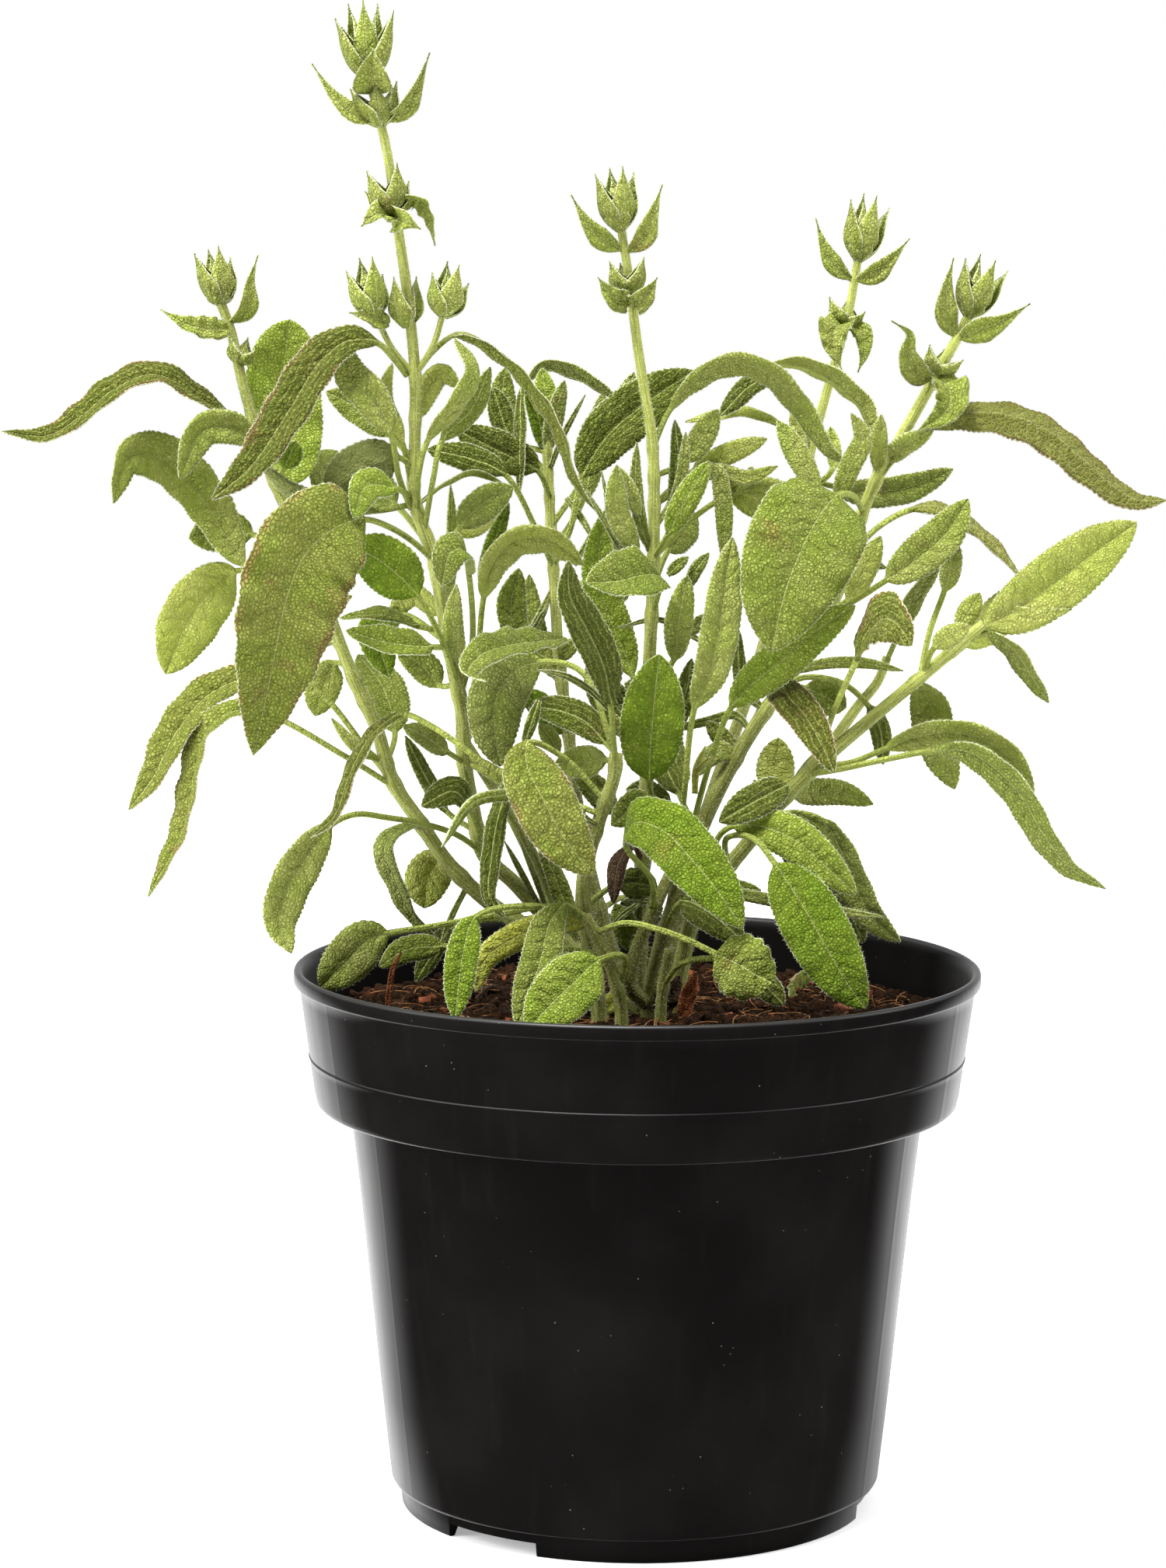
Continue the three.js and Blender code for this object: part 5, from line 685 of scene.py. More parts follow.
class Graph:
    """A node tree of a material, the world or Geometry Nodes, filled by calls."""

    def __init__(self, tree: bpy.types.NodeTree) -> None:
        """Takes an empty or default tree and clears it."""
        self.tree = tree
        tree.nodes.clear()

    @staticmethod
    def find(sockets: Any, key: Any) -> bpy.types.NodeSocket:
        """The socket with that index, identifier or name."""
        named = [socket for socket in sockets if socket.identifier == key]
        return named[0] if named else sockets[key]

    def node(
        self,
        kind: str,
        settings: Optional[dict[str, Any]] = None,
        inputs: Optional[dict[Any, Any]] = None,
        output: Any = 0,
    ) -> Signal:
        """Adds any node.

        Args:
            kind: Blender's name of the node type.
            settings: properties that are set first.
            inputs: values or signals by socket index, identifier or name.
            output: which output is returned.

        Returns:
            That output as a signal.
        """
        made = self.tree.nodes.new(kind)
        for name, value in (settings or {}).items():
            setattr(made, name, value)
        for key, value in (inputs or {}).items():
            socket = self.find(made.inputs, key)
            if isinstance(value, Signal):
                self.tree.links.new(value.socket, socket)
            else:
                socket.default_value = value
        if not made.outputs:
            return Signal(self, made.inputs[0])
        return Signal(self, self.find(made.outputs, output))

    def split(self, vector: Signal) -> tuple[Signal, Signal, Signal]:
        """The three numbers of a vector."""
        first = self.node("ShaderNodeSeparateXYZ", None, {0: vector})
        return first, first.also(1), first.also(2)

    def join(self, x: Any, y: Any, z: Any) -> Signal:
        """A vector of three numbers."""
        return self.node("ShaderNodeCombineXYZ", None, {0: x, 1: y, 2: z})

    def vector_maths(self, operation: str, inputs: dict[Any, Any], output: Any = 0) -> Signal:
        """The result of one Vector Math node."""
        return self.node("ShaderNodeVectorMath", {"operation": operation}, inputs, output)

    def blend(self, share: Any, first: Any, second: Any) -> Signal:
        """A colour between two, `share` of the way to the second."""
        sockets = {"Factor_Float": share, "A_Color": first, "B_Color": second}
        return self.node("ShaderNodeMix", {"data_type": "RGBA"}, sockets, "Result_Color")

    def noise(self, place: Signal, scale: float, detail: float = 2.0) -> Signal:
        """Soft noise around one half."""
        sockets = {"Vector": place, "Scale": scale, "Detail": detail}
        return self.node("ShaderNodeTexNoise", None, sockets, "Fac")

    def cells(self, place: Signal, scale: float) -> Signal:
        """How far a place is from the nearest border of irregular cells."""
        sockets = {"Vector": place, "Scale": scale, "Randomness": 0.9}
        return self.node("ShaderNodeTexVoronoi", {"feature": "DISTANCE_TO_EDGE"}, sockets)

    def attribute(self, name: str) -> Signal:
        """A number that the mesh carries."""
        return self.node("ShaderNodeAttribute", {"attribute_name": name}, None, "Fac")

    def place(self) -> Signal:
        """Object coordinates, in metres."""
        return self.node("ShaderNodeTexCoord", None, None, "Object")

    def chart(self) -> tuple[Signal, Signal]:
        """Millimetres along and across a leaf or stem, from the mesh's Leaf map."""
        along, across, _ = self.split(self.node("ShaderNodeUVMap", {"uv_map": "Leaf"}))
        return along * UV_SPAN, across * UV_SPAN

    def bump(self, height: Signal, strength: float, distance: float) -> Signal:
        """The normals of fine relief that is `distance` metres high."""
        sockets = {"Strength": strength, "Distance": distance, "Height": height}
        return self.node("ShaderNodeBump", None, sockets)

    def skin(self, colour: Any, roughness: Any, gloss: float, others: dict[str, Any]) -> Signal:
        """Makes an opaque surface.

        Args:
            colour: its colour.
            roughness: 0 for polished, 1 for dull.
            gloss: how strongly it reflects, 0.5 for most things.
            others: what else is set, by the sockets' names.

        Returns:
            Its shader.
        """
        sockets = {"Base Color": colour, "Roughness": roughness, "Specular IOR Level": gloss, **others}
        return self.node("ShaderNodeBsdfPrincipled", None, sockets)

    def velvet(self, colour: Any, gloss: float, sheen: float, bump: Signal) -> Signal:
        """The downy surface of leaves and stems."""
        others = {"Sheen Weight": sheen, "Sheen Roughness": 0.4, "Normal": bump}
        return self.skin(colour, 0.6, gloss, others)

    def lit_through(self, share: float, skin: Signal, glow: Colour) -> Signal:
        """A surface of which a share lets light of one colour through."""
        passing = self.node("ShaderNodeBsdfTranslucent", None, {"Color": paint(glow)})
        return self.mix(share, skin, passing)

    def mix(self, share: Any, first: Signal, second: Signal) -> Signal:
        """A shader between two, `share` of the way to the second."""
        return self.node("ShaderNodeMixShader", None, {0: share, 1: first, 2: second})

    def end(self, shader: Signal) -> None:
        """Makes a shader the surface of the material."""
        self.node("ShaderNodeOutputMaterial", None, {"Surface": shader})


def new_material(name: str) -> tuple[bpy.types.Material, Graph]:
    """Makes a node material with nothing in it.

    Args:
        name: its name.

    Returns:
        The material and its graph.
    """
    material = bpy.data.materials.new(name)
    material.use_nodes = True
    return material, Graph(material.node_tree)


class LeafPattern:
    """Where the pebbles, veins and margin of a leaf lie. Sizes are millimetres on the blade."""

    vein_gap = 4.3
    vein_slant = 0.8
    vein_bend = 0.02
    wander = 1.4
    line_gap = 1.5
    furrow_scale = 0.36

    def __init__(self, graph: Graph, cell: float) -> None:
        """Makes the signals from the mesh's Leaf map and its edge, seed and under numbers.

        Args:
            graph: the tree that they are made in.
            cell: how many pebbles fit in a millimetre.
        """
        self.along, self.across = graph.chart()
        self.seed = graph.attribute("seed")
        self.edge = graph.attribute("edge")
        self.under = graph.attribute("under")
        wide = abs(self.across)
        inward = wide / (self.edge + 0.001) - wide
        self.spot = graph.join(self.along, self.across, self.seed * 90.0)
        self.drift = graph.noise(self.spot, 0.3, 1.0)
        self.pebble = graph.cells(self.spot, cell).step(0.02, 0.24)
        self.furrow = graph.cells(self.spot, cell * self.furrow_scale).step(0.1, 0.0)
        course = self.along - wide * self.vein_slant + wide * wide * self.vein_bend
        self.ridge = self.stripe(course, self.vein_gap)
        rank = self.ridge.step(0.06, 0.0) * self.edge.step(1.0, 0.6)
        self.lateral = rank * self.along.step(0.0, 2.0)
        self.line = self.stripe(self.across, self.line_gap).step(0.13, 0.0)
        self.midrib = wide.step(0.26, 0.08) * self.edge.step(0.7, 0.2)
        # The margin band, where the pale down and its painted back-light are laid.
        self.rim = inward.step(0.28, 0.05) * self.edge.step(0.5, 0.7)
        self.blotch = graph.noise(self.spot, 0.12, 3.0)
        self.freckle = graph.noise(self.spot, 0.9, 3.0)
        self.flush = graph.noise(self.spot, 0.07).step(0.4, 0.62)
        self.grain = graph.noise(graph.place(), 2600.0)

    def stripe(self, course: Signal, gap: float) -> Signal:
        """How far a place is from the nearest of wandering stripes, as a share of their gap."""
        return abs((course / gap + self.drift * self.wander).fraction() - 0.5)

    def height(self) -> Signal:
        """The relief: pebbles swell between sunken veins."""
        sunken = self.pebble * 0.9 - self.lateral * 0.9 - self.midrib * 0.8 - self.furrow * 0.6
        return sunken + self.grain * 0.25 + (self.ridge.step(0.0, 0.4) * 1.1) * self.edge.step(1.0, 0.5)


@dataclass(frozen=True)
class LeafFinish:
    """The downy, pebbled skin of one tone of leaf.

    Colours are read as 0 to 255. `ground` lies between the pebbles and `crown` on top of them, and
    the darker `ground` is painted shade in the furrows; `patch` is what blotches and margins turn to,
    `through` is how freely light passes, `lines` is how plainly pale lines follow the length, and
    `net` how plainly the underside's net shows.
    """

    name: str
    ground: Colour
    crown: Colour
    patch: Colour
    patchiness: float
    margin: float
    through: float
    glow: Colour
    vein: Colour = (188, 196, 118)
    back: Colour = (150, 158, 90)
    down: Colour = (232, 234, 196)
    stalk: Colour = (156, 166, 82)
    flush: Colour = (0.85, 0.96, 0.66)
    cell: float = 1.2
    lines: float = 0.08
    net: float = 0.12

    def build(self) -> bpy.types.Material:
        """Makes the material, which reads the mesh's Leaf map and its three numbers.

        Returns:
            The material.
        """
        material, graph = new_material(self.name)
        pattern = LeafPattern(graph, self.cell)
        colour = self.blotched(graph, pattern, self.upper(graph, pattern))
        skin = graph.velvet(colour, 0.05, 0.03, graph.bump(pattern.height(), 1.0, 0.00034))
        graph.end(graph.lit_through(self.through, skin, self.glow))
        return material

    def upper(self, graph: Graph, pattern: LeafPattern) -> Signal:
        """Colours the upper side.

        Args:
            graph: the material's tree.
            pattern: where the leaf's features lie.

        Returns:
            Pebbles over darker ground, which is painted shade in the furrows and side veins, greener in
            places, with pale lines.
        """
        tops = graph.blend(pattern.blotch.step(0.42, 0.66) * 0.2, paint(self.crown), paint(self.back))
        greener = tuple(part * share for part, share in zip(self.crown, self.flush))
        tops = graph.blend(pattern.flush * 0.55, tops, paint(greener))
        # Painted shade: the ground colour shows between the pebbles, in the furrows and along the side
        # veins.
        raised = pattern.pebble * (1.0 - pattern.furrow * 0.6) * (1.0 - pattern.lateral * 0.5)
        colour = graph.blend(raised * 0.54 + 0.19, paint(self.ground), tops)
        return graph.blend(pattern.line * self.lines, colour, paint(self.vein))

    def lower(self, graph: Graph, pattern: LeafPattern) -> Signal:
        """Colours the underside.

        Args:
            graph: the material's tree.
            pattern: where the leaf's features lie.

        Returns:
            Its dull green with a paler net and side veins.
        """
        web = ((1.0 - pattern.pebble) + pattern.furrow * 0.5) * self.net
        back = graph.blend(web, paint(self.back, 0.95), paint(self.vein))
        return graph.blend(pattern.lateral * 0.6, back, paint(self.vein))

    def blotched(self, graph: Graph, pattern: LeafPattern, upper: Signal) -> Signal:
        """Colours the whole leaf.

        Args:
            graph: the material's tree.
            pattern: where the leaf's features lie.
            upper: the upper side's colour.

        Returns:
            Both sides with blotches, midrib, stalk and the down on the margin, which is partly the hairs'
            pale colour and partly painted back-light on them.
        """
        colour = graph.blend(pattern.under * 0.85, upper, self.lower(graph, pattern))
        stain = pattern.blotch + self.patchiness + pattern.edge.step(0.7, 1.0) * self.margin
        stain = stain + (pattern.freckle - 0.5) * 0.2
        # Painted shade: the stain is darker between its pebbles.
        stain_with_painted_shade = graph.blend(pattern.pebble, paint(self.patch, 0.66), paint(self.patch))
        colour = graph.blend(stain.step(0.64, 0.8) * 0.7, colour, stain_with_painted_shade)
        colour = graph.blend(pattern.midrib * 0.7, colour, paint(self.vein))
        colour = graph.blend(pattern.along.step(0.6, -0.6), colour, paint(self.stalk))
        # The down on the margin: partly the hairs' own pale colour, partly painted back-light on them.
        fuzz_and_backlight = pattern.rim * (pattern.grain.step(0.3, 0.7) * 0.4 + 0.35)
        fuzz_and_backlight = fuzz_and_backlight + pattern.grain.step(0.55, 0.8) * 0.05
        colour = graph.blend(fuzz_and_backlight, colour, paint(self.down))
        shade = (pattern.seed * 7.31).fraction() * 0.22 + 0.785
        return graph.vector_maths("SCALE", {0: colour, "Scale": shade})


LEAF_FINISHES: dict[Tone, LeafFinish] = {
    Tone.DULL: LeafFinish(
        "sage_dull", (88, 98, 20), (158, 168, 88), (148, 134, 66), 0.0, 0.06, 0.2, (150, 170, 24)
    ),
    Tone.BRIGHT: LeafFinish(
        "sage_bright", (104, 120, 20), (174, 190, 92), (164, 162, 64), 0.0, 0.04, 0.25, (176, 196, 24)
    ),
    Tone.VIVID: LeafFinish(
        "sage_vivid", (76, 96, 6), (146, 166, 58), (142, 144, 54), 0.0, 0.04, 0.26, (150, 178, 16)
    ),
    Tone.PALE: LeafFinish(
        "sage_pale", (128, 136, 52), (190, 197, 120), (180, 176, 98), 0.0, 0.04, 0.25, (184, 196, 60)
    ),
    Tone.WHITISH: LeafFinish(
        "sage_whitish", (158, 166, 70), (212, 218, 136), (190, 186, 108), 0.0, 0.04, 0.3,
        (200, 208, 84),
    ),
    Tone.GREY: LeafFinish(
        "sage_grey", (106, 114, 42), (172, 180, 106), (160, 146, 86), 0.0, 0.14, 0.2, (156, 168, 40)
    ),
    Tone.DARK: LeafFinish(
        "sage_dark", (54, 60, 8), (118, 128, 52), (112, 96, 46), 0.0, 0.08, 0.2,
        (116, 136, 10), lines=0.3,
    ),
    Tone.OLIVE: LeafFinish(
        "sage_olive", (92, 98, 24), (160, 168, 86), (156, 130, 76), 0.0, 0.27, 0.2,
        (150, 160, 26), back=(146, 148, 78), cell=1.1, lines=0.14,
    ),
    Tone.UMBER: LeafFinish(
        "sage_umber", (60, 66, 10), (122, 128, 56), (136, 106, 66), 0.01, 0.36, 0.18,
        (136, 140, 20), vein=(166, 170, 100), back=(114, 116, 42), cell=0.95, lines=0.42, net=0.42,
    ),
    Tone.YELLOW: LeafFinish(
        "sage_yellow", (170, 172, 56), (214, 218, 116), (178, 160, 84), -0.12, 0.15, 0.35,
        (206, 206, 50), stalk=(196, 196, 112),
    ),
    Tone.FRESH: LeafFinish(
        "sage_fresh", (122, 130, 44), (190, 197, 118), (172, 134, 86), 0.0, 0.14, 0.25,
        (178, 192, 40), back=(141, 153, 72), lines=0.2,
    ),
    Tone.DEAD: LeafFinish(
        "sage_dead", (42, 30, 18), (96, 74, 54), (66, 48, 34), 0.1, 0.3, 0.05, (90, 60, 40),
        vein=(110, 90, 70), back=(80, 62, 46), down=(120, 104, 84), stalk=(80, 60, 44),
    ),
    Tone.RUST: LeafFinish(
        "bark_scrap", (92, 46, 26), (170, 100, 60), (120, 66, 40), 0.05, 0.1, 0.05, (120, 66, 36),
        vein=(180, 120, 80), back=(150, 90, 56), down=(180, 120, 80), stalk=(160, 96, 60),
    ),
}


@dataclass(frozen=True)
class StemFinish:
    """The downy ribbed rind of the stems."""

    name: str = "sage_stem"
    rind: Colour = (112, 118, 50)
    rib: Colour = (146, 152, 76)
    # The darker colour of the stem's foot, which the edge number also blends in as painted shade.
    foot: Colour = (50, 48, 10)
    down: Colour = (196, 200, 146)

    def build(self) -> bpy.types.Material:
        """Makes the material, which reads the mesh's Leaf map and its edge number.

        Returns:
            The material, darker where the edge number is low: the stem's own darker foot, with painted
            shade and painted light by height and stem.
        """
        material, graph = new_material(self.name)
        along, around = graph.chart()
        place = graph.place()
        streak = graph.noise(graph.join(along * 0.12, around * 1.6, 0.0), 1.0)
        grain = graph.noise(place, 2200.0, 3.0)
        blotch = graph.noise(place, 90.0)
        colour = graph.blend(streak.step(0.38, 0.62), paint(self.rind), paint(self.rib))
        # Painted shade and light: a low edge number blends towards the foot colour, a high one brightens.
        pale = graph.attribute("edge") * STEM_PAINTED_PALEST
        colour = graph.blend(1.0 - pale + (blotch - 0.5) * 0.2, colour, paint(self.foot))
        colour = graph.vector_maths("SCALE", {0: colour, "Scale": pale.at_least(1.0)})
        colour = graph.blend(grain.step(0.5, 0.72) * 0.3, colour, paint(self.down))
        graph.end(graph.velvet(colour, 0.07, 0.06, graph.bump(streak + grain * 0.5, 0.9, 0.0003)))
        return material


@dataclass(frozen=True)
class DownFinish:
    """The fine white hairs."""

    name: str = "sage_down"
    colour: Colour = (230, 234, 208)

    def build(self) -> bpy.types.Material:
        """Makes the material.

        Returns:
            The material.
        """
        material, graph = new_material(self.name)
        tint = graph.noise(graph.place(), 300.0, 1.0)
        colour = graph.blend(tint, paint(self.colour, 0.86), paint(self.colour))
        graph.end(graph.lit_through(0.5, graph.skin(colour, 0.5, 0.3, {}), self.colour))
        return material


@dataclass(frozen=True)
class BlackPlasticFinish:
    """The satin black moulded plastic of the pot, with dust and faint drawing streaks.

    It is dull where it is seen squarely, and shines at a grazing angle and on the lip's top.
    """

    name: str = "black_plastic"
    body: Colour = (13, 12.2, 11.8)
    dust: Colour = (120, 112, 104)

    def build(self) -> bpy.types.Material:
        """Makes the material.

        Returns:
            The material.
        """
        material, graph = new_material(self.name)
        place = graph.place()
        x, y, z = graph.split(place)
        streak = graph.noise(graph.join(x, y, z * 0.06), 260.0, 3.0)
        cloud = graph.noise(place, 28.0, 4.0)
        grain = graph.noise(place, 1500.0)
        specks = graph.node("ShaderNodeTexVoronoi", None, {"Vector": place, "Scale": 300.0})
        speck = specks.step(0.07, 0.04) * graph.noise(place, 60.0).step(0.5, 0.62)
        colour = graph.blend(cloud.step(0.35, 0.75), paint(self.body), paint(self.body, 1.5))
        colour = graph.blend(streak.step(0.55, 0.8) * 0.06, colour, paint(self.dust, 0.4))
        colour = graph.blend(speck * 0.5, colour, paint(self.dust))
        rough = streak * 0.12 + cloud * 0.12 + speck * 0.3 + 0.31
        bump = graph.bump(streak * 0.8 + grain * 0.6 + speck * 2.0, 0.3, 0.0001)
        satin = graph.skin(colour, rough, 0.0, {"Normal": bump})
        glossy = graph.skin(colour, rough, 0.8, {"Normal": bump})
        turned = graph.node("ShaderNodeLayerWeight", None, {"Blend": 0.5}, "Facing")
        upward = graph.split(graph.node("ShaderNodeNewGeometry", None, None, "Normal"))[2]
        shine = turned.step(0.49, 0.93).at_least(upward.step(0.25, 0.75) * 0.5)
        graph.end(graph.mix(shine, satin, glossy))
        return material


@dataclass(frozen=True)
class LitterFinish:
    """Peat, bark or fibre: two colours in a rough grain."""

    name: str
    dark: Colour
    light: Colour
    scale: float
    roughness: float = 0.9

    def build(self) -> bpy.types.Material:
        """Makes the material.

        Returns:
            The material.
        """
        material, graph = new_material(self.name)
        place = graph.place()
        grain = graph.noise(place, self.scale, 5.0)
        broad = graph.noise(place, self.scale / 7.0)
        share = (grain * 0.6 + broad * 0.4).step(0.36, 0.66)
        colour = graph.blend(share, paint(self.dark), paint(self.light))
        graph.end(graph.skin(colour, self.roughness, 0.08, {"Normal": graph.bump(grain, 0.8, 0.0004)}))
        return material


POT_LOW, POT_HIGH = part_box("pot")
AXIS = np.array([(POT_LOW.x + POT_HIGH.x) / 2.0, (POT_LOW.y + POT_HIGH.y) / 2.0, 0.0])


def seen(shoot: str, place: Sequence[float]) -> np.ndarray:
    """Where a point of a shoot lies that is read as (across, up, nearer).

    Args:
        shoot: the shoot, which leans as a whole.
        place: across and up on the plane through the pot's axis, and how far in front of it.

    Returns:
        The point, in millimetres from the foot of the pot's axis.
    """
    across, up, nearer = place
    rise = max(up - SOIL_LEVEL, 0.0) / LEAN_RISE
    share = (nearer + LEANS[shoot] * rise) / -EYE[1]
    flat = np.array([across, 0.0, up])
    return flat + (EYE - flat) * share


def facing(point: np.ndarray, tangent: np.ndarray, degrees: float) -> np.ndarray:
    """Turns a blade towards the viewer.

    Args:
        point: where it is.
        tangent: which way it runs there.
        degrees: how far it is then turned about `tangent`.

    Returns:
        The direction square to `tangent` that it faces.
    """
    face = unit(EYE - point - tangent * float((EYE - point) @ tangent))
    angle = math.radians(degrees)
    return face * math.cos(angle) + np.cross(tangent, face) * math.sin(angle)


class Route:
    """A smooth curve through places, run along by its length."""

    def __init__(self, places: np.ndarray) -> None:
        """Measures the curve.

        Args:
            places: two or more places in order.
        """
        ends = [2.0 * places[0] - places[1], 2.0 * places[-1] - places[-2]]
        self.knots = np.vstack([ends[0], places, ends[1]])
        self.spans = len(places) - 1
        self.ticks = np.linspace(0.0, self.spans, 401)
        gaps = np.linalg.norm(np.diff(self.point(self.ticks), axis=0), axis=1)
        self.lengths = np.concatenate([[0.0], np.cumsum(gaps)])
        self.total = float(self.lengths[-1])

    @classmethod
    def of(cls, shoot: str, places: Places) -> "Route":
        """The route through readings of one shoot."""
        return cls(np.array([seen(shoot, place) for place in places]))

    def point(self, ticks: np.ndarray) -> np.ndarray:
        """Finds points by number.

        Args:
            ticks: fractional numbers of the places that the curve runs through.

        Returns:
            The points there.
        """
        span = np.clip(ticks.astype(int), 0, self.spans - 1)
        share = (ticks - span)[:, None]
        a, b, c, d = (self.knots[span + shift] for shift in range(4))
        before, here, after = (
            np.maximum(np.linalg.norm(far - near, axis=1), 1e-8)[:, None] ** 0.5
            for near, far in ((a, b), (b, c), (c, d))
        )
        leave = ((b - a) / before - (c - a) / (before + here) + (c - b) / here) * here
        arrive = ((c - b) / here - (d - b) / (here + after) + (d - c) / after) * here
        square = -3.0 * b + 3.0 * c - 2.0 * leave - arrive
        cube = 2.0 * b - 2.0 * c + leave + arrive
        return b + leave * share + square * share**2 + cube * share**3

    def at(self, lengths: np.ndarray) -> np.ndarray:
        """The points at distances along the route."""
        return self.point(np.interp(lengths, self.lengths, self.ticks))

    def length_to(self, knot: float) -> float:
        """The distance along the route to one of its places."""
        return float(np.interp(knot, self.ticks, self.lengths))

    def tangents(self, lengths: np.ndarray, reach: float = 0.3) -> np.ndarray:
        """The directions of the route at distances along it, taken over `reach` either way."""
        ends = [np.clip(lengths + shift, 0.0, self.total) for shift in (reach, -reach)]
        return unit(self.at(ends[0]) - self.at(ends[1]))


def carry(tangents: np.ndarray, anchor: int, face: np.ndarray) -> np.ndarray:
    """Carries a direction along a curve without needless turning.

    Args:
        tangents: the curve's directions.
        anchor: where `face` is given.
        face: the direction there.

    Returns:
        One direction per tangent, square to it.
    """
    faces = np.zeros_like(tangents)
    for steps in (range(anchor, len(tangents)), range(anchor, -1, -1)):
        current = face
        for step in steps:
            current = current - tangents[step] * float(current @ tangents[step])
            current = current / max(float(np.linalg.norm(current)), 1e-9)
            faces[step] = current
    return faces


def skinned(index: np.ndarray) -> np.ndarray:
    """The quads between rings of point numbers."""
    beside = np.roll(index, -1, axis=1)
    return np.stack([index[:-1], beside[:-1], beside[1:], index[1:]], axis=-1).reshape(-1, 4)


class Surface:
    """Points and faces gathered for one piece, in millimetres."""

    def __init__(self) -> None:
        """Starts empty."""
        self.points: list[np.ndarray] = []
        self.quads: list[np.ndarray] = []
        self.threes = np.zeros((0, 3), int)
        self.charts: list[np.ndarray] = []
        self.numbers: list[np.ndarray] = []
        self.slots: list[np.ndarray] = []
        self.count = 0

    def add(
        self, points: np.ndarray, quads: np.ndarray, chart: np.ndarray, numbers: np.ndarray, slot: int
    ) -> None:
        """Adds one shape.

        Args:
            points: (n, 3) places.
            quads: (k, 4) point numbers, counted from this shape's first point.
            chart: (n, 2) distances along and across.
            numbers: (n, 3) edge, seed and under.
            slot: the material's number.
        """
        self.points.append(points)
        self.quads.append(quads + self.count)
        self.slots.append(np.full(len(quads), slot))
        self.charts.append(chart)
        self.numbers.append(numbers)
        self.count += len(points)

    def add_rings(self, rings: np.ndarray, chart: np.ndarray, numbers: np.ndarray, slot: int) -> None:
        """Adds a closed solid through rings of evenly many points.

        Args:
            rings: (rings, sides, 3) places.
            chart: (rings, sides, 2) distances along and across.
            numbers: (rings, sides, 3) edge, seed and under.
            slot: the material's number.
        """
        rows, sides = rings.shape[:2]
        index = np.arange(rows * sides).reshape(rows, sides)
        near = np.arange(sides // 2 - 1)
        far = sides - 1 - near
        first, last = index[0], index[-1]
        foot = np.stack([first[near + 1], first[near], first[far], first[far - 1]], axis=-1)
        head = np.stack([last[near], last[near + 1], last[far - 1], last[far]], axis=-1)
        quads = np.vstack([skinned(index), foot, head])
        self.add(rings.reshape(-1, 3), quads, chart.reshape(-1, 2), numbers.reshape(-1, 3), slot)

    def add_turned(self, grid: np.ndarray) -> None:
        """Adds a closed turned shape as the only one, with the first material.

        Args:
            grid: (rows, sides, 3) places, of which the first and last rows are poles.
        """
        rows, sides = grid.shape[:2]
        end = (rows - 2) * sides + 1
        index = np.arange(1, end).reshape(rows - 2, sides)
        beside = np.roll(index, -1, axis=1)
        foot = np.stack([np.zeros(sides, int), beside[0], index[0]], axis=-1)
        head = np.stack([np.full(sides, end), index[-1], beside[-1]], axis=-1)
        points = np.vstack([grid[0, :1], grid[1:-1].reshape(-1, 3), grid[-1, :1]])
        self.threes = np.vstack([foot, head])
        self.add(points, skinned(index), np.zeros((end + 1, 2)), np.zeros((end + 1, 3)), 0)

    def mesh(self, name: str, materials: Sequence[bpy.types.Material]) -> bpy.types.Mesh:
        """Makes the mesh.

        Args:
            name: its name.
            materials: what the slots' numbers stand for.

        Returns:
            The mesh, in metres in the frame, with the materials that it uses.
        """
        mesh = bpy.data.meshes.new(name)
        places = np.concatenate(self.points) * MM + AXIS
        quads, threes = np.concatenate(self.quads), self.threes
        loops = np.concatenate([quads.ravel(), threes.ravel()])
        starts = [np.arange(len(quads)) * 4, len(quads) * 4 + np.arange(len(threes)) * 3]
        slots = np.concatenate([*self.slots, np.zeros(len(threes), int)])
        used, slots = np.unique(slots, return_inverse=True)
        mesh.vertices.add(len(places))
        mesh.vertices.foreach_set("co", places.ravel())
        mesh.loops.add(len(loops))
        mesh.loops.foreach_set("vertex_index", loops)
        mesh.polygons.add(len(slots))
        mesh.polygons.foreach_set("loop_start", np.concatenate(starts))
        mesh.polygons.foreach_set("material_index", slots)
        chart = mesh.uv_layers.new(name="Leaf")
        chart.data.foreach_set("uv", (np.concatenate(self.charts)[loops] / UV_SPAN).ravel())
        numbers = np.concatenate(self.numbers)
        for column, label in enumerate(("edge", "seed", "under")):
            made = mesh.attributes.new(label, "FLOAT", "POINT")
            made.data.foreach_set("value", np.ascontiguousarray(numbers[:, column]))
        for slot in used:
            mesh.materials.append(materials[slot])
        mesh.update(calc_edges=True)
        mesh.shade_smooth()
        return mesh


def put(name: str, data: Any) -> bpy.types.Object:
    """Puts data into the scene.

    Args:
        name: the object's name.
        data: its mesh, lamp or camera.

    Returns:
        The object.
    """
    made = bpy.data.objects.new(name, data)
    bpy.context.scene.collection.objects.link(made)
    return made


def show(mesh: bpy.types.Mesh, node: str) -> None:
    """Puts a finished mesh into the scene as a piece that stands for a solid.

    Args:
        mesh: the mesh, whose name the piece takes.
        node: the solid it replaces.
    """
    piece = put(mesh.name, mesh)
    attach(piece, "root")
    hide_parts(node)
    triangles = sum(len(polygon.vertices) - 2 for polygon in mesh.polygons)
    LOG.info("%s: %d triangles", mesh.name, triangles)


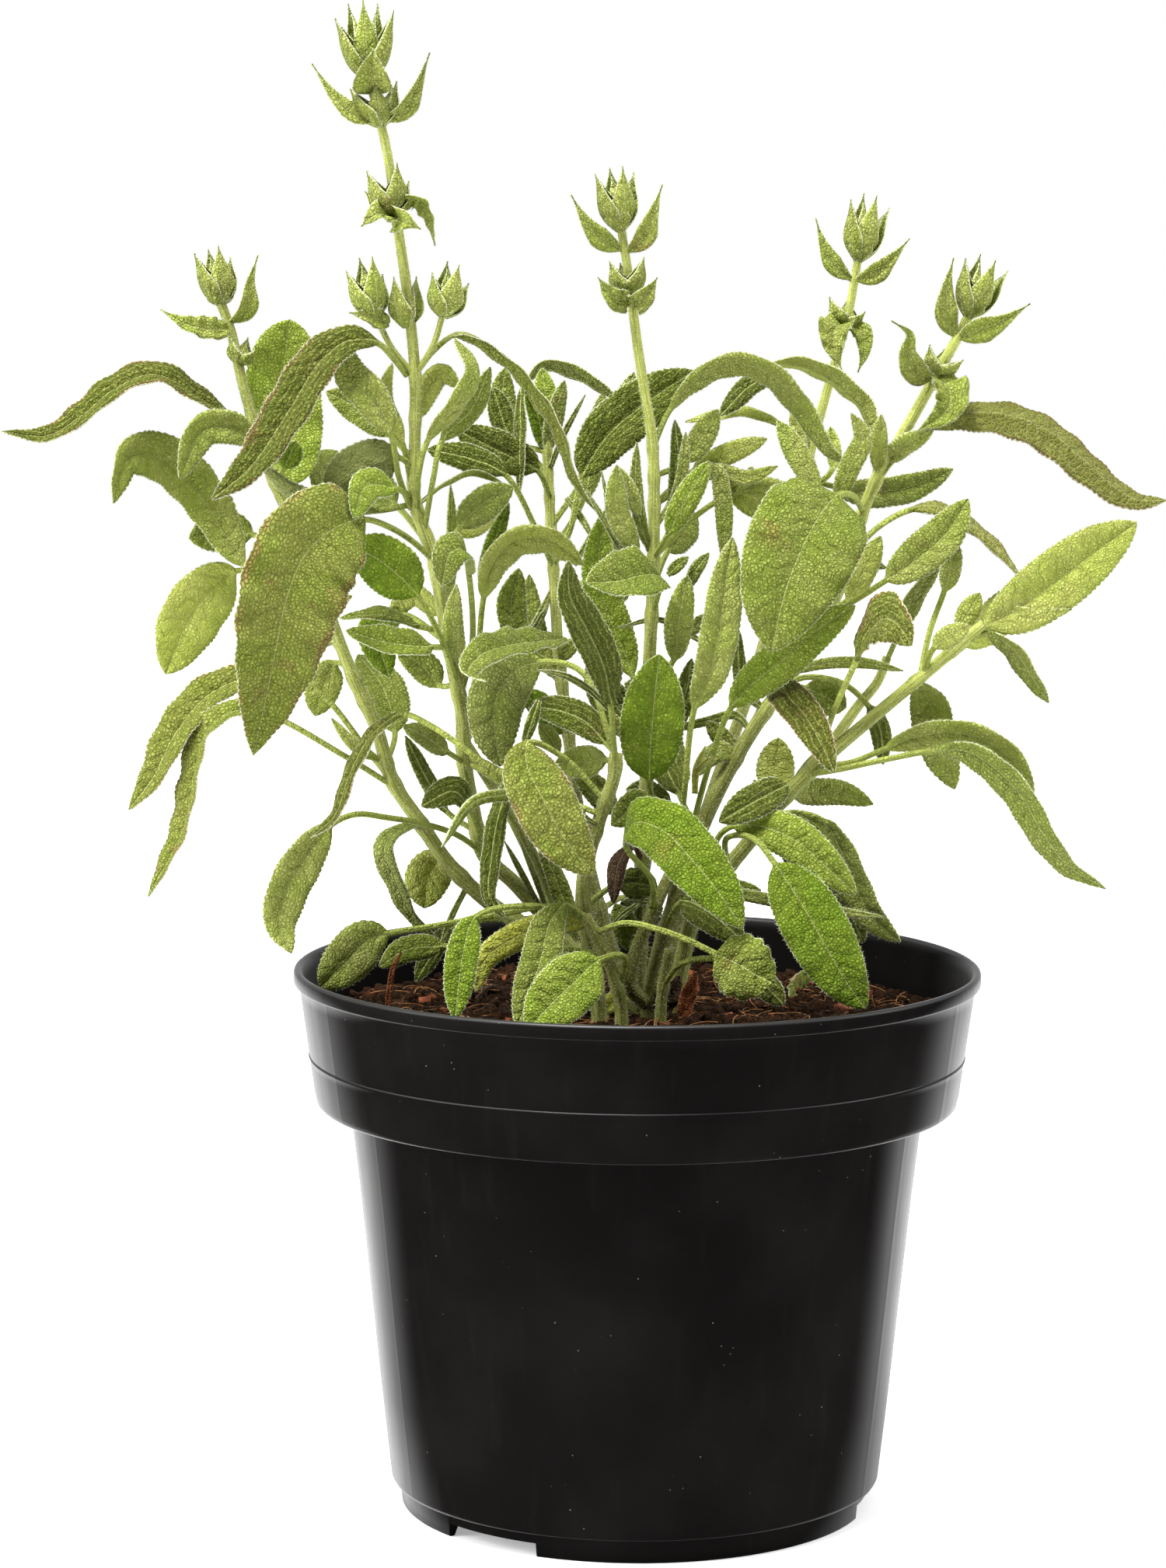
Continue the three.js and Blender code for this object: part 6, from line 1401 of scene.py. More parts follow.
class Growth:
    """A Geometry Nodes tree with named inputs that grows something on a mesh."""

    def __init__(self, name: str, inputs: dict[str, float]) -> None:
        """Makes the tree with one mesh input and the named numbers.

        Args:
            name: the tree's name.
            inputs: the numbers and what they are unless a run says otherwise.
        """
        self.inputs = inputs
        self.tree = bpy.data.node_groups.new(name, "GeometryNodeTree")
        self.graph = Graph(self.tree)
        sockets = self.tree.interface
        for way in ("INPUT", "OUTPUT"):
            sockets.new_socket("Geometry", in_out=way, socket_type="NodeSocketGeometry")
        self.keys: dict[str, str] = {}
        for label, value in inputs.items():
            kind = "NodeSocketInt" if isinstance(value, int) else "NodeSocketFloat"
            made = sockets.new_socket(label, in_out="INPUT", socket_type=kind)
            self.keys[label] = made.identifier
        self.source = self.graph.node("NodeGroupInput")

    def take(self, label: str) -> Signal:
        """One of the tree's inputs."""
        return self.source.also(label)

    def chance(self, low: float, high: float, seed: Any) -> Signal:
        """A number drawn for each point."""
        sockets = {"Min_001": low, "Max_001": high, "Seed": seed}
        return self.graph.node("FunctionNodeRandomValue", {"data_type": "FLOAT"}, sockets, "Value_001")

    def chance_vector(self, low: float, high: float, seed: int) -> Signal:
        """A direction or size drawn for each point."""
        sockets = {"Min": (low,) * 3, "Max": (high,) * 3, "Seed": seed}
        return self.graph.node("FunctionNodeRandomValue", {"data_type": "FLOAT_VECTOR"}, sockets)

    def spread(self, steepest: float = -1.0, within: float = 1.0) -> Signal:
        """Points on faces.

        Args:
            steepest: the least that a chosen face's normal rises.
            within: how far from the pot's axis they may be, in metres.

        Returns:
            The points.
        """
        graph = self.graph
        rise = graph.split(graph.node("GeometryNodeInputNormal"))[2]
        place = graph.node("GeometryNodeInputPosition")
        away = graph.vector_maths("SUBTRACT", {0: place, 1: tuple(AXIS)})
        level = graph.vector_maths("MULTIPLY", {0: away, 1: (1.0, 1.0, 0.0)})
        radius = graph.vector_maths("LENGTH", {0: level}, "Value")
        rising = rise.maths("GREATER_THAN", rise, steepest)
        sockets = {
            "Mesh": self.take("Geometry"),
            "Selection": rising * radius.maths("LESS_THAN", radius, within),
            "Density": self.take("Density"),
            "Seed": self.take("Seed"),
        }
        return graph.node("GeometryNodeDistributePointsOnFaces", None, sockets, "Points")

    def hair(self) -> Signal:
        """A thin three-sided spike."""
        size = {"Radius Bottom": self.take("Root"), "Depth": self.take("Length")}
        return self.graph.node("GeometryNodeMeshCone", None, {"Vertices": 3, "Radius Top": 0.0, **size})

    def upright(self, direction: Signal) -> Signal:
        """The rotation that stands a shape along a direction."""
        settings = {"axis": "Z"}
        return self.graph.node("FunctionNodeAlignRotationToVector", settings, {"Vector": direction})

    def turned(self, angles: Signal) -> Signal:
        """The rotation by three angles."""
        return self.graph.node("FunctionNodeEulerToRotation", None, {0: angles})

    def laid(self, roll: float, pitch: float) -> Signal:
        """A rotation drawn for each point: up to `roll` and `pitch` out of level, any way round."""
        tilts = self.chance(-roll, roll, 2), self.chance(-pitch, pitch, 3)
        return self.turned(self.graph.join(*tilts, self.chance(0.0, FULL_TURN, 4)))

    def grow(
        self, points: Signal, shape: Signal, rotation: Signal, scale: Signal, material: bpy.types.Material
    ) -> None:
        """Ends the tree with one shape on each point.

        Args:
            points: where the shapes stand.
            shape: the shape.
            rotation: how each is turned.
            scale: how large each is.
            material: what they are made of.
        """
        sockets = {"Points": points, "Instance": shape, "Rotation": rotation, "Scale": scale}
        placed = self.graph.node("GeometryNodeInstanceOnPoints", None, sockets)
        real = self.graph.node("GeometryNodeRealizeInstances", None, {0: placed})
        dressed = self.graph.node("GeometryNodeSetMaterial", None, {0: real, "Material": material})
        self.graph.node("NodeGroupOutput", None, {0: dressed})

    def run(self, mesh: bpy.types.Mesh, name: str, values: dict[str, float]) -> bpy.types.Mesh:
        """Grows on a mesh.

        Args:
            mesh: what it grows on.
            name: the new mesh's name.
            values: the inputs that differ from the tree's own.

        Returns:
            The grown mesh alone.
        """
        host = put("host", mesh)
        modifier = host.modifiers.new("growth", "NODES")
        modifier.node_group = self.tree
        for label, value in {**self.inputs, **values}.items():
            modifier[self.keys[label]] = value
        scene = bpy.context.evaluated_depsgraph_get()
        made = bpy.data.meshes.new_from_object(host.evaluated_get(scene), depsgraph=scene)
        host.modifiers.remove(modifier)
        bpy.data.objects.remove(host)
        made.name = name
        made.shade_smooth()
        return made


class HairGrowth(Growth):
    """Fine hairs that stand off a surface."""

    def __init__(self, material: bpy.types.Material) -> None:
        """Makes the tree.

        Args:
            material: the hairs'.
        """
        inputs = {"Density": 1.7e6, "Length": 0.001, "Root": 0.000055, "Lean": 0.8, "Seed": 5}
        super().__init__("stem_down", inputs)
        points = self.spread()
        stray = {0: self.chance_vector(-1.0, 1.0, 3), "Scale": self.take("Lean")}
        lean = self.graph.vector_maths("SCALE", stray)
        way = self.graph.vector_maths("ADD", {0: points.also("Normal"), 1: lean})
        self.grow(points, self.hair(), self.upright(way), self.chance(0.5, 1.15, 8), material)


class FringeGrowth(Growth):
    """Fine hairs that point away from the margins of leaves, one on each point of a mesh."""

    def __init__(self, material: bpy.types.Material) -> None:
        """Makes the tree.

        Args:
            material: the hairs'.
        """
        super().__init__("leaf_fringe", {"Length": 0.0006, "Root": 0.000045, "Seed": 7})
        points = self.graph.node("GeometryNodeMeshToPoints", None, {"Mesh": self.take("Geometry")})
        settings = {"data_type": "FLOAT_VECTOR"}
        way = self.graph.node("GeometryNodeInputNamedAttribute", settings, {"Name": "outward"})
        scale = self.chance(0.45, 1.15, self.take("Seed"))
        self.grow(points, self.hair(), self.upright(way), scale, material)


class CrumbGrowth(Growth):
    """Crumbs of peat on level ground."""

    def __init__(self, material: bpy.types.Material) -> None:
        """Makes the tree.

        Args:
            material: the crumbs'.
        """
        super().__init__("peat_crumbs", {"Density": 2.6e5, "Size": 0.0011, "Seed": 11})
        points = self.spread(0.6, 0.0778)
        ball = {"Radius": self.take("Size"), "Subdivisions": 1}
        crumb = self.graph.node("GeometryNodeMeshIcoSphere", None, ball)
        turn = self.turned(self.chance_vector(0.0, FULL_TURN, 4))
        self.grow(points, crumb, turn, self.chance_vector(0.35, 1.35, 6), material)


class FibreGrowth(Growth):
    """Bent fibres that lie on level ground."""

    def __init__(self, material: bpy.types.Material) -> None:
        """Makes the tree.

        Args:
            material: the fibres'.
        """
        inputs = {"Density": 3.6e4, "Length": 0.01, "Thickness": 0.00012, "Seed": 13}
        super().__init__("peat_fibres", inputs)
        points = self.spread(0.6, 0.072)
        graph, length = self.graph, self.take("Length")
        bend = {
            "Resolution": 6,
            "Start": graph.join(length * -0.5, 0.0, 0.0),
            "Middle": graph.join(0.0, length * 0.25, length * 0.2),
            "End": graph.join(length * 0.5, 0.0, length * 0.05),
        }
        bow = graph.node("GeometryNodeCurveQuadraticBezier", None, bend)
        ring = {"Resolution": 4, "Radius": self.take("Thickness")}
        section = graph.node("GeometryNodeCurvePrimitiveCircle", None, ring)
        sweep = {"Curve": bow, "Profile Curve": section, "Fill Caps": True}
        tube = graph.node("GeometryNodeCurveToMesh", None, sweep)
        self.grow(points, tube, self.laid(0.35, 0.35), self.chance(0.35, 1.25, 9), material)


class BarkGrowth(Growth):
    """Chips of bark, half sunk into level ground."""

    def __init__(self, material: bpy.types.Material) -> None:
        """Makes the tree.

        Args:
            material: the chips'.
        """
        super().__init__("bark_chips", {"Density": 6e3, "Size": 0.0052, "Seed": 17})
        points = self.spread(0.6, 0.073)
        size = self.take("Size")
        extent = self.graph.join(size, size * 0.5, size * 0.3)
        block = self.graph.node("GeometryNodeMeshCube", None, {"Size": extent})
        self.grow(points, block, self.laid(0.5, 0.6), self.chance_vector(0.35, 1.25, 9), material)


class Outline:
    """How wide a blade is along its length, as a share of its full width."""

    def at(self, share: np.ndarray) -> np.ndarray:
        """The width's share at shares of the length."""
        raise NotImplementedError


@dataclass(frozen=True)
class LeafOutline(Outline):
    """The outline of a leaf: a long oval, fuller towards its foot."""

    skew: float = 0.88
    fullness: float = 2.3
    roundness: float = 0.72

    def at(self, share: np.ndarray) -> np.ndarray:
        """The width's share at shares of the length."""
        along = np.clip(share, 0.0, 1.0) ** self.skew
        return np.maximum(1.0 - np.abs(2.0 * along - 1.0) ** self.fullness, 0.0) ** self.roundness


@dataclass(frozen=True)
class SepalOutline(Outline):
    """The outline of a bract: full near its foot and drawn out to a long point."""

    widest: float = 0.4

    def rise(self, share: np.ndarray) -> np.ndarray:
        """How it widens from its foot to its widest place."""
        return 1.0 - (1.0 - np.minimum(share / self.widest, 1.0)) ** 2

    def at(self, share: np.ndarray) -> np.ndarray:
        """The width's share at shares of the length."""
        fall = np.clip((1.0 - share) / (1.0 - self.widest), 0.0, 1.0) ** 1.35
        return np.where(share < self.widest, self.rise(share), fall)


@dataclass(frozen=True)
class CalyxOutline(SepalOutline):
    """The outline of a flower's calyx: plump and egg-shaped with a short point."""

    widest: float = 0.36

    def at(self, share: np.ndarray) -> np.ndarray:
        """The width's share at shares of the length."""
        past = np.clip((share - self.widest) / (1.0 - self.widest), 0.0, 1.0)
        fall = (1.0 - past**1.8) * (1.0 - past) ** 0.35
        return np.where(share < self.widest, 0.3 + 0.7 * self.rise(share), fall)


@dataclass
class Blade:
    """One leaf: a round stalk that widens into a thin, crenate, quilted blade.

    `base` is the stalk's length, `face` the degrees that it is turned from the viewer, `twist` the
    degrees that it turns along its length, `fold` how steeply its halves rise, and `cup` how much
    its margins curl. Twist and face are reckoned over the steps of the solids.
    """

    route: Route
    base: float
    width: float
    face: float
    twist: float
    fold: float
    seed: float
    outline: Outline = LeafOutline()
    outward: Optional[np.ndarray] = None
    cup: float = 0.0
    step: float = 0.5
    stalk_step: float = 1.6
    thickness: float = 0.42
    rim: float = 0.24
    stalk: float = 0.74
    tip_half: float = 0.2
    tooth_pitch: float = 1.45
    tooth_depth: float = 0.42
    tooth_width: float = 11.0
    ripple: float = 0.085
    ripple_length: float = 10.5
    swell: float = 0.075
    groove: float = 0.24
    keel: float = 0.12
    keel_foot: float = 0.4
    solid_blade_step: float = 11.0
    solid_stalk_step: float = 17.0

    def spread(self) -> np.ndarray:
        """Spaces the points of a cross-section.

        Returns:
            Where they lie between the two edges, from -1 to 1.
        """
        if self.width < 7.6:
            half = [0.0, 0.5, 1.0]
        elif self.width < 14.0:
            half = [0.0, 0.14, 0.42, 0.74, 1.0]
        else:
            half = [0.0, 0.1, 0.32, 0.56, 0.8, 1.0]
        return np.array([-t for t in reversed(half[1:])] + half)

    def share(self, lengths: np.ndarray) -> np.ndarray:
        """How far along the blade distances along the route are, from 0 to 1."""
        return np.clip((lengths - self.base) / (self.route.total - self.base), 0.0, 1.0)

    def solid_steps(self) -> tuple[int, int]:
        """How many steps the stalk and the blade have in the solids."""
        stalk = max(1, round(self.base / self.solid_stalk_step)) if self.base > 0.0 else 0
        return stalk, min(max(round((self.route.total - self.base) / self.solid_blade_step), 3), 6)

    def stations(self) -> tuple[np.ndarray, int]:
        """Spaces the cross-sections.

        Returns:
            Their distances along the route, and the number of the one where the face is set.
        """
        run = self.route.total - self.base
        blade = np.linspace(self.base, self.route.total, max(int(run / self.step), 8) + 1)
        count = max(int(self.base / self.stalk_step), 1)
        stalk = np.linspace(0.0, self.base, count, endpoint=False)
        lengths = np.concatenate([stalk, blade]) if self.base > 0.0 else blade
        steps = self.solid_steps()[1]
        middle = self.base + run * round(steps / 2 + 0.001) / steps
        return lengths, int(np.argmin(np.abs(lengths - middle)))

    def frames(self, lengths: np.ndarray, anchor: int) -> tuple[np.ndarray, ...]:
        """Finds how the leaf lies along its route.

        Args:
            lengths: distances along the route.
            anchor: the number of the one where the face is set.

        Returns:
            Points, normals and sideways directions.
        """
        points = self.route.at(lengths)
        tangents = self.route.tangents(lengths)
        face = self.outward
        if face is None:
            face = facing(points[anchor], tangents[anchor], self.face)
        faces = carry(tangents, anchor, face)
        stalk_steps, blade_steps = self.solid_steps()
        on_stalk = lengths / max(self.base, 1e-6) * stalk_steps
        on_blade = stalk_steps + self.share(lengths) * blade_steps
        number = np.where(lengths < self.base, on_stalk, on_blade)
        angle = math.radians(self.twist) * (number - number[anchor]) / (stalk_steps + blade_steps + 1)
        cosine, sine = np.cos(angle)[:, None], np.sin(angle)[:, None]
        normals = faces * cosine + np.cross(tangents, faces) * sine
        return points, normals, unit(np.cross(tangents, normals))

    def half_widths(self, lengths: np.ndarray, ends: np.ndarray) -> np.ndarray:
        """Finds half the leaf's width.

        Args:
            lengths: distances along the route.
            ends: how fully the teeth are out there.

        Returns:
            Half the width there, with the teeth.
        """
        share = self.share(lengths)
        teeth = np.abs(np.sin(np.pi * lengths / self.tooth_pitch + self.phase)) - 0.6
        least = np.where(share < 0.5, self.stalk, self.tip_half)
        half = np.maximum(self.width / 2.0 * self.outline.at(share), least)
        return half + self.tooth_depth * teeth * ends * min(self.width / self.tooth_width, 1.0)

    @property
    def phase(self) -> float:
        """Where teeth and ripples begin."""
        return self.seed * 40.0

    def lift(self, lengths: np.ndarray, wide: np.ndarray, blade: np.ndarray, ends: np.ndarray) -> np.ndarray:
        """Finds how the blade is folded, quilted, cupped and rippled.

        Args:
            lengths: distances along the route.
            wide: half the width there, as a column.
            blade: how fully the stalk has become blade there, as a column.
            ends: how fully the ripples are out there.

        Returns:
            How far each point of each cross-section is raised.
        """
        t = self.spread()[None, :]
        size = np.abs(t)
        turns = 2.0 * np.pi * lengths / self.ripple_length
        wave = np.sin(turns + self.phase)[:, None]
        other = np.sin(turns * 1.17 + self.phase * 1.7)[:, None]
        ruffle = np.where(t < 0.0, wave, other) * size**2 * ends[:, None]
        lift = self.fold * np.maximum(wide - STALK_HALF, 0.0) * size**1.2 * blade
        lift = lift + self.swell * wide * np.sin(np.pi * size) * blade
        return lift + self.cup * wide * t**2 * blade + self.ripple * wide * ruffle

    def add_to(self, surface: Surface, slot: int) -> tuple[np.ndarray, np.ndarray]:
        """Adds the leaf to a surface.

        Args:
            surface: what it is added to.
            slot: its material's number.

        Returns:
            Points on its two margins, and the directions away from it there.
        """
        lengths, anchor = self.stations()
        points, normals, sides = self.frames(lengths, anchor)
        share = self.share(lengths)
        on_blade = smooth(0.0, 0.1, share) if self.base > 0.0 else np.ones_like(share)
        ends = smooth(0.02, 0.12, share) * smooth(1.0, 0.92, share)
        wide = self.half_widths(lengths, ends)[:, None]
        blade, t = on_blade[:, None], self.spread()[None, :]
        size = np.abs(t)
        flat = self.thickness / 2.0 * (1.0 - size**4) + self.rim / 2.0 * size**4
        rod = np.maximum(self.stalk * np.sqrt(np.maximum(1.0 - t**2, 0.0)), 0.1)
        rise = flat * blade + rod * (1.0 - blade)
        lift = self.lift(lengths, wide, blade, ends)
        middle = (size < 0.01) * blade
        top = lift + rise - self.groove * middle
        bottom = lift - rise - (self.keel + self.keel_foot * (1.0 - share)[:, None]) * middle
        across = wide * t
        place = points[:, None, :] + sides[:, None, :] * across[..., None]
        upper = place + normals[:, None, :] * top[..., None]
        lower = place + normals[:, None, :] * bottom[..., None]
        along = np.broadcast_to((lengths - self.base)[:, None], across.shape)
        sheet = np.stack([along, across], axis=-1)
        edge = size * blade
        numbers = np.empty((len(lengths), 2 * t.size, 3))
        numbers[..., 0] = np.concatenate([edge, edge[:, ::-1]], axis=1)
        numbers[..., 1] = self.seed
        numbers[..., 2] = np.repeat([[0.0, 1.0]], t.size, axis=1) * blade
        rings = np.concatenate([upper, lower[:, ::-1]], axis=1)
        surface.add_rings(rings, np.concatenate([sheet, sheet[:, ::-1]], axis=1), numbers, slot)
        kept = share > 0.03
        margins = np.concatenate([upper[kept, 0], upper[kept, -1]])
        return margins, np.concatenate([-sides[kept], sides[kept]])


# Leaves whose outline or margin differs from the usual one, by their stem and width.
CUTS: dict[tuple[str, float], dict[str, Any]] = {
    ("tall_stem", 27): {"outline": LeafOutline(0.68, 2.0, 0.85)},
    ("right_stem", 27.5): {"outline": LeafOutline(0.7)},
    ("far_left_stem", 19): {"outline": LeafOutline(1.0, 3.0, 0.62)},
    ("low_front_shoot", 15.5): {"tooth_pitch": 3.1, "tooth_depth": 0.8, "ripple": 0.16},
    ("rear_stem", 9.5): {"ripple": 0.12, "ripple_length": 14.0},
    ("front_stem", 3.2): {"thickness": 2.4, "rim": 1.0},
}


@dataclass
class Sepals:
    """One tip of a flower head: a broad boat-shaped bract with a long point, and one behind it."""

    seat: np.ndarray
    tip: np.ndarray
    axis: np.ndarray
    seed: float
    front: bool
    belly: float = 2.3
    width: float = 6.8
    usual_length: float = 11.0
    spacing: float = 5.0
    nearness: float = 0.8
    shares: tuple[float, ...] = (0.0, 0.22, 0.5, 0.78, 1.0)
    bulge: tuple[float, ...] = (0.3, 1.0, 1.0, 0.45, 0.1)
    shorter: float = 0.14
    narrower: float = 0.2

    def outward(self) -> np.ndarray:
        """Finds which way the bract in front bulges.

        Returns:
            The direction away from the middle of the head.
        """
        aside = self.tip - self.seat
        aside = aside - self.axis * float(aside @ self.axis)
        aside[1] = 0.0
        nearer = np.array([0.0, -1.0 if self.front else 1.0, 0.0])
        away = aside / self.spacing + nearer * self.nearness
        return unit(away - self.axis * float(away @ self.axis))

    def add_to(self, surface: Surface, slot: int) -> None:
        """Adds the bracts to a surface.

        Args:
            surface: what they are added to.
            slot: their material's number.
        """
        run = self.tip - self.seat
        length = float(np.linalg.norm(run))
        outward = self.outward()
        scale = min(1.0, length / self.usual_length) ** 0.7
        depth = (np.array(self.bulge) * self.belly * scale)[:, None]
        for number, side in enumerate((1.0, -1.0)):
            reach = length * (1.0 - self.shorter * number)
            places = self.seat + run / length * (np.array(self.shares) * reach)[:, None]
            width = self.width * scale * (1.0 - self.narrower * number)
            bract = Blade(
                Route(places + outward * side * depth), 0.0, width, 0.0, 0.0, 0.0,
                (self.seed + number * 0.37) % 1.0,
                outline=CalyxOutline(), outward=outward * side, cup=-0.42, step=0.7,
                thickness=0.34, rim=0.2, tooth_depth=0.06, ripple=0.03,
            )
            bract.add_to(surface, slot)


@dataclass
class Rind:
    """A rounded square stem that narrows upwards and swells where leaves leave it."""

    route: Route
    foot: float
    head: float
    joints: list[float]
    seed: float
    # How pale the rind is painted at its top and at its foot: its own darker foot, painted shade and painted
    # light.
    painted_pale_top: float
    painted_pale_foot: float
    sides: int = 12
    step: float = 1.3
    swell: float = 0.2
    swell_length: float = 1.7
    girth: float = 0.84
    corner: float = 0.09
    turn: float = 45.0
    # Between these heights the painted shade below gives way to the painted light above.
    painted_shade_from: float = 135.0
    painted_shade_to: float = 250.0

    def add_to(self, surface: Surface, slot: int) -> None:
        """Adds the stem to a surface.

        Args:
            surface: what it is added to.
            slot: its material's number.
        """
        count = max(int(self.route.total / self.step), 6)
        lengths = np.linspace(0.0, self.route.total, count + 1)
        points = self.route.at(lengths)
        tangents = self.route.tangents(lengths)
        normals = carry(tangents, 0, facing(points[0], tangents[0], self.turn))
        sides = np.cross(tangents, normals)
        half = np.interp(lengths, [0.0, self.route.total], [self.foot, self.head]) / 2.0
        for joint in self.joints:
            half = half * (1.0 + self.swell * np.exp(-(((lengths - joint) / self.swell_length) ** 2)))
        angle = np.arange(self.sides) * 2.0 * np.pi / self.sides + np.pi / 4.0
        corner = self.girth + self.corner * np.cos(4.0 * (angle - np.pi / 4.0))
        # The order of the points runs against the angle, so that the faces look outwards.
        angle, corner = angle[::-1], corner[::-1]
        radius = half[:, None] * corner[None, :]
        rings = points[:, None, :] + sides[:, None, :] * (radius * np.cos(angle))[..., None]
        rings = rings + normals[:, None, :] * (radius * np.sin(angle))[..., None]
        around = np.broadcast_to(np.abs(angle - angle.mean())[None, :] * 2.2, radius.shape)
        chart = np.stack([np.broadcast_to(lengths[:, None], radius.shape), around], axis=-1)
        numbers = np.zeros((*radius.shape, 3))
        # Painted light and shade by height, carried to the material in the edge number.
        height = smooth(self.painted_shade_from, self.painted_shade_to, points[:, 2])[:, None]
        pale = self.painted_pale_foot + (self.painted_pale_top - self.painted_pale_foot) * height**1.4
        numbers[..., 0] = pale / STEM_PAINTED_PALEST
        numbers[..., 1] = self.seed
        surface.add_rings(rings, chart, numbers, slot)


class Wardrobe:
    """Every finish of the part, made once."""

    def __init__(self) -> None:
        """Builds the materials."""
        self.tones = list(LEAF_FINISHES)
        self.leaves = [LEAF_FINISHES[tone].build() for tone in self.tones]
        self.stem = StemFinish().build()
        self.down = DownFinish().build()
        self.plastic = BlackPlasticFinish().build()
        self.peat = LitterFinish("peat", (12, 6, 2), (54, 33, 16), 900.0).build()
        self.bark = LitterFinish("bark", (68, 34, 20), (138, 78, 48), 500.0, 0.75).build()
        self.fibre = LitterFinish("fibre", (104, 64, 36), (172, 126, 80), 700.0, 0.8).build()

    def number(self, tone: Tone) -> int:
        """The slot of a tone in the list of leaf materials."""
        return self.tones.index(tone)


@dataclass
class Shoot:
    """One stem of the plant with the leaves, bracts and buds on it."""

    name: str
    wardrobe: Wardrobe
    hairs: HairGrowth
    fringe: FringeGrowth
    number: int
    fringe_share: float = 1.0
    fringe_stray: float = 0.45
    frill_rise: float = 6.0
    broad_length: float = 14.0
    broad_width: float = 8.0
    bud_depth: float = 2.5
    joint_reach: float = 4.0
    joint_gap: float = 3.0
    margins: list[np.ndarray] = field(default_factory=list)
    outwards: list[np.ndarray] = field(default_factory=list)

    def seed(self, index: int) -> float:
        """A number between 0 and 1 for each leaf."""
        return (0.137 * self.number + GOLDEN * index) % 1.0

    def rows(self, table: dict[str, list[Any]]) -> list[Any]:
        """The rows of a table that belong to this shoot."""
        return table.get(self.name, [])

    def add_leaves(self, surface: Surface) -> None:
        """Adds every leaf.

        Args:
            surface: what they are added to.
        """
        for index, row in enumerate(self.rows(LEAVES) + self.rows(EXTRAS)):
            stalk, width, turn, twist, fold, tone, places = row
            route = Route.of(self.name, places)
            cut = CUTS.get((self.name, width), {})
            base = route.length_to(stalk)
            blade = Blade(route, base, width, turn, twist, fold, self.seed(index), **cut)
            self.keep(blade.add_to(surface, self.wardrobe.number(Tone(tone))), index)

    def add_bracts(self, surface: Surface) -> None:
        """Adds every small leaf under the buds. Level ones are frilled, and short broad ones plump.

        Args:
            surface: what they are added to.
        """
        fresh = self.wardrobe.number(Tone.FRESH)
        for index, (width, turn, places) in enumerate(self.rows(BRACTS), start=50):
            route = Route.of(self.name, places)
            bract = Blade(
                route, 0.0, width, turn, 0.0, 0.2, self.seed(index),
                outline=SepalOutline(), cup=0.3, tooth_depth=0.1, ripple=0.03,
            )
            if places[-1][1] - places[0][1] < self.frill_rise:
                bract.outline, bract.ripple, bract.ripple_length = CalyxOutline(), 0.3, 4.2
            elif route.total < self.broad_length and width > self.broad_width:
                bract.outline, bract.width = CalyxOutline(), width + 1.0
            self.keep(bract.add_to(surface, fresh), index)

    def keep(self, margin: tuple[np.ndarray, np.ndarray], index: int) -> None:
        """Keeps a share of a leaf's margin points for the fringe, with their hairs' directions.

        Args:
            margin: the points, and the directions away from the leaf there.
            index: the leaf's number, which seeds the draw.
        """
        points, away = margin
        draw = np.random.default_rng(1000 * self.number + index)
        chosen = draw.random(len(points)) < self.fringe_share
        stray = draw.normal(0.0, self.fringe_stray, (int(chosen.sum()), 3))
        self.margins.append(points[chosen])
        self.outwards.append(unit(away[chosen] + stray))

    def add_buds(self, surface: Surface) -> None:
        """Adds every bud of the shoot's clusters, nearer and further in turn.

        Args:
            surface: what they are added to.
        """
        fresh = self.wardrobe.number(Tone.FRESH)
        for index, (seat, tips) in enumerate(self.rows(BUDS)):
            foot = seen(self.name, seat)
            middle = np.mean([seen(self.name, (x, z, seat[2])) for x, z in tips], axis=0)
            axis = unit(middle - foot)
            for number, (across, up) in enumerate(tips):
                front = number % 2 == 0
                nearer = seat[2] + (self.bud_depth if front else -self.bud_depth)
                tip = seen(self.name, (across, up, nearer))
                seed = self.seed(index * 7 + number)
                Sepals(foot, tip, axis, seed, front).add_to(surface, fresh)

    def joints(self, route: Route) -> list[float]:
        """Finds where leaves leave the stem.

        Args:
            route: the stem's route.

        Returns:
            Distances along it, with no two close together.
        """
        ticks = np.linspace(0.0, route.total, 500)
        points = route.at(ticks)
        found = []
        for row in self.rows(LEAVES):
            gaps = np.linalg.norm(points - seen(self.name, row[-1][0]), axis=1)
            if gaps.min() < self.joint_reach:
                found.append(float(ticks[int(gaps.argmin())]))
        found.sort()
        before = [-math.inf, *found]
        return [joint for joint, last in zip(found, before) if joint - last > self.joint_gap]

    def add_stems(self, surface: Surface) -> None:
        """Adds the stem and the thin stalks of its side buds.

        Args:
            surface: what they are added to.
        """
        for index, (foot, head, places) in enumerate(self.rows(STEMS) + self.rows(LIMBS)):
            route = Route.of(self.name, places)
            joints = self.joints(route) if index == 0 else []
            painted_shades = STEM_PAINTED_SHADES[self.name]
            Rind(route, foot, head, joints, self.seed(index), *painted_shades).add_to(surface, 0)

    def fringe_mesh(self) -> bpy.types.Mesh:
        """Grows the hairs on the leaf margins.

        Returns:
            Their mesh.
        """
        points = np.concatenate(self.margins) * MM + AXIS
        host = bpy.data.meshes.new("margins")
        host.vertices.add(len(points))
        host.vertices.foreach_set("co", points.ravel())
        outward = host.attributes.new("outward", "FLOAT_VECTOR", "POINT")
        outward.data.foreach_set("vector", np.concatenate(self.outwards).ravel())
        return self.fringe.run(host, f"{self.name}_fringe", {"Seed": 20 + self.number})

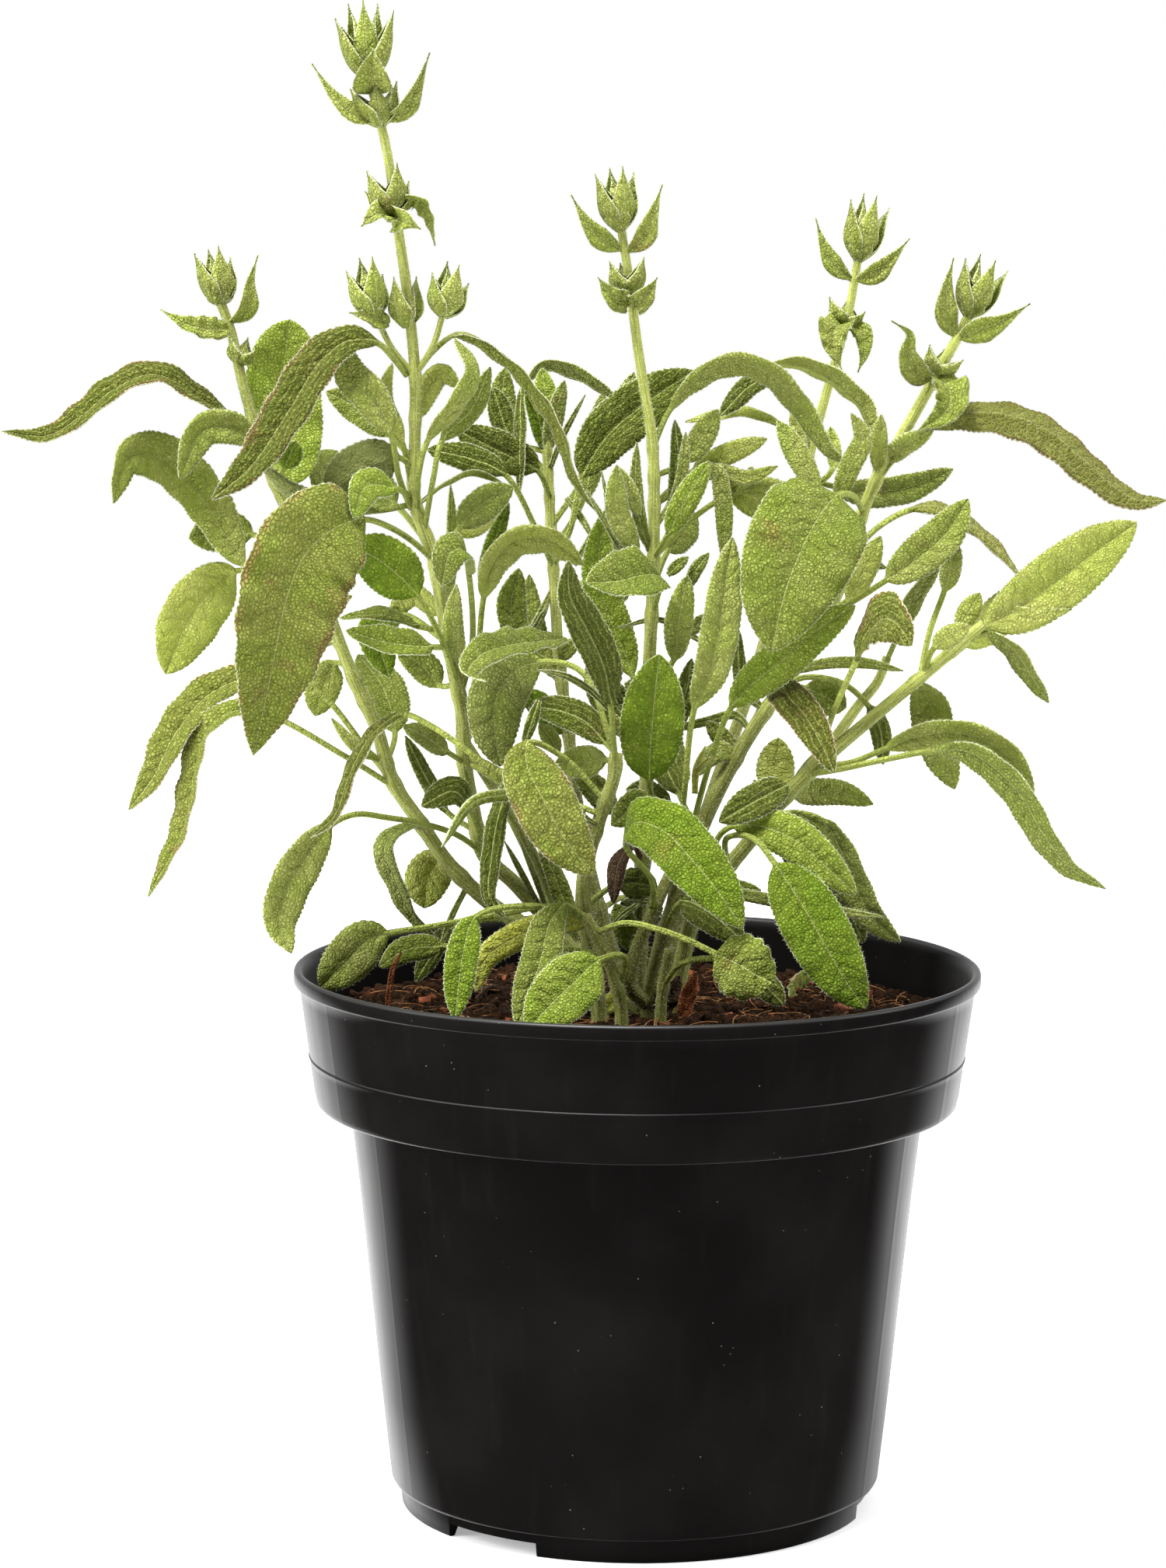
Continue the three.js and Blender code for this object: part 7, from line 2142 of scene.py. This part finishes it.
    def build(self) -> None:
        """Makes the shoot's pieces."""
        leaves, stems = Surface(), Surface()
        self.add_leaves(leaves)
        self.add_bracts(leaves)
        self.add_buds(leaves)
        self.add_stems(stems)
        foliage = leaves.mesh(f"{self.name}_leaves", self.wardrobe.leaves)
        rind = stems.mesh(f"{self.name}_rind", [self.wardrobe.stem])
        down = self.hairs.run(rind, f"{self.name}_down", {"Seed": 40 + self.number})
        for mesh in (foliage, rind, down, self.fringe_mesh()):
            show(mesh, self.name)


@dataclass
class Pot:
    """The nursery pot: a thin turned wall with a lip, a band, a step and a notched foot ring."""

    height: float = 135.0
    rim_radius: float = 85.0
    lip_height: float = 3.4
    band_top_radius: float = 83.7
    band_bottom: float = 101.5
    band_bottom_radius: float = 79.6
    body_top_radius: float = 71.4
    body_foot_radius: float = 61.0
    ring_radius: float = 58.8
    ring_height: float = 5.8
    wall: float = 1.5
    floor: float = 3.4
    ridge_drop: float = 21.7
    ridge_rise: float = 0.22
    notch_width: float = 27.0
    notches: tuple[float, ...] = (-37.0, 83.0, 203.0)
    seams: tuple[float, ...] = (-63.0, 67.0)
    seam_relief: float = 0.012
    seam_reach: float = 0.2
    foot_rows: int = 12
    lip_rows: int = 6
    columns: int = 150

    def band_radius(self, height: float) -> float:
        """The band's outer radius at a height."""
        share = (height - self.band_bottom) / (self.height - self.lip_height - self.band_bottom)
        return self.band_bottom_radius + (self.band_top_radius - self.band_bottom_radius) * share

    def outside(self) -> list[tuple[float, float]]:
        """The outer profile from the middle of the base to the top of the rim.

        Returns:
            Radius and height of each point.
        """
        ring, top, rim, shelf = self.ring_radius, self.height, self.rim_radius, self.band_bottom
        ridge = top - self.ridge_drop
        lip = top - self.lip_height
        band = self.band_radius
        crest = band(ridge) + self.ridge_rise
        return [
            (0.0, self.floor), (20.0, self.floor), (40.0, self.floor), (ring - 4.0, self.floor),
            (ring - 3.2, 2.4), (ring - 2.2, 0.25), (ring - 1.9, 0.0), (ring - 0.8, 0.0),
            (ring - 0.45, 0.3), (ring - 0.05, self.ring_height - 0.5), (ring + 0.2, self.ring_height),
            (self.body_foot_radius - 0.5, self.ring_height + 0.35),
            (self.body_foot_radius, self.ring_height + 1.2),
            (63.6, 30.0), (66.2, 55.0), (68.8, 80.0), (71.15, 100.0),
            (self.body_top_radius, shelf + 0.5), (72.2, shelf + 0.1), (77.6, shelf - 0.35),
            (78.7, shelf - 0.2), (79.4, shelf + 0.4), (self.band_bottom_radius, shelf + 1.4),
            (band(shelf + 3.0), shelf + 3.0), (band(ridge - 1.6), ridge - 1.6),
            (band(ridge - 0.5) + 0.02, ridge - 0.5), (crest, ridge - 0.1),
            (crest - 0.05, ridge + 0.15), (band(ridge) - 0.05, ridge + 0.4),
            (band(ridge + 1.5), ridge + 1.5), (band(lip - 3.0), lip - 3.0),
            (band(lip - 0.6), lip - 0.6), (rim - 0.85, lip - 0.15), (rim - 0.2, lip),
            (rim, lip + 0.35), (rim, top - 1.0), (rim - 0.2, top - 0.4), (rim - 0.7, top),
        ]

    def inside(self) -> list[tuple[float, float]]:
        """The inner profile from the top of the rim down to the middle of the floor.

        Returns:
            Radius and height of each point.
        """
        wall, top = self.wall, self.height
        step = self.band_bottom + wall
        lip = top - self.lip_height
        return [
            (self.rim_radius - 1.5, top - 0.05), (self.rim_radius - 2.2, top - 0.9),
            (self.band_radius(lip) - wall, lip), (self.band_radius(118.0) - wall, 118.0),
            (self.band_radius(step) - wall, step + 0.6), (self.body_top_radius - wall, step),
            (self.body_foot_radius - wall, self.ring_height + 1.2),
            (self.ring_radius - 2.5, self.floor + wall), (30.0, self.floor + wall),
            (0.0, self.floor + wall),
        ]

    def half_notch(self) -> float:
        """Half the angle of a notch in the foot ring, in degrees."""
        return math.degrees(math.asin(self.notch_width / 2.0 / self.ring_radius))

    def angles(self) -> np.ndarray:
        """Finds the columns' angles from the front.

        Returns:
            Even ones, with extra ones at seams and notches.
        """
        even = np.arange(self.columns) * 360.0 / self.columns
        extra = [seam + shift for seam in self.seams for shift in (-0.35, -0.12, 0.12, 0.35)]
        half = self.half_notch()
        for notch in self.notches:
            extra += [notch + sign * (half + shift) for sign in (-1, 1) for shift in (-0.12, 0.12)]
        return np.unique(np.round(np.concatenate([even, np.array(extra) % 360.0]), 3))

    def grid(self) -> np.ndarray:
        """Finds the pot's points.

        Returns:
            (rows, columns, 3) places, row by row along the profile.
        """
        profile = np.array(self.outside() + self.inside())
        angles = self.angles()
        turn = np.radians(angles)[None, :]
        radius = np.repeat(profile[:, :1], len(angles), axis=1)
        height = np.repeat(profile[:, 1:], len(angles), axis=1)
        rows = np.arange(len(profile))[:, None]
        moulded = (rows >= self.foot_rows) & (rows < len(self.outside()) - self.lip_rows)
        for seam in self.seams:
            away = np.abs((angles - seam + 180.0) % 360.0 - 180.0)
            radius = radius + self.seam_relief * (away < self.seam_reach)[None, :] * moulded
        for notch in self.notches:
            away = np.abs((angles - notch + 180.0) % 360.0 - 180.0)
            lifted = (away < self.half_notch())[None, :] & (height < self.floor)
            height = np.where(lifted, self.floor - 0.03 * (self.floor - height), height)
        return np.stack([radius * np.sin(turn), -radius * np.cos(turn), height], axis=-1)

    def build(self, wardrobe: Wardrobe) -> None:
        """Makes the pot.

        Args:
            wardrobe: the finishes.
        """
        surface = Surface()
        surface.add_turned(self.grid())
        mesh = surface.mesh("nursery_pot", [wardrobe.plastic])
        mesh.set_sharp_from_angle(angle=math.radians(50.0))
        show(mesh, "pot")


@dataclass
class Compost:
    """The peat in the pot, with crumbs, fibres, bark chips and fallen leaves on it.

    `swells` holds the height, length and seed of each size of unevenness, and `wall` the radius
    and height of each point of its side. From `brink` of its radius outwards the ground sinks.
    """

    radius: float = 79.6
    rows: int = 64
    columns: int = 180
    swells: tuple[Triple, ...] = ((1.7, 17.0, 3.0), (0.8, 5.5, 9.0), (0.4, 1.9, 5.0))
    sink: float = 1.2
    brink: float = 0.86
    wall: tuple[tuple[float, float], ...] = (
        (0.0, 5.2), (40.0, 5.2), (56.1, 5.2), (58.8, 8.0), (69.2, 103.8), (76.9, 104.6), (79.6, 119.5)
    )

    def height(self, x: float, y: float) -> float:
        """Finds the height of the ground at a place.

        Args:
            x: how far right it is.
            y: how far back it is.

        Returns:
            Its height above the floor.
        """
        rise = 0.0
        for tall, long, seed in self.swells:
            rise += tall * noise.noise(Vector((x / long, y / long, seed)))
        away = math.hypot(x, y) / self.radius
        return SOIL_LEVEL + rise - self.sink * max(away - self.brink, 0.0) / (1.0 - self.brink)

    def grid(self) -> np.ndarray:
        """Finds the compost's points.

        Returns:
            (rows, columns, 3) places, from the middle of its base to the middle of its top.
        """
        turn = np.arange(self.columns) * 2.0 * np.pi / self.columns
        rows = [(radius, np.full(self.columns, height)) for radius, height in self.wall]
        for radius in np.linspace(self.radius - 0.3, 0.0, self.rows):
            ground = [self.height(radius * math.sin(a), -radius * math.cos(a)) for a in turn]
            rows.append((float(radius), np.array(ground)))
        rings = [(radius * np.sin(turn), -radius * np.cos(turn), height) for radius, height in rows]
        return np.stack([np.stack(ring, axis=-1) for ring in rings])

    def litter(self, wardrobe: Wardrobe) -> bpy.types.Mesh:
        """Makes fallen leaves and scraps.

        Args:
            wardrobe: the finishes.

        Returns:
            Their mesh.
        """
        surface = Surface()
        for index, (width, turn, fold, tone, places) in enumerate(LITTER):
            route = Route.of("low_front_shoot", places)
            crumpled = {"ripple": 0.3, "ripple_length": 6.0, "thickness": 0.5}
            leaf = Blade(route, 0.0, width, turn, 20.0, fold, (0.31 * index) % 1.0, **crumpled)
            leaf.add_to(surface, wardrobe.number(Tone(tone)))
        return surface.mesh("fallen_leaves", wardrobe.leaves)

    def build(self, wardrobe: Wardrobe) -> None:
        """Makes the compost and what lies on it.

        Args:
            wardrobe: the finishes.
        """
        surface = Surface()
        surface.add_turned(self.grid())
        ground = surface.mesh("compost_top", [wardrobe.peat])
        crumbs = CrumbGrowth(wardrobe.peat)
        larger = {"Density": 3.5e4, "Size": 0.0022, "Seed": 3}
        show(crumbs.run(ground, "peat_crumbs", {}), "soil")
        show(crumbs.run(ground, "peat_lumps", larger), "soil")
        show(BarkGrowth(wardrobe.bark).run(ground, "bark_chips", {}), "soil")
        show(FibreGrowth(wardrobe.fibre).run(ground, "peat_fibres", {}), "soil")
        show(self.litter(wardrobe), "soil")
        show(ground, "soil")


@dataclass
class Studio:
    """The camera, the light and the floor. Angles are degrees, and other sizes metres."""

    yaw: float = -0.715
    pitch: float = 7.15
    roll: float = 0.22
    lens: float = 102.22
    floor_half: float = 3.0
    card_half: float = 1.5
    card_height: float = 2.3
    card_place: float = -1.7
    aim_height: float = 0.17

    def camera(self) -> None:
        """Makes the camera."""
        yaw, pitch, roll = (math.radians(a) for a in (self.yaw, self.pitch, self.roll))
        level = math.cos(pitch)
        ahead = Vector((math.sin(yaw) * level, math.cos(yaw) * level, -math.sin(pitch)))
        right = Vector((math.cos(yaw), -math.sin(yaw), 0.0))
        up = right.cross(ahead)
        right_rolled = right * math.cos(roll) + up * math.sin(roll)
        up_rolled = up * math.cos(roll) - right * math.sin(roll)
        data = bpy.data.cameras.new("reference_view")
        data.lens = self.lens
        data.sensor_width = 36.0
        data.clip_start = 0.05
        data.clip_end = 20.0
        camera = put("reference_view", data)
        turn = Matrix((right_rolled, up_rolled, -ahead)).transposed()
        camera.matrix_world = Matrix.Translation(Vector(EYE) * MM + Vector(AXIS)) @ turn.to_4x4()
        bpy.context.scene.camera = camera

    def lamp(self, name: str, place: Triple, size: tuple[float, float], watts: float) -> None:
        """A soft light that looks at the middle of the plant.

        Args:
            name: its name.
            place: where it hangs, in metres from the pot's foot.
            size: its width and height in metres.
            watts: how strong it is.
        """
        data = bpy.data.lights.new(name, "AREA")
        data.shape = "RECTANGLE"
        data.size, data.size_y = size
        data.energy = watts
        spot = Vector(place) + Vector(AXIS)
        aim = Vector(AXIS) + Vector((0.0, 0.0, self.aim_height))
        turn = (aim - spot).to_track_quat("-Z", "Y").to_matrix().to_4x4()
        put(name, data).matrix_world = Matrix.Translation(spot) @ turn

    def board(self, names: tuple[str, str], corners: list[Triple], *look: float) -> None:
        """Puts up a flat sheet that isn't part of the object.

        Args:
            names: its name and its material's.
            corners: where its four corners are.
            look: how light, how rough and how bright of itself it is.
        """
        grey, rough, glow = look
        mesh = bpy.data.meshes.new(names[0])
        mesh.from_pydata(corners, [], [(0, 1, 2, 3)])
        material, graph = new_material(names[1])
        light = {"Emission Color": WHITE, "Emission Strength": glow}
        graph.end(graph.skin((grey, grey, grey, 1.0), rough, 0.0, light))
        mesh.materials.append(material)
        put(names[0], mesh)

    def floor(self) -> None:
        """Makes the pale floor."""
        half = self.floor_half
        corners = [(-half, -half, 0.0), (half, -half, 0.0), (half, half, 0.0), (-half, half, 0.0)]
        self.board(("floor", "pale_floor"), corners, 0.92, 0.9, 0.35)

    def dark_card(self) -> None:
        """Stands a black card behind the camera, which keeps the front of the glossy pot dark."""
        wide, tall, away = self.card_half, self.card_height, self.card_place
        corners = [(-wide, away, tall), (wide, away, tall), (wide, away, 0.0), (-wide, away, 0.0)]
        self.board(("dark_card", "black_felt"), corners, 0.01, 1.0, 0.0)

    def world(self) -> None:
        """Makes the even white surroundings."""
        world = bpy.data.worlds.new("white_room")
        world.use_nodes = True
        graph = Graph(world.node_tree)
        glow = graph.node("ShaderNodeBackground", None, {"Color": WHITE, "Strength": 1.0})
        graph.node("ShaderNodeOutputWorld", None, {"Surface": glow})
        bpy.context.scene.world = world

    def build(self) -> None:
        """Makes the whole studio."""
        self.camera()
        self.world()
        self.floor()
        self.dark_card()
        self.lamp("left_softbox", (-1.2, -0.3, 0.6), (0.5, 1.0), 20.0)
        self.lamp("right_softbox", (1.2, 0.0, 0.6), (0.5, 1.0), 12.0)
        self.lamp("top_softbox", (-0.25, -0.35, 1.3), (0.5, 0.5), 36.0)
        bpy.context.scene.view_settings.view_transform = "Standard"


def main() -> None:
    """Builds the part in order."""
    logging.basicConfig(level=logging.INFO, format="%(message)s")
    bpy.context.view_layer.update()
    Studio().build()
    wardrobe = Wardrobe()
    Pot().build(wardrobe)
    Compost().build(wardrobe)
    hairs, fringe = HairGrowth(wardrobe.down), FringeGrowth(wardrobe.down)
    for number, name in enumerate(LEANS):
        Shoot(name, wardrobe, hairs, fringe, number).build()


if __name__ == "__main__":
    main()
